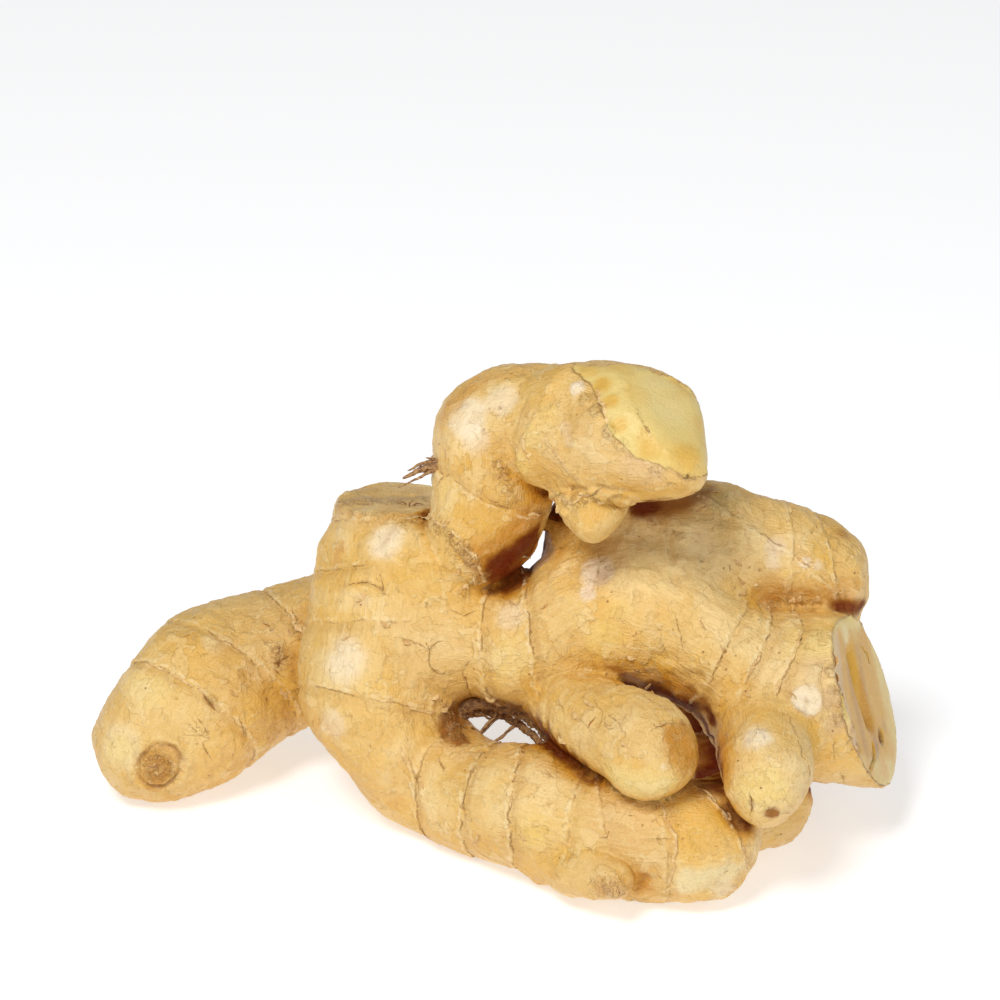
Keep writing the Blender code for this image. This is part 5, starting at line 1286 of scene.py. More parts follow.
    (1.4, -17.4, 25.9, 1.6, "ochre", 0.2, 0.8),
    (2.8, -18.2, 26.3, 1.6, "ochre", 0.2, 0.8),
    (4.3, -18.7, 26.6, 1.6, "ochre", 0.2, 0.8),
    (5.7, -19.2, 26.9, 1.6, "ochre", 0.2, 0.8),
    (3.6, -20.6, 26.2, 1.6, "ochre", 0.2, 0.8),
    (5.0, -21.1, 26.5, 1.6, "ochre", 0.2, 0.8),
    (6.4, -21.5, 26.7, 1.6, "ochre", 0.2, 0.8),
    (7.8, -21.8, 26.8, 1.6, "ochre", 0.2, 0.8),
    (9.2, -22.0, 26.9, 1.6, "ochre", 0.2, 0.8),
    (10.6, -22.1, 27.0, 1.6, "ochre", 0.2, 0.8),
    (8.4, -23.7, 26.5, 1.6, "ochre", 0.2, 0.8),
    (9.8, -23.9, 26.6, 1.6, "ochre", 0.2, 0.8),
    (11.2, -24.0, 26.6, 1.6, "ochre", 0.2, 0.8),
    (12.6, -24.0, 26.6, 1.6, "ochre", 0.2, 0.8),
    (14.0, -24.0, 26.6, 1.6, "ochre", 0.2, 0.8),
    (13.3, -25.8, 26.2, 1.6, "ochre", 0.2, 0.8),
    (14.7, -25.8, 26.2, 1.6, "ochre", 0.2, 0.8),
    (16.1, -25.7, 26.2, 1.6, "ochre", 0.2, 0.8),
    (17.5, -25.8, 26.2, 1.6, "ochre", 0.2, 0.8),
    (18.1, -27.4, 25.7, 1.6, "ochre", 0.2, 0.8),
    # painted shadow under the end joint and on the upper finger below it: brown
    (43.5, 14.0, 70.4, 1.6, "brown", 0.4, 0.8),
    (38.7, -19.5, 84.1, 1.6, "brown", 0.4, 0.8),
    (41.6, 12.0, 70.1, 1.6, "brown", 0.4, 0.8),
    (42.8, 12.1, 70.1, 1.6, "brown", 0.4, 0.8),
    (32.3, -18.9, 82.7, 1.6, "brown", 0.4, 0.8),
    (33.5, -18.7, 82.6, 1.6, "brown", 0.4, 0.8),
    (34.7, -18.3, 82.4, 1.6, "brown", 0.4, 0.8),
    (37.2, 10.7, 69.5, 1.6, "brown", 0.4, 0.8),
    (38.5, 10.6, 69.6, 1.6, "brown", 0.4, 0.8),
    (39.7, 10.5, 69.6, 1.6, "brown", 0.4, 0.8),
    (40.9, 10.5, 69.6, 1.6, "brown", 0.4, 0.8),
    (42.1, 10.5, 69.6, 1.6, "brown", 0.4, 0.8),
    (30.5, 9.8, 68.8, 1.6, "brown", 0.4, 0.8),
    (31.7, 9.8, 68.8, 1.6, "brown", 0.4, 0.8),
    (33.0, 9.7, 68.8, 1.6, "brown", 0.4, 0.8),
    (34.2, 9.6, 68.8, 1.6, "brown", 0.4, 0.8),
    (35.4, 9.5, 68.9, 1.6, "brown", 0.4, 0.8),
    (36.6, 9.4, 68.9, 1.6, "brown", 0.4, 0.8),
    (37.8, 9.3, 69.0, 1.6, "brown", 0.4, 0.8),
    (39.0, 9.3, 69.0, 1.6, "brown", 0.4, 0.8),
    (40.2, 9.2, 69.0, 1.6, "brown", 0.4, 0.8),
    (28.7, 8.6, 68.1, 1.6, "brown", 0.4, 0.8),
    (29.9, 8.6, 68.1, 1.6, "brown", 0.4, 0.8),
    (31.1, 8.6, 68.1, 1.6, "brown", 0.4, 0.8),
    (32.3, 8.5, 68.2, 1.6, "brown", 0.4, 0.8),
    (33.5, 8.5, 68.2, 1.6, "brown", 0.4, 0.8),
    (34.7, 8.4, 68.2, 1.6, "brown", 0.4, 0.8),
    (36.0, 8.3, 68.3, 1.6, "brown", 0.4, 0.8),
    (37.2, 8.2, 68.3, 1.6, "brown", 0.4, 0.8),
    (29.3, 7.5, 67.5, 1.6, "brown", 0.4, 0.8),
    (30.5, 7.5, 67.5, 1.6, "brown", 0.4, 0.8),
    (31.7, 7.5, 67.5, 1.6, "brown", 0.4, 0.8),
    (32.9, 7.4, 67.5, 1.6, "brown", 0.4, 0.8),
    (34.1, 7.4, 67.5, 1.6, "brown", 0.4, 0.8),
    # painted shadow, deeper, in the same places: umber
    (30.2, -17.2, 81.4, 1.4, "umber", 0.6, 0.8),
    (31.2, -16.9, 81.3, 1.4, "umber", 0.6, 0.8),
    (28.8, 9.4, 68.6, 1.4, "umber", 0.6, 0.8),
    (29.8, 9.4, 68.6, 1.4, "umber", 0.6, 0.8),
    (30.8, 9.4, 68.6, 1.4, "umber", 0.6, 0.8),
    (31.8, 9.4, 68.6, 1.4, "umber", 0.6, 0.8),
    (32.8, 9.4, 68.6, 1.4, "umber", 0.6, 0.8),
    (29.2, 8.5, 68.1, 1.4, "umber", 0.6, 0.8),
    (30.2, 8.4, 68.1, 1.4, "umber", 0.6, 0.8),
    (31.2, 8.5, 68.1, 1.4, "umber", 0.6, 0.8),
    (29.7, 7.6, 67.5, 1.4, "umber", 0.6, 0.8),
    (56.0, 1.1, 55.6, 2.0, "ochre", 0.2, 0.8),
    (72.5, 4.5, 54.0, 2.0, "ochre", 0.2, 0.8),
    (74.3, 5.5, 53.5, 2.0, "ochre", 0.2, 0.8),
    (53.6, 1.1, 54.0, 2.0, "ochre", 0.2, 0.8),
    (55.3, 1.2, 54.0, 2.0, "ochre", 0.2, 0.8),
    (56.9, 1.3, 53.9, 2.0, "ochre", 0.2, 0.8),
    (58.5, 1.4, 53.9, 2.0, "ochre", 0.2, 0.8),
    (60.2, 1.6, 53.8, 2.0, "ochre", 0.2, 0.8),
    (61.8, 1.8, 53.7, 2.0, "ochre", 0.2, 0.8),
    (63.4, 2.0, 53.6, 2.0, "ochre", 0.2, 0.8),
    (65.1, 2.3, 53.5, 2.0, "ochre", 0.2, 0.8),
    (66.7, 2.7, 53.3, 2.0, "ochre", 0.2, 0.8),
    (68.4, 3.2, 53.1, 2.0, "ochre", 0.2, 0.8),
    (70.1, 3.6, 52.8, 2.0, "ochre", 0.2, 0.8),
    (71.7, 4.1, 52.6, 2.0, "ochre", 0.2, 0.8),
    (73.4, 4.7, 52.3, 2.0, "ochre", 0.2, 0.8),
    (75.2, 6.0, 51.7, 2.0, "ochre", 0.2, 0.8),
    (52.8, 0.5, 52.7, 2.0, "ochre", 0.2, 0.8),
    (54.5, 1.4, 52.3, 2.0, "ochre", 0.2, 0.8),
    (56.2, 1.7, 52.2, 2.0, "ochre", 0.2, 0.8),
    (57.8, 1.7, 52.2, 2.0, "ochre", 0.2, 0.8),
    (59.4, 1.9, 52.1, 2.0, "ochre", 0.2, 0.8),
    (61.0, 2.0, 52.0, 2.0, "ochre", 0.2, 0.8),
    (62.7, 2.2, 51.9, 2.0, "ochre", 0.2, 0.8),
    (64.3, 2.5, 51.8, 2.0, "ochre", 0.2, 0.8),
    (66.0, 2.8, 51.7, 2.0, "ochre", 0.2, 0.8),
    (67.6, 3.2, 51.5, 2.0, "ochre", 0.2, 0.8),
    (69.3, 3.5, 51.3, 2.0, "ochre", 0.2, 0.8),
    (71.0, 3.8, 51.2, 2.0, "ochre", 0.2, 0.8),
    (72.6, 4.2, 51.0, 2.0, "ochre", 0.2, 0.8),
    (74.3, 4.9, 50.7, 2.0, "ochre", 0.2, 0.8),
    (53.7, 0.5, 51.2, 2.0, "ochre", 0.2, 0.8),
    (55.4, 1.7, 50.6, 2.0, "ochre", 0.2, 0.8),
    (57.0, 2.0, 50.5, 2.0, "ochre", 0.2, 0.8),
    (58.7, 2.1, 50.4, 2.0, "ochre", 0.2, 0.8),
    (60.3, 2.3, 50.3, 2.0, "ochre", 0.2, 0.8),
    (61.9, 2.5, 50.3, 2.0, "ochre", 0.2, 0.8),
    (63.6, 2.7, 50.1, 2.0, "ochre", 0.2, 0.8),
    (65.2, 3.0, 50.0, 2.0, "ochre", 0.2, 0.8),
    (66.9, 3.3, 49.9, 2.0, "ochre", 0.2, 0.8),
    (68.5, 3.5, 49.8, 2.0, "ochre", 0.2, 0.8),
    (70.2, 3.8, 49.6, 2.0, "ochre", 0.2, 0.8),
    (71.8, 4.0, 49.5, 2.0, "ochre", 0.2, 0.8),
    (35.6, -36.4, 41.8, 1.6, "amber", 0.32, 0.8),
    (36.9, -35.4, 41.3, 1.6, "amber", 0.32, 0.8),
    (38.1, -33.7, 40.5, 1.6, "amber", 0.32, 0.8),
    (33.8, -38.2, 41.7, 1.6, "amber", 0.32, 0.8),
    (35.0, -37.7, 41.4, 1.6, "amber", 0.32, 0.8),
    (36.2, -37.0, 41.0, 1.6, "amber", 0.32, 0.8),
    (37.4, -35.9, 40.5, 1.6, "amber", 0.32, 0.8),
    (38.7, -34.1, 39.5, 1.6, "amber", 0.32, 0.8),
    (33.2, -39.2, 41.0, 1.6, "amber", 0.32, 0.8),
    (34.4, -38.8, 40.8, 1.6, "amber", 0.32, 0.8),
    (35.6, -38.2, 40.5, 1.6, "amber", 0.32, 0.8),
    (36.8, -37.4, 40.1, 1.6, "amber", 0.32, 0.8),
    (38.0, -36.2, 39.5, 1.6, "amber", 0.32, 0.8),
    (39.3, -34.0, 38.4, 1.6, "amber", 0.32, 0.8),
    (33.8, -39.7, 40.2, 1.6, "amber", 0.32, 0.8),
    (35.0, -39.3, 39.9, 1.6, "amber", 0.32, 0.8),
    (36.2, -38.6, 39.6, 1.6, "amber", 0.32, 0.8),
    (37.4, -37.7, 39.1, 1.6, "amber", 0.32, 0.8),
    (38.6, -36.3, 38.3, 1.6, "amber", 0.32, 0.8),
    (40.0, -33.1, 36.7, 1.6, "amber", 0.32, 0.8),
    (33.2, -40.5, 39.4, 1.6, "amber", 0.32, 0.8),
    (34.4, -40.1, 39.2, 1.6, "amber", 0.32, 0.8),
    (35.6, -39.6, 38.9, 1.6, "amber", 0.32, 0.8),
    (36.8, -38.8, 38.5, 1.6, "amber", 0.32, 0.8),
    (38.0, -37.7, 37.9, 1.6, "amber", 0.32, 0.8),
    (39.3, -35.9, 37.0, 1.6, "amber", 0.32, 0.8),
    (42.8, 5.2, 15.6, 1.7, "amber", 0.32, 0.8),
    (33.8, -40.8, 38.4, 1.6, "amber", 0.32, 0.8),
    (35.0, -40.3, 38.2, 1.6, "amber", 0.32, 0.8),
    (36.2, -39.7, 37.9, 1.6, "amber", 0.32, 0.8),
    (37.4, -38.8, 37.4, 1.6, "amber", 0.32, 0.8),
    (38.6, -37.4, 36.7, 1.6, "amber", 0.32, 0.8),
    (39.9, -34.8, 35.3, 1.6, "amber", 0.32, 0.8),
    (34.4, -41.0, 37.4, 1.6, "amber", 0.32, 0.8),
    (35.6, -40.4, 37.1, 1.6, "amber", 0.32, 0.8),
    (36.8, -39.6, 36.7, 1.6, "amber", 0.32, 0.8),
    (38.0, -38.5, 36.1, 1.6, "amber", 0.32, 0.8),
    (39.3, -36.7, 35.2, 1.6, "amber", 0.32, 0.8),
    (42.8, 5.7, 12.9, 1.7, "amber", 0.32, 0.8),
    (35.0, -41.0, 36.2, 1.6, "amber", 0.32, 0.8),
    (36.2, -40.3, 35.9, 1.6, "amber", 0.32, 0.8),
    (37.4, -39.3, 35.4, 1.6, "amber", 0.32, 0.8),
    (38.6, -37.9, 34.6, 1.6, "amber", 0.32, 0.8),
    (42.3, 6.0, 11.5, 1.7, "amber", 0.32, 0.8),
    (36.8, -40.0, 34.5, 1.6, "amber", 0.32, 0.8),
    (38.0, -38.7, 33.9, 1.6, "amber", 0.32, 0.8),
    (39.4, -36.1, 32.5, 1.6, "amber", 0.32, 0.8),
    (37.4, -39.2, 33.0, 1.6, "amber", 0.32, 0.8),
    (37.8, -35.4, 24.2, 2.6, "gold", 0.28, 0.8),
    (40.0, -35.4, 24.2, 2.6, "gold", 0.28, 0.8),
    (36.7, -37.2, 23.0, 2.6, "gold", 0.28, 0.8),
    (38.8, -37.4, 23.1, 2.6, "gold", 0.28, 0.8),
    (41.0, -37.4, 23.1, 2.6, "gold", 0.28, 0.8),
    (43.2, -37.1, 22.9, 2.6, "gold", 0.28, 0.8),
    (35.6, -38.6, 21.7, 2.6, "gold", 0.28, 0.8),
    (37.7, -38.9, 21.8, 2.6, "gold", 0.28, 0.8),
    (39.9, -38.9, 21.8, 2.6, "gold", 0.28, 0.8),
    (42.1, -38.9, 21.8, 2.6, "gold", 0.28, 0.8),
    (44.2, -38.4, 21.5, 2.6, "gold", 0.28, 0.8),
    (36.6, -40.0, 20.3, 2.6, "gold", 0.28, 0.8),
    (38.8, -40.3, 20.4, 2.6, "gold", 0.28, 0.8),
    (40.9, -40.2, 20.4, 2.6, "gold", 0.28, 0.8),
    (43.1, -40.0, 20.3, 2.6, "gold", 0.28, 0.8),
    (45.3, -39.3, 19.9, 2.6, "gold", 0.28, 0.8),
    (37.7, -41.2, 18.8, 2.6, "gold", 0.28, 0.8),
    (39.8, -41.3, 18.8, 2.6, "gold", 0.28, 0.8),
    (42.0, -41.2, 18.8, 2.6, "gold", 0.28, 0.8),
    (44.2, -40.8, 18.5, 2.6, "gold", 0.28, 0.8),
    (46.4, -39.9, 18.1, 2.6, "gold", 0.28, 0.8),
    (36.6, -41.8, 17.0, 2.6, "gold", 0.28, 0.8),
    (38.7, -42.0, 17.1, 2.6, "gold", 0.28, 0.8),
    (40.9, -42.0, 17.1, 2.6, "gold", 0.28, 0.8),
    (43.1, -41.8, 17.0, 2.6, "gold", 0.28, 0.8),
    (45.3, -41.1, 16.6, 2.6, "gold", 0.28, 0.8),
    (47.5, -40.1, 16.0, 2.6, "gold", 0.28, 0.8),
    (49.8, -38.4, 15.1, 2.6, "gold", 0.28, 0.8),
    (19.6, -33.2, 23.0, 2.8, "tan", 0.2, 0.8),
    (22.0, -33.6, 23.1, 2.8, "tan", 0.2, 0.8),
    (24.3, -33.8, 23.3, 2.8, "tan", 0.2, 0.8),
    (20.8, -35.1, 21.6, 2.8, "tan", 0.2, 0.8),
    (23.1, -35.5, 21.8, 2.8, "tan", 0.2, 0.8),
    (25.5, -35.8, 22.0, 2.8, "tan", 0.2, 0.8),
    (27.8, -36.1, 22.2, 2.8, "tan", 0.2, 0.8),
    (30.2, -36.5, 22.4, 2.8, "tan", 0.2, 0.8),
    (21.9, -36.7, 20.1, 2.8, "tan", 0.2, 0.8),
    (24.3, -37.1, 20.4, 2.8, "tan", 0.2, 0.8),
    (26.6, -37.5, 20.6, 2.8, "tan", 0.2, 0.8),
    (29.0, -37.9, 20.8, 2.8, "tan", 0.2, 0.8),
    (31.3, -38.3, 21.0, 2.8, "tan", 0.2, 0.8),
    (23.1, -38.0, 18.5, 2.8, "tan", 0.2, 0.8),
    (25.4, -38.5, 18.8, 2.8, "tan", 0.2, 0.8),
    (27.8, -38.9, 19.0, 2.8, "tan", 0.2, 0.8),
    (30.1, -39.4, 19.3, 2.8, "tan", 0.2, 0.8),
    (32.5, -39.8, 19.5, 2.8, "tan", 0.2, 0.8),
    (24.3, -39.1, 16.8, 2.8, "tan", 0.2, 0.8),
    (26.6, -39.6, 17.1, 2.8, "tan", 0.2, 0.8),
    (28.9, -40.1, 17.3, 2.8, "tan", 0.2, 0.8),
    (31.3, -40.6, 17.6, 2.8, "tan", 0.2, 0.8),
    (33.6, -41.0, 17.8, 2.8, "tan", 0.2, 0.8),
    (25.4, -40.0, 14.9, 2.8, "tan", 0.2, 0.8),
    (27.8, -40.5, 15.2, 2.8, "tan", 0.2, 0.8),
    (30.1, -41.0, 15.5, 2.8, "tan", 0.2, 0.8),
    (32.5, -41.4, 15.8, 2.8, "tan", 0.2, 0.8),
    (26.6, -40.9, 13.1, 2.8, "tan", 0.2, 0.8),
    (29.0, -41.1, 13.2, 2.8, "tan", 0.2, 0.8),
    (31.3, -41.6, 13.5, 2.8, "tan", 0.2, 0.8),
    (33.7, -42.0, 13.7, 2.8, "tan", 0.2, 0.8),
    (27.8, -41.0, 10.8, 2.8, "tan", 0.2, 0.8),
    (30.2, -41.3, 11.0, 2.8, "tan", 0.2, 0.8),
    (13.5, -12.1, 77.6, 2.0, "gold", 0.2, 0.8),
    (15.2, -14.2, 78.5, 2.0, "gold", 0.2, 0.8),
    (16.9, -15.1, 79.0, 2.0, "gold", 0.2, 0.8),
    (18.7, -15.6, 79.2, 2.0, "gold", 0.2, 0.8),
    (20.5, -15.5, 79.2, 2.0, "gold", 0.2, 0.8),
    (22.2, -15.1, 78.9, 2.0, "gold", 0.2, 0.8),
    (24.0, -14.0, 78.5, 2.0, "gold", 0.2, 0.8),
    (25.9, -11.4, 77.3, 2.0, "gold", 0.2, 0.8),
    (14.3, -13.6, 76.6, 2.0, "gold", 0.2, 0.8),
    (16.1, -15.1, 77.3, 2.0, "gold", 0.2, 0.8),
    (17.8, -15.8, 77.6, 2.0, "gold", 0.2, 0.8),
    (19.6, -16.0, 77.7, 2.0, "gold", 0.2, 0.8),
    (21.4, -15.7, 77.6, 2.0, "gold", 0.2, 0.8),
    (23.2, -14.9, 77.2, 2.0, "gold", 0.2, 0.8),
    (25.0, -13.1, 76.4, 2.0, "gold", 0.2, 0.8),
    (15.2, -14.3, 75.2, 2.0, "gold", 0.2, 0.8),
    (17.0, -15.7, 75.8, 2.0, "gold", 0.2, 0.8),
    (18.7, -16.2, 76.1, 2.0, "gold", 0.2, 0.8),
    (20.5, -16.2, 76.1, 2.0, "gold", 0.2, 0.8),
    (22.3, -15.5, 75.8, 2.0, "gold", 0.2, 0.8),
    (24.1, -13.8, 75.0, 2.0, "gold", 0.2, 0.8),
    (16.1, -14.5, 73.6, 2.0, "gold", 0.2, 0.8),
    (17.9, -15.7, 74.2, 2.0, "gold", 0.2, 0.8),
    (19.6, -16.0, 74.3, 2.0, "gold", 0.2, 0.8),
    (21.4, -15.6, 74.1, 2.0, "gold", 0.2, 0.8),
    (23.2, -14.0, 73.4, 2.0, "gold", 0.2, 0.8),
    (18.8, -14.5, 71.9, 2.0, "gold", 0.2, 0.8),
    (20.6, -14.4, 71.9, 2.0, "gold", 0.2, 0.8),
    (13.5, -9.7, 99.8, 2.5, "tan", 0.17, 0.8),
    (12.3, -10.6, 97.9, 2.5, "tan", 0.17, 0.8),
    (14.6, -12.3, 98.7, 2.5, "tan", 0.17, 0.8),
    (16.9, -13.9, 99.3, 2.5, "tan", 0.17, 0.8),
    (11.2, -10.9, 95.9, 2.5, "tan", 0.17, 0.8),
    (13.5, -12.8, 96.7, 2.5, "tan", 0.17, 0.8),
    (15.8, -14.5, 97.4, 2.5, "tan", 0.17, 0.8),
    (18.1, -16.0, 98.0, 2.5, "tan", 0.17, 0.8),
    (10.0, -10.8, 93.6, 2.5, "tan", 0.17, 0.8),
    (12.3, -12.9, 94.5, 2.5, "tan", 0.17, 0.8),
    (14.6, -14.7, 95.3, 2.5, "tan", 0.17, 0.8),
    (16.9, -16.3, 95.9, 2.5, "tan", 0.17, 0.8),
    (19.2, -17.7, 96.6, 2.5, "tan", 0.17, 0.8),
    (8.8, -10.2, 91.1, 2.5, "tan", 0.17, 0.8),
    (11.2, -12.5, 92.1, 2.5, "tan", 0.17, 0.8),
    (13.5, -14.5, 93.0, 2.5, "tan", 0.17, 0.8),
    (15.8, -16.2, 93.7, 2.5, "tan", 0.17, 0.8),
    (18.1, -17.8, 94.4, 2.5, "tan", 0.17, 0.8),
    (20.4, -19.2, 95.0, 2.5, "tan", 0.17, 0.8),
    (7.7, -8.8, 88.3, 2.6, "tan", 0.17, 0.8),
    (10.0, -11.5, 89.5, 2.5, "tan", 0.17, 0.8),
    (12.3, -13.8, 90.4, 2.5, "tan", 0.17, 0.8),
    (14.6, -15.6, 91.3, 2.5, "tan", 0.17, 0.8),
    (16.9, -17.3, 92.0, 2.5, "tan", 0.17, 0.8),
    (19.2, -18.8, 92.6, 2.5, "tan", 0.17, 0.8),
    (21.5, -20.2, 93.2, 2.5, "tan", 0.17, 0.8),
    (8.9, -9.7, 86.4, 2.6, "tan", 0.17, 0.8),
    (11.2, -12.3, 87.6, 2.5, "tan", 0.17, 0.8),
    (13.5, -14.5, 88.6, 2.5, "tan", 0.17, 0.8),
    (15.8, -16.4, 89.4, 2.5, "tan", 0.17, 0.8),
    (18.1, -18.1, 90.1, 2.5, "tan", 0.17, 0.8),
    (20.4, -19.6, 90.7, 2.5, "tan", 0.17, 0.8),
    (22.7, -20.9, 91.3, 2.5, "tan", 0.17, 0.8),
    (25.0, -22.0, 91.8, 2.5, "tan", 0.17, 0.8),
    (10.1, -9.8, 84.3, 2.6, "tan", 0.17, 0.8),
    (12.4, -12.5, 85.5, 2.5, "tan", 0.17, 0.8),
    (14.7, -14.8, 86.5, 2.5, "tan", 0.17, 0.8),
    (17.0, -16.7, 87.3, 2.5, "tan", 0.17, 0.8),
    (19.3, -18.4, 88.0, 2.5, "tan", 0.17, 0.8),
    (21.6, -19.8, 88.7, 2.5, "tan", 0.17, 0.8),
    (23.9, -21.1, 89.2, 2.5, "tan", 0.17, 0.8),
    (26.2, -22.1, 89.7, 2.5, "tan", 0.17, 0.8),
    (28.5, -22.9, 90.0, 2.5, "tan", 0.17, 0.8),
    (13.6, -11.9, 82.9, 2.6, "tan", 0.17, 0.8),
    (15.9, -14.3, 84.0, 2.5, "tan", 0.17, 0.8),
    (18.2, -16.3, 84.9, 2.5, "tan", 0.17, 0.8),
    (20.5, -18.0, 85.6, 2.5, "tan", 0.17, 0.8),
    (22.8, -19.5, 86.3, 2.5, "tan", 0.17, 0.8),
    (25.1, -20.7, 86.8, 2.5, "tan", 0.17, 0.8),
    (27.4, -21.7, 87.2, 2.5, "tan", 0.17, 0.8),
    (29.7, -22.4, 87.6, 2.5, "tan", 0.17, 0.8),
    (32.0, -23.1, 87.9, 2.5, "tan", 0.17, 0.8),
    # painted shade on the underside of the end joint: deep gold
    (9.5, -8.9, 83.7, 2.0, "deepgold", 0.25, 0.8),
    (11.3, -11.2, 84.8, 2.0, "deepgold", 0.25, 0.8),
    (10.4, -8.0, 81.7, 2.0, "deepgold", 0.25, 0.8),
    (12.2, -10.7, 82.9, 2.0, "deepgold", 0.25, 0.8),
    (13.9, -12.8, 83.8, 2.0, "deepgold", 0.25, 0.8),
    (15.6, -14.5, 84.5, 2.0, "deepgold", 0.25, 0.8),
    (17.4, -16.0, 85.2, 2.0, "deepgold", 0.25, 0.8),
    (19.1, -17.3, 85.8, 2.0, "deepgold", 0.25, 0.8),
    (20.8, -18.6, 86.3, 1.9, "deepgold", 0.25, 0.8),
    (22.5, -19.6, 86.8, 1.9, "deepgold", 0.25, 0.8),
    (24.3, -20.6, 87.2, 1.9, "deepgold", 0.25, 0.8),
    (38.1, -23.4, 88.4, 1.9, "deepgold", 0.25, 0.8),
    (39.9, -22.0, 87.8, 1.9, "deepgold", 0.25, 0.8),
    (11.3, -6.4, 79.2, 2.0, "deepgold", 0.25, 0.8),
    (13.1, -10.6, 81.1, 2.0, "deepgold", 0.25, 0.8),
    (14.8, -12.5, 81.9, 2.0, "deepgold", 0.25, 0.8),
    (16.5, -13.8, 82.5, 2.0, "deepgold", 0.25, 0.8),
    (18.3, -15.1, 83.1, 2.0, "deepgold", 0.25, 0.8),
    (20.0, -16.5, 83.7, 2.0, "deepgold", 0.25, 0.8),
    (21.7, -17.8, 84.3, 2.0, "deepgold", 0.25, 0.8),
    (23.4, -18.9, 84.8, 1.9, "deepgold", 0.25, 0.8),
    (25.2, -19.9, 85.2, 1.9, "deepgold", 0.25, 0.8),
    (26.9, -20.7, 85.6, 1.9, "deepgold", 0.25, 0.8),
    (28.6, -21.2, 85.8, 1.9, "deepgold", 0.25, 0.8),
    (30.3, -21.8, 86.0, 1.9, "deepgold", 0.25, 0.8),
    (32.1, -22.2, 86.2, 1.9, "deepgold", 0.25, 0.8),
    (33.8, -22.7, 86.4, 1.9, "deepgold", 0.25, 0.8),
    (35.5, -22.8, 86.5, 1.9, "deepgold", 0.25, 0.8),
    (37.3, -22.4, 86.3, 1.9, "deepgold", 0.25, 0.8),
    (21.0, -15.0, 81.4, 2.0, "deepgold", 0.25, 0.8),
    (22.7, -16.1, 81.9, 2.0, "deepgold", 0.25, 0.8),
    (24.4, -17.3, 82.4, 2.0, "deepgold", 0.25, 0.8),
    (26.1, -18.3, 82.8, 2.0, "deepgold", 0.25, 0.8),
    (64.5, -24.1, 32.8, 2.4, "gold", 0.25, 0.8),
    (63.4, -26.3, 32.0, 2.4, "gold", 0.25, 0.8),
    (65.7, -23.2, 30.4, 2.4, "gold", 0.25, 0.8),
    (67.8, -22.3, 29.9, 2.4, "gold", 0.25, 0.8),
    (61.9, -33.3, 33.7, 2.4, "gold", 0.25, 0.8),
    (64.7, -23.5, 28.6, 2.4, "gold", 0.25, 0.8),
    (66.8, -22.1, 27.9, 2.4, "gold", 0.25, 0.8),
    (68.9, -21.6, 27.6, 2.4, "gold", 0.25, 0.8),
    (70.9, -21.1, 27.3, 2.4, "gold", 0.25, 0.8),
    (63.8, -23.2, 26.5, 2.4, "gold", 0.25, 0.8),
    (66.0, -21.4, 25.5, 2.4, "gold", 0.25, 0.8),
    (68.0, -20.8, 25.2, 2.4, "gold", 0.25, 0.8),
    (70.1, -20.4, 25.0, 2.4, "gold", 0.25, 0.8),
    (72.1, -19.9, 24.8, 2.4, "gold", 0.25, 0.8),
    (67.2, -19.3, 22.5, 2.4, "gold", 0.25, 0.8),
    (69.3, -19.0, 22.3, 2.4, "gold", 0.25, 0.8),
    (71.3, -18.6, 22.1, 2.4, "gold", 0.25, 0.8),
    (73.3, -18.5, 22.0, 2.4, "gold", 0.25, 0.8),
    (-18.0, -11.8, 11.5, 2.4, "gold", 0.2, 0.8),
    (-19.2, -10.2, 8.4, 2.5, "gold", 0.2, 0.8),
    (-16.9, -12.2, 9.5, 2.4, "gold", 0.2, 0.8),
    (-14.6, -14.8, 10.9, 2.4, "gold", 0.2, 0.8),
    (-18.1, -9.4, 5.7, 2.5, "gold", 0.2, 0.8),
    (-15.8, -12.4, 7.4, 2.4, "gold", 0.2, 0.8),
    (-13.5, -15.6, 9.1, 2.4, "gold", 0.2, 0.8),
    (-11.2, -18.3, 10.6, 2.4, "gold", 0.2, 0.8),
    (-12.4, -15.9, 7.0, 2.4, "gold", 0.2, 0.8),
    (-10.1, -18.9, 8.7, 2.4, "gold", 0.2, 0.8),
    (-7.8, -21.6, 10.2, 2.4, "gold", 0.2, 0.8),
    (-5.6, -24.1, 11.6, 2.4, "gold", 0.2, 0.8),
    (-6.7, -21.9, 8.2, 2.4, "gold", 0.2, 0.8),
    (-4.5, -24.6, 9.6, 2.4, "gold", 0.2, 0.8),
    (-2.2, -26.9, 10.9, 2.4, "gold", 0.2, 0.8),
    (-3.4, -24.2, 7.2, 2.4, "gold", 0.2, 0.8),
    (-1.2, -26.9, 8.7, 2.4, "gold", 0.2, 0.8),
    (1.0, -29.0, 9.9, 2.4, "gold", 0.2, 0.8),
    (0.0, -25.5, 5.8, 2.4, "gold", 0.2, 0.8),
    (2.2, -28.4, 7.4, 2.4, "gold", 0.2, 0.8),
    (4.4, -30.5, 8.6, 2.4, "gold", 0.2, 0.8),
    (5.4, -29.3, 5.7, 2.4, "gold", 0.2, 0.8),
    (7.6, -32.1, 7.3, 2.4, "gold", 0.2, 0.8),
    (8.8, -31.3, 4.6, 2.4, "gold", 0.2, 0.8),
    (10.9, -35.7, 7.1, 2.4, "gold", 0.2, 0.8),
    (4.3, 10.4, 98.4, 1.4, "orange", 0.32, 0.8),
    (5.5, 9.8, 98.7, 1.4, "orange", 0.32, 0.8),
    (-2.3, 12.8, 96.3, 1.4, "orange", 0.32, 0.8),
    (-1.1, 11.3, 97.0, 1.4, "orange", 0.32, 0.8),
    (0.1, 10.2, 97.4, 1.4, "orange", 0.32, 0.8),
    (1.3, 9.5, 97.7, 1.4, "orange", 0.32, 0.8),
    (2.5, 8.7, 98.0, 1.4, "orange", 0.32, 0.8),
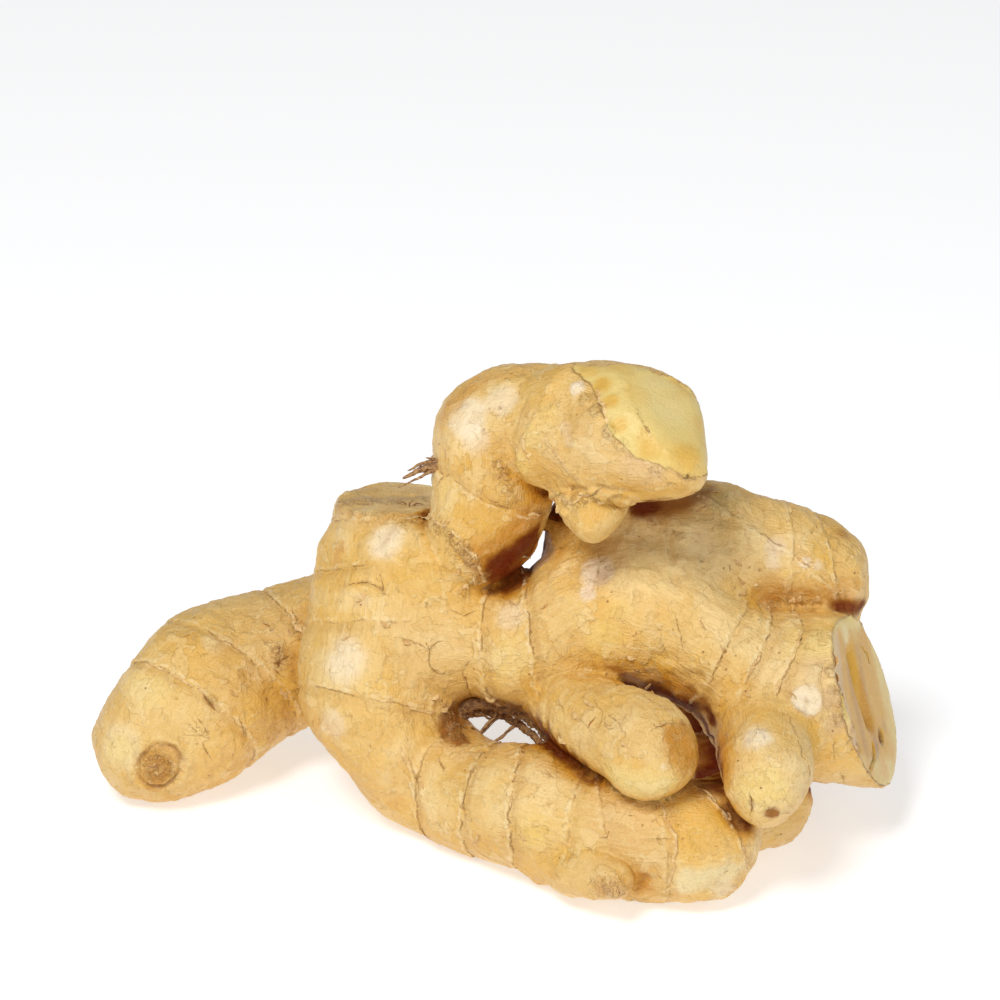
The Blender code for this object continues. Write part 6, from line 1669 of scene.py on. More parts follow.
    (3.7, 8.1, 98.2, 1.4, "orange", 0.32, 0.8),
    (4.9, 7.6, 98.4, 1.4, "orange", 0.32, 0.8),
    (6.1, 7.2, 98.6, 1.4, "orange", 0.32, 0.8),
    (-4.1, 11.7, 95.7, 1.4, "orange", 0.32, 0.8),
    (-2.9, 10.2, 96.2, 1.4, "orange", 0.32, 0.8),
    (-1.7, 9.2, 96.7, 1.4, "orange", 0.32, 0.8),
    (-0.5, 8.4, 97.0, 1.4, "orange", 0.32, 0.8),
    (0.7, 7.8, 97.3, 1.4, "orange", 0.32, 0.8),
    (1.9, 7.1, 97.5, 1.4, "orange", 0.32, 0.8),
    (3.1, 6.5, 97.8, 1.4, "orange", 0.32, 0.8),
    (-5.9, 11.9, 94.4, 1.4, "orange", 0.32, 0.8),
    (-4.7, 9.8, 95.3, 1.4, "orange", 0.32, 0.8),
    (-3.5, 8.6, 95.8, 1.4, "orange", 0.32, 0.8),
    (-2.3, 7.8, 96.1, 1.4, "orange", 0.32, 0.8),
    (-1.1, 7.0, 96.4, 1.4, "orange", 0.32, 0.8),
    (-7.8, 13.0, 92.8, 1.4, "orange", 0.32, 0.8),
    (-6.5, 10.1, 94.0, 1.4, "orange", 0.32, 0.8),
    (-5.3, 8.5, 94.7, 1.4, "orange", 0.32, 0.8),
    (-4.1, 7.4, 95.1, 1.4, "orange", 0.32, 0.8),
    (-2.9, 6.6, 95.5, 1.4, "orange", 0.32, 0.8),
    (-8.3, 11.1, 92.5, 1.4, "orange", 0.32, 0.8),
    (-7.1, 8.9, 93.4, 1.4, "orange", 0.32, 0.8),
    (-5.9, 7.6, 93.9, 1.4, "orange", 0.32, 0.8),
    (-4.7, 6.5, 94.4, 1.4, "orange", 0.32, 0.8),
    (-8.9, 10.1, 91.8, 1.4, "orange", 0.32, 0.8),
    (-7.7, 8.1, 92.6, 1.4, "orange", 0.32, 0.8),
    (-6.5, 6.8, 93.1, 1.4, "orange", 0.32, 0.8),
    (-9.5, 9.5, 90.9, 1.4, "orange", 0.32, 0.8),
    (-8.3, 7.4, 91.8, 1.4, "orange", 0.32, 0.8),
    (-7.1, 6.1, 92.3, 1.4, "orange", 0.32, 0.8),
    (-10.1, 9.3, 89.8, 1.4, "orange", 0.32, 0.8),
    (-8.9, 7.0, 90.8, 1.4, "orange", 0.32, 0.8),
    (-7.7, 5.6, 91.4, 1.4, "orange", 0.32, 0.8),
    (-10.7, 9.3, 88.7, 1.4, "orange", 0.32, 0.8),
    (-9.5, 6.8, 89.7, 1.4, "orange", 0.32, 0.8),
    (-8.3, 5.3, 90.4, 1.4, "orange", 0.32, 0.8),
    (-11.4, 9.5, 87.5, 1.4, "orange", 0.32, 0.8),
    (-10.1, 6.8, 88.6, 1.4, "orange", 0.32, 0.8),
    (-8.9, 5.2, 89.3, 1.4, "orange", 0.32, 0.8),
    (-10.7, 6.8, 87.5, 1.4, "orange", 0.32, 0.8),
    (-9.5, 5.1, 88.2, 1.4, "orange", 0.32, 0.8),
    (-10.1, 5.1, 87.1, 1.4, "orange", 0.32, 0.8),
    # painted shade in the slit between the upper and the thick finger: umber
    (68.8, 3.5, 49.3, 1.2, "umber", 0.5, 0.8),
    (69.8, 3.7, 49.2, 1.2, "umber", 0.5, 0.8),
    (70.9, 3.8, 49.1, 1.2, "umber", 0.5, 0.8),
    (71.9, 4.0, 49.0, 1.2, "umber", 0.5, 0.8),
    (72.9, 4.2, 48.9, 1.2, "umber", 0.5, 0.8),
    (74.0, 4.7, 48.7, 1.2, "umber", 0.5, 0.8),
    (75.1, 5.6, 48.3, 1.2, "umber", 0.5, 0.8),
    (69.4, 3.4, 48.3, 1.2, "umber", 0.5, 0.8),
    (70.4, 3.6, 48.3, 1.2, "umber", 0.5, 0.8),
    (71.4, 3.7, 48.2, 1.2, "umber", 0.5, 0.8),
    (72.5, 3.9, 48.1, 1.2, "umber", 0.5, 0.8),
    (73.5, 4.4, 47.9, 1.2, "umber", 0.5, 0.8),
    (74.6, 5.2, 47.5, 1.2, "umber", 0.5, 0.8),
    (70.9, 3.0, 47.5, 1.2, "umber", 0.5, 0.8),
    (71.9, 3.3, 47.4, 1.2, "umber", 0.5, 0.8),
    (73.0, 3.8, 47.1, 1.2, "umber", 0.5, 0.8),
    (74.1, 4.8, 46.7, 1.2, "umber", 0.5, 0.8),
    (22.1, -44.5, 12.2, 1.4, "ochre", 0.3, 0.8),
    (23.3, -44.7, 12.4, 1.4, "ochre", 0.3, 0.8),
    (24.5, -44.6, 12.3, 1.4, "ochre", 0.3, 0.8),
    (20.4, -44.2, 10.9, 1.4, "ochre", 0.3, 0.8),
    (21.5, -44.6, 11.1, 1.4, "ochre", 0.3, 0.8),
    (22.7, -45.0, 11.4, 1.4, "ochre", 0.3, 0.8),
    (23.9, -45.0, 11.4, 1.4, "ochre", 0.3, 0.8),
    (25.1, -44.8, 11.2, 1.4, "ochre", 0.3, 0.8),
    (21.0, -44.4, 9.9, 1.4, "ochre", 0.3, 0.8),
    (22.1, -44.9, 10.1, 1.4, "ochre", 0.3, 0.8),
    (23.3, -45.1, 10.3, 1.4, "ochre", 0.3, 0.8),
    (24.5, -45.0, 10.2, 1.4, "ochre", 0.3, 0.8),
    (22.7, -44.6, 8.8, 1.4, "ochre", 0.3, 0.8),
    (23.9, -44.7, 8.9, 1.4, "ochre", 0.3, 0.8),
    (25.1, -44.2, 8.6, 1.4, "ochre", 0.3, 0.8),
    (29.0, -41.1, 11.6, 1.2, "ochre", 0.3, 0.8),
    (27.6, -41.3, 10.7, 1.2, "ochre", 0.3, 0.8),
    (28.6, -40.8, 10.5, 1.2, "ochre", 0.3, 0.8),
    (29.6, -41.1, 10.6, 1.2, "ochre", 0.3, 0.8),
    (27.0, -43.3, 10.8, 1.2, "ochre", 0.3, 0.8),
    (28.1, -40.5, 9.3, 1.2, "ochre", 0.3, 0.8),
    (29.1, -40.7, 9.4, 1.2, "ochre", 0.3, 0.8),
    (30.1, -41.0, 9.6, 1.2, "ochre", 0.3, 0.8),
    (26.5, -43.9, 10.2, 1.2, "ochre", 0.3, 0.8),
    (27.7, -39.9, 8.0, 1.2, "ochre", 0.3, 0.8),
    (28.6, -40.2, 8.1, 1.2, "ochre", 0.3, 0.8),
    (29.6, -40.5, 8.3, 1.2, "ochre", 0.3, 0.8),
    (30.6, -40.7, 8.4, 1.2, "ochre", 0.3, 0.8),
    (28.2, -39.5, 6.7, 1.2, "ochre", 0.3, 0.8),
    (29.1, -39.8, 6.9, 1.2, "ochre", 0.3, 0.8),
    (30.1, -40.1, 7.1, 1.2, "ochre", 0.3, 0.8),
    (31.1, -40.3, 7.2, 1.2, "ochre", 0.3, 0.8),
    (-30.2, 29.4, 62.9, 2.1, "dry", 0.3, 0.8),
    (-28.3, 29.4, 62.9, 2.1, "dry", 0.3, 0.8),
    (-26.4, 29.4, 62.9, 2.1, "dry", 0.3, 0.8),
    (-24.6, 29.4, 62.9, 2.1, "dry", 0.3, 0.8),
    (-22.7, 29.4, 62.9, 2.1, "dry", 0.3, 0.8),
    (-20.8, 29.4, 62.9, 2.1, "dry", 0.3, 0.8),
    (-18.9, 29.4, 62.9, 2.1, "dry", 0.3, 0.8),
    (-17.1, 29.4, 62.9, 2.1, "dry", 0.3, 0.8),
    (-15.2, 29.4, 62.9, 2.1, "dry", 0.3, 0.8),
    (-30.9, 23.9, 63.6, 2.1, "dry", 0.3, 0.8),
    (-29.0, 23.9, 63.6, 2.1, "dry", 0.3, 0.8),
    (-27.2, 23.9, 63.6, 2.1, "dry", 0.3, 0.8),
    (-25.3, 23.9, 63.6, 2.1, "dry", 0.3, 0.8),
    (-23.4, 23.9, 63.6, 2.1, "dry", 0.3, 0.8),
    (-21.6, 23.9, 63.6, 2.1, "dry", 0.3, 0.8),
    (-19.7, 23.9, 63.6, 2.1, "dry", 0.3, 0.8),
    (-32.2, 19.2, 63.1, 1.4, "ochre", 0.14, 0.8),
    (-32.9, 19.6, 61.8, 1.4, "ochre", 0.14, 0.8),
    (-31.5, 17.3, 62.8, 1.4, "ochre", 0.14, 0.8),
    (-30.2, 15.8, 63.5, 1.4, "ochre", 0.14, 0.8),
    (-29.0, 14.7, 64.0, 1.4, "ochre", 0.14, 0.8),
    (-27.7, 13.8, 64.4, 1.4, "ochre", 0.14, 0.8),
    (-26.5, 13.1, 64.7, 1.4, "ochre", 0.14, 0.8),
    (-21.5, 11.3, 65.5, 1.4, "ochre", 0.14, 0.8),
    (-20.3, 11.0, 65.7, 1.4, "ochre", 0.14, 0.8),
    (-19.0, 10.8, 65.7, 1.4, "ochre", 0.14, 0.8),
    (-17.8, 10.7, 65.8, 1.4, "ochre", 0.14, 0.8),
    (-16.6, 10.8, 65.7, 1.4, "ochre", 0.14, 0.8),
    (-15.4, 11.0, 65.6, 1.4, "ochre", 0.14, 0.8),
    (-14.2, 11.3, 65.5, 1.4, "ochre", 0.14, 0.8),
    (-28.3, 13.5, 63.4, 1.4, "ochre", 0.14, 0.8),
    (-27.1, 12.7, 63.7, 1.4, "ochre", 0.14, 0.8),
    (-25.8, 12.0, 64.0, 1.4, "ochre", 0.14, 0.8),
    (-24.6, 11.4, 64.3, 1.4, "ochre", 0.14, 0.8),
    (-23.3, 10.9, 64.5, 1.4, "ochre", 0.14, 0.8),
    (-22.1, 10.5, 64.7, 1.4, "ochre", 0.14, 0.8),
    (-20.9, 10.1, 64.9, 1.4, "ochre", 0.14, 0.8),
    (-19.6, 9.8, 65.0, 1.4, "ochre", 0.14, 0.8),
    (-18.4, 9.6, 65.1, 1.4, "ochre", 0.14, 0.8),
    (29.6, -12.8, 48.4, 1.8, "gold", 0.2, 0.8),
    (30.4, -13.1, 47.0, 1.8, "gold", 0.2, 0.8),
    (32.0, -13.5, 47.2, 1.8, "gold", 0.2, 0.8),
    (33.6, -13.9, 47.4, 1.8, "gold", 0.2, 0.8),
    (35.1, -14.3, 47.6, 1.8, "gold", 0.2, 0.8),
    (29.6, -13.0, 45.4, 1.8, "gold", 0.2, 0.8),
    (31.2, -13.5, 45.7, 1.8, "gold", 0.2, 0.8),
    (32.8, -13.9, 45.9, 1.8, "gold", 0.2, 0.8),
    (34.4, -14.4, 46.1, 1.8, "gold", 0.2, 0.8),
    (35.9, -14.8, 46.3, 1.8, "gold", 0.2, 0.8),
    (37.5, -15.1, 46.5, 1.8, "gold", 0.2, 0.8),
    (39.1, -15.5, 46.7, 1.8, "gold", 0.2, 0.8),
    (40.7, -15.7, 46.8, 1.8, "gold", 0.2, 0.8),
    (32.0, -13.7, 44.2, 1.8, "gold", 0.2, 0.8),
    (33.6, -14.2, 44.5, 1.8, "gold", 0.2, 0.8),
    (35.2, -14.7, 44.7, 1.8, "gold", 0.2, 0.8),
    (36.7, -15.2, 44.9, 1.8, "gold", 0.2, 0.8),
    (38.3, -15.6, 45.2, 1.8, "gold", 0.2, 0.8),
    (39.9, -16.0, 45.4, 1.8, "gold", 0.2, 0.8),
    (-39.4, 2.4, 29.5, 2.1, "orange", 0.14, 0.8),
    (-38.4, 0.1, 28.9, 2.0, "orange", 0.14, 0.8),
    (-36.4, -2.4, 30.1, 2.0, "orange", 0.14, 0.8),
    (-39.5, 2.2, 26.0, 2.1, "orange", 0.14, 0.8),
    (-37.4, -1.7, 28.0, 2.0, "orange", 0.14, 0.8),
    (-35.5, -3.8, 29.1, 2.0, "orange", 0.14, 0.8),
    (-38.4, -0.1, 25.4, 2.1, "orange", 0.14, 0.8),
    (-36.4, -3.3, 27.0, 2.0, "orange", 0.14, 0.8),
    (-34.5, -5.0, 27.9, 2.0, "orange", 0.14, 0.8),
    (-37.5, -1.7, 24.4, 2.0, "orange", 0.14, 0.8),
    (-35.5, -4.6, 25.9, 2.0, "orange", 0.14, 0.8),
    (-33.6, -6.2, 26.7, 2.0, "orange", 0.14, 0.8),
    (-36.5, -2.9, 23.2, 2.0, "orange", 0.14, 0.8),
    (-34.5, -5.7, 24.7, 2.0, "orange", 0.14, 0.8),
    (-32.6, -7.1, 25.4, 2.0, "orange", 0.14, 0.8),
    (-35.6, -3.7, 21.8, 2.0, "orange", 0.14, 0.8),
    (-33.6, -6.6, 23.4, 2.0, "orange", 0.14, 0.8),
    (-34.7, -4.0, 20.2, 2.0, "orange", 0.14, 0.8),
    (-32.7, -7.4, 22.0, 2.0, "orange", 0.14, 0.8),
    (-31.8, -7.9, 20.4, 2.0, "orange", 0.14, 0.8),
    (-30.9, -8.1, 18.7, 2.0, "orange", 0.14, 0.8),
    (-30.0, -8.0, 16.9, 2.0, "orange", 0.14, 0.8),
    (-29.1, -7.3, 14.7, 2.0, "orange", 0.14, 0.8),
    (-25.4, -8.9, 11.9, 2.0, "orange", 0.14, 0.8),
    (-24.6, -7.6, 9.4, 2.1, "orange", 0.14, 0.8),
    # painted light: a faint cream wash lifts the shadow that the end joint casts on the middle joint
    (22.1, -15.4, 74.3, 2.8, "cream", 0.2, 0.8),
    (25.3, 5.0, 65.0, 2.8, "cream", 0.2, 0.8),
    (27.9, 4.9, 65.1, 2.8, "cream", 0.2, 0.8),
    (30.6, 4.8, 65.1, 2.8, "cream", 0.2, 0.8),
    (33.2, 4.8, 65.2, 2.8, "cream", 0.2, 0.8),
    (35.8, 4.7, 65.2, 2.8, "cream", 0.2, 0.8),
    (38.4, 4.6, 65.2, 2.8, "cream", 0.2, 0.8),
    (41.1, 4.6, 65.2, 2.8, "cream", 0.2, 0.8),
    (21.4, 3.5, 63.2, 2.8, "cream", 0.2, 0.8),
    (24.0, 3.1, 63.4, 2.8, "cream", 0.2, 0.8),
    (26.6, 2.7, 63.6, 2.8, "cream", 0.2, 0.8),
    (29.2, 2.5, 63.7, 2.8, "cream", 0.2, 0.8),
    (31.8, 2.6, 63.6, 2.8, "cream", 0.2, 0.8),
    (34.5, 2.8, 63.5, 2.8, "cream", 0.2, 0.8),
    (37.1, 3.0, 63.5, 2.8, "cream", 0.2, 0.8),
    (39.7, 3.1, 63.4, 2.8, "cream", 0.2, 0.8),
    (42.4, 3.2, 63.4, 2.8, "cream", 0.2, 0.8),
    (22.6, 0.1, 62.3, 2.8, "cream", 0.2, 0.8),
    (25.2, -0.4, 62.5, 2.8, "cream", 0.2, 0.8),
    (27.8, -0.6, 62.6, 2.8, "cream", 0.2, 0.8),
    (30.4, -0.5, 62.5, 2.8, "cream", 0.2, 0.8),
    (33.1, 0.0, 62.3, 2.8, "cream", 0.2, 0.8),
    (35.7, 0.6, 62.1, 2.8, "cream", 0.2, 0.8),
    (38.3, 1.1, 61.8, 2.8, "cream", 0.2, 0.8),
    (41.0, 1.6, 61.6, 2.8, "cream", 0.2, 0.8),
    (43.6, 1.8, 61.5, 2.8, "cream", 0.2, 0.8),
    (21.3, -2.3, 60.9, 2.8, "cream", 0.2, 0.8),
    (23.9, -3.0, 61.2, 2.8, "cream", 0.2, 0.8),
    (26.4, -3.3, 61.3, 2.8, "cream", 0.2, 0.8),
    (29.1, -3.4, 61.4, 2.8, "cream", 0.2, 0.8),
    (31.7, -3.1, 61.2, 2.8, "cream", 0.2, 0.8),
    (34.3, -2.5, 60.9, 2.8, "cream", 0.2, 0.8),
    (37.0, -1.7, 60.6, 2.8, "cream", 0.2, 0.8),
    (39.6, -0.9, 60.2, 2.8, "cream", 0.2, 0.8),
    (42.3, 0.0, 59.8, 2.8, "cream", 0.2, 0.8),
    (44.9, 0.6, 59.5, 2.8, "cream", 0.2, 0.8),
    (19.9, -4.2, 59.3, 2.8, "cream", 0.2, 0.8),
    (22.5, -4.9, 59.6, 2.8, "cream", 0.2, 0.8),
    (25.1, -5.4, 59.8, 2.8, "cream", 0.2, 0.8),
    (27.7, -5.7, 59.9, 2.8, "cream", 0.2, 0.8),
    (30.3, -5.5, 59.9, 2.8, "cream", 0.2, 0.8),
    (32.9, -5.1, 59.7, 2.8, "cream", 0.2, 0.8),
    (35.5, -4.5, 59.4, 2.8, "cream", 0.2, 0.8),
    (38.2, -3.7, 59.0, 2.8, "cream", 0.2, 0.8),
    (40.9, -2.8, 58.6, 2.8, "cream", 0.2, 0.8),
    (43.5, -1.7, 58.1, 2.8, "cream", 0.2, 0.8),
    (46.2, -0.7, 57.6, 2.8, "cream", 0.2, 0.8),
    (23.8, -7.1, 58.1, 2.8, "cream", 0.2, 0.8),
    (26.4, -7.4, 58.3, 2.8, "cream", 0.2, 0.8),
    (29.0, -7.5, 58.3, 2.8, "cream", 0.2, 0.8),
    (31.6, -7.3, 58.2, 2.8, "cream", 0.2, 0.8),
    (34.2, -6.9, 58.0, 2.8, "cream", 0.2, 0.8),
    (36.8, -6.4, 57.8, 2.8, "cream", 0.2, 0.8),
    (27.6, -9.0, 56.5, 2.8, "cream", 0.2, 0.8),
    (30.2, -9.0, 56.5, 2.8, "cream", 0.2, 0.8),
    (-18.4, 1.9, 58.9, 2.8, "gold", 0.08, 0.8),
    (-17.0, 0.9, 56.9, 2.8, "gold", 0.08, 0.8),
    (-14.4, 0.5, 57.0, 2.8, "gold", 0.08, 0.8),
    (-18.4, 1.0, 54.3, 2.8, "gold", 0.08, 0.8),
    (-15.7, 0.4, 54.6, 2.8, "gold", 0.08, 0.8),
    (-13.1, 0.2, 54.7, 2.8, "gold", 0.08, 0.8),
    (-10.5, 0.3, 54.6, 2.8, "gold", 0.08, 0.8),
    (-17.1, 0.4, 52.0, 2.8, "gold", 0.08, 0.8),
    (-14.4, 0.0, 52.2, 2.8, "gold", 0.08, 0.8),
    (-11.8, -0.1, 52.3, 2.8, "gold", 0.08, 0.8),
    (-9.2, 0.0, 52.2, 2.8, "gold", 0.08, 0.8),
    (-6.5, 0.5, 52.0, 2.8, "gold", 0.08, 0.8),
    (-18.4, 0.0, 49.7, 2.8, "gold", 0.08, 0.8),
    (-15.8, -0.2, 49.8, 2.8, "gold", 0.08, 0.8),
    (-13.1, -0.5, 49.9, 2.8, "gold", 0.08, 0.8),
    (-10.5, -0.7, 50.0, 2.8, "gold", 0.08, 0.8),
    (-7.9, -0.6, 50.0, 2.8, "gold", 0.08, 0.8),
    (-5.2, -0.4, 49.9, 2.8, "gold", 0.08, 0.8),
    (-17.1, -0.8, 47.5, 2.8, "gold", 0.08, 0.8),
    (-14.4, -1.0, 47.7, 2.8, "gold", 0.08, 0.8),
    (-11.8, -1.3, 47.8, 2.8, "gold", 0.08, 0.8),
    (-9.2, -1.5, 47.9, 2.8, "gold", 0.08, 0.8),
    (-6.5, -1.5, 47.9, 2.8, "gold", 0.08, 0.8),
    (-3.9, -1.6, 47.9, 2.8, "gold", 0.08, 0.8),
    (-7.9, -2.3, 45.7, 2.8, "gold", 0.08, 0.8),
    (-5.2, -2.5, 45.8, 2.8, "gold", 0.08, 0.8),
    (21.5, -37.5, 18.6, 2.6, "orange", 0.08, 0.8),
    (23.9, -38.0, 18.8, 2.6, "orange", 0.08, 0.8),
    (26.2, -38.5, 19.1, 2.6, "orange", 0.08, 0.8),
    (28.6, -38.9, 19.3, 2.6, "orange", 0.08, 0.8),
    (30.9, -39.3, 19.6, 2.6, "orange", 0.08, 0.8),
    (25.0, -39.2, 17.1, 2.6, "orange", 0.08, 0.8),
    (27.4, -39.7, 17.4, 2.6, "orange", 0.08, 0.8),
    (29.7, -40.2, 17.7, 2.6, "orange", 0.08, 0.8),
    (26.2, -40.1, 15.3, 2.6, "orange", 0.08, 0.8),
    (28.6, -40.6, 15.6, 2.6, "orange", 0.08, 0.8),
    (30.9, -41.1, 15.9, 2.6, "orange", 0.08, 0.8),
    (29.8, -41.2, 13.6, 2.6, "orange", 0.08, 0.8),
    (32.1, -41.7, 13.9, 2.6, "orange", 0.08, 0.8),
    (20.7, -3.8, 59.8, 3.4, "rose", 0.9, 0.4),
    (20.7, -3.8, 59.8, 1.0, "brown", 0.35, 0.8),
    (18.8, -6.5, 56.6, 1.8, "rose", 0.8, 0.4),
    (51.6, -34.7, 37.9, 2.4, "white", 0.8, 0.5),
    (49.0, -41.6, 30.5, 3.1, "yellow", 0.5, 0.8),
    (57.8, -38.6, 35.5, 2.3, "cream", 0.5, 0.8),
    (54.3, -43.4, 26.3, 1.6, "brown", 0.8, 0.5),
    (50.4, -42.7, 28.0, 0.8, "brown", 0.7, 0.6),
]

# Skin rubbed or sliced away: points along the middle, half width, how steep its border is.
FLESH = [
    ([(25.5, -10.8, 104.3), (30.4, -13.0, 102.0), (35.2, -15.9, 97.9), (38.0, -20.1, 94.5)], 6.6, 0.7),
    ([(69.3, -6.6, 47.7), (69.2, -10.9, 44.7), (70.5, -12.7, 40.0), (72.5, -12.8, 34.4), (75.2, -11.6, 27.7)], 1.8, 0.8),
    ([(23.1, -13.9, 103.0), (26.1, -20.3, 99.0), (29.1, -23.0, 95.5), (33.6, -23.5, 94.9)], 2.3, 0.8),
    ([(23.1, -7.8, 104.7), (28.6, -6.9, 104.4)], 2.7, 0.7),
    ([(18.1, -4.5, 103.8), (20.7, -9.0, 104.0), (22.7, -15.1, 102.2), (24.6, -19.8, 98.8), (28.2, -22.8, 95.4), (33.6, -24.1, 93.9)], 2.4, 0.8),
]

# Swellings and hollows: points along the middle, radius, height.
LUMPS = [
    ([(72.3, -3.9, 41.2), (73.9, -6.7, 34.7), (76.2, -7.2, 28.2)], 3.2, -1.3),
    ([(5.5, -2.2, 96.1), (3.8, -3.0, 91.4), (2.8, -2.6, 85.9)], 1.8, -0.8),
    ([(13.4, -12.1, 76.7)], 1.8, 0.9),
    ([(23.8, -14.3, 78.1)], 1.8, 0.9),
    ([(18.9, -16.1, 75.1)], 2.4, 0.7),
    ([(11.7, -7.1, 79.0), (15.3, -12.9, 82.0), (19.2, -16.8, 84.8), (23.0, -18.8, 84.8), (26.9, -20.1, 84.8)], 1.0, -0.9),
    ([(67.0, -11.7, 48.4), (66.9, -18.4, 43.9), (68.9, -20.6, 38.4), (71.6, -20.2, 31.5)], 1.2, 0.9),
    ([(79.1, -3.8, 22.5)], 1.6, -1.3),
    ([(62.0, -21.9, 39.9)], 3.4, 0.5),
    ([(-79.5, 4.4, 17.6), (-76.2, 1.3, 14.5)], 3.7, -0.5),
    ([(-69.3, -0.2, 13.5)], 5.4, 0.5),
    ([(-50.2, 11.6, 28.7)], 3.7, -0.4),
    ([(-58.2, 12.5, 34.3)], 2.9, 0.5),
    ([(-70.9, 4.3, 26.9), (-62.6, 3.3, 26.2)], 2.5, 0.5),
    ([(16.4, -9.9, 101.8), (20.6, -17.5, 98.6), (23.6, -20.1, 97.2)], 1.8, 0.7),
    ([(36.9, -38.5, 38.8)], 3.9, -0.7),
    ([(21.0, -25.7, 42.1), (28.7, -29.1, 44.2)], 1.8, 0.5),
    ([(20.7, -4.9, 59.0)], 3.0, -0.7),
    ([(-29.2, -5.8, 34.3), (-19.1, -7.4, 31.7)], 1.8, 0.5),
    ([(-29.3, 3.0, 50.3)], 2.8, -0.4),
    ([(-21.1, 5.3, 61.6)], 3.2, 0.5),
    ([(21.8, -44.0, 12.9), (23.8, -45.1, 10.1)], 2.0, 1.2),
    ([(28.9, -40.2, 8.1), (29.6, -41.1, 10.6)], 1.6, -1.7),
    ([(19.3, -42.9, 8.2)], 1.4, -0.5),
    ([(-48.5, 11.1, 12.9)], 2.9, 0.7),
    ([(-52.9, 6.9, 11.6)], 2.1, -0.5),
    ([(40.6, -42.5, 10.4), (47.5, -40.6, 12.5)], 2.4, -0.5),
    ([(20.8, -34.9, 36.9), (19.0, -27.9, 39.9)], 1.6, 0.5),
    ([(30.9, -2.3, 61.7), (35.7, -4.5, 59.4)], 2.8, -0.5),
    ([(31.2, -7.9, 57.7)], 2.0, 0.5),
    ([(-18.1, -10.2, 22.9), (-16.1, -11.7, 17.9), (-14.2, -14.9, 13.9)], 1.2, 0.8),
    ([(-20.1, -11.1, 18.8), (-17.5, -12.1, 12.4)], 1.4, -0.6),
    ([(58.8, 2.5, 60.6), (61.9, 1.7, 56.5)], 2.0, -0.4),
    ([(72.3, 6.2, 57.8)], 2.0, 0.5),
    ([(2.2, -3.7, 47.9), (2.8, -7.0, 41.7)], 2.0, 0.4),
    ([(13.2, -7.6, 50.9), (15.3, -9.4, 42.8)], 2.4, -0.4),
    ([(-6.9, -16.4, 21.6)], 2.0, 0.4),
    ([(9.1, -30.7, 22.4), (10.1, -34.5, 15.5)], 2.4, -0.4),
    ([(24.9, -36.6, 21.1)], 2.0, 0.4),
    ([(18.4, -38.1, 15.2)], 2.8, 0.6),
    ([(51.6, -34.7, 37.9)], 3.1, 0.5),
    ([(54.2, -43.5, 29.3)], 2.7, 0.4),
    ([(41.7, 7.8, 68.2), (46.7, 6.1, 66.7)], 2.4, -0.6),
    ([(29.2, -12.9, 45.7), (35.2, -14.7, 45.4)], 2.4, -0.4),
]

# Folds where the painted fold shade is lifted: points along the middle, half width, amount.
SHADE_LIFTS = [
    ([(52.1, -2.3, 51.9), (59.0, 0.7, 49.2), (66.3, 2.8, 48.6), (72.5, 4.0, 48.5)], 5.2, 0.6),
    ([(10.9, 5.5, 67.0), (11.8, 9.0, 59.9), (9.3, 3.4, 56.9)], 3.2, 0.5),
    ([(23.3, -33.0, 23.7), (29.8, -34.9, 23.3), (36.7, -35.0, 24.2), (41.8, -31.5, 25.1)], 4.4, 0.65),
    ([(10.3, -8.5, 38.8), (16.3, -9.8, 40.8), (23.3, -10.6, 41.6), (30.3, -11.9, 40.1)], 3.6, 0.6),
]

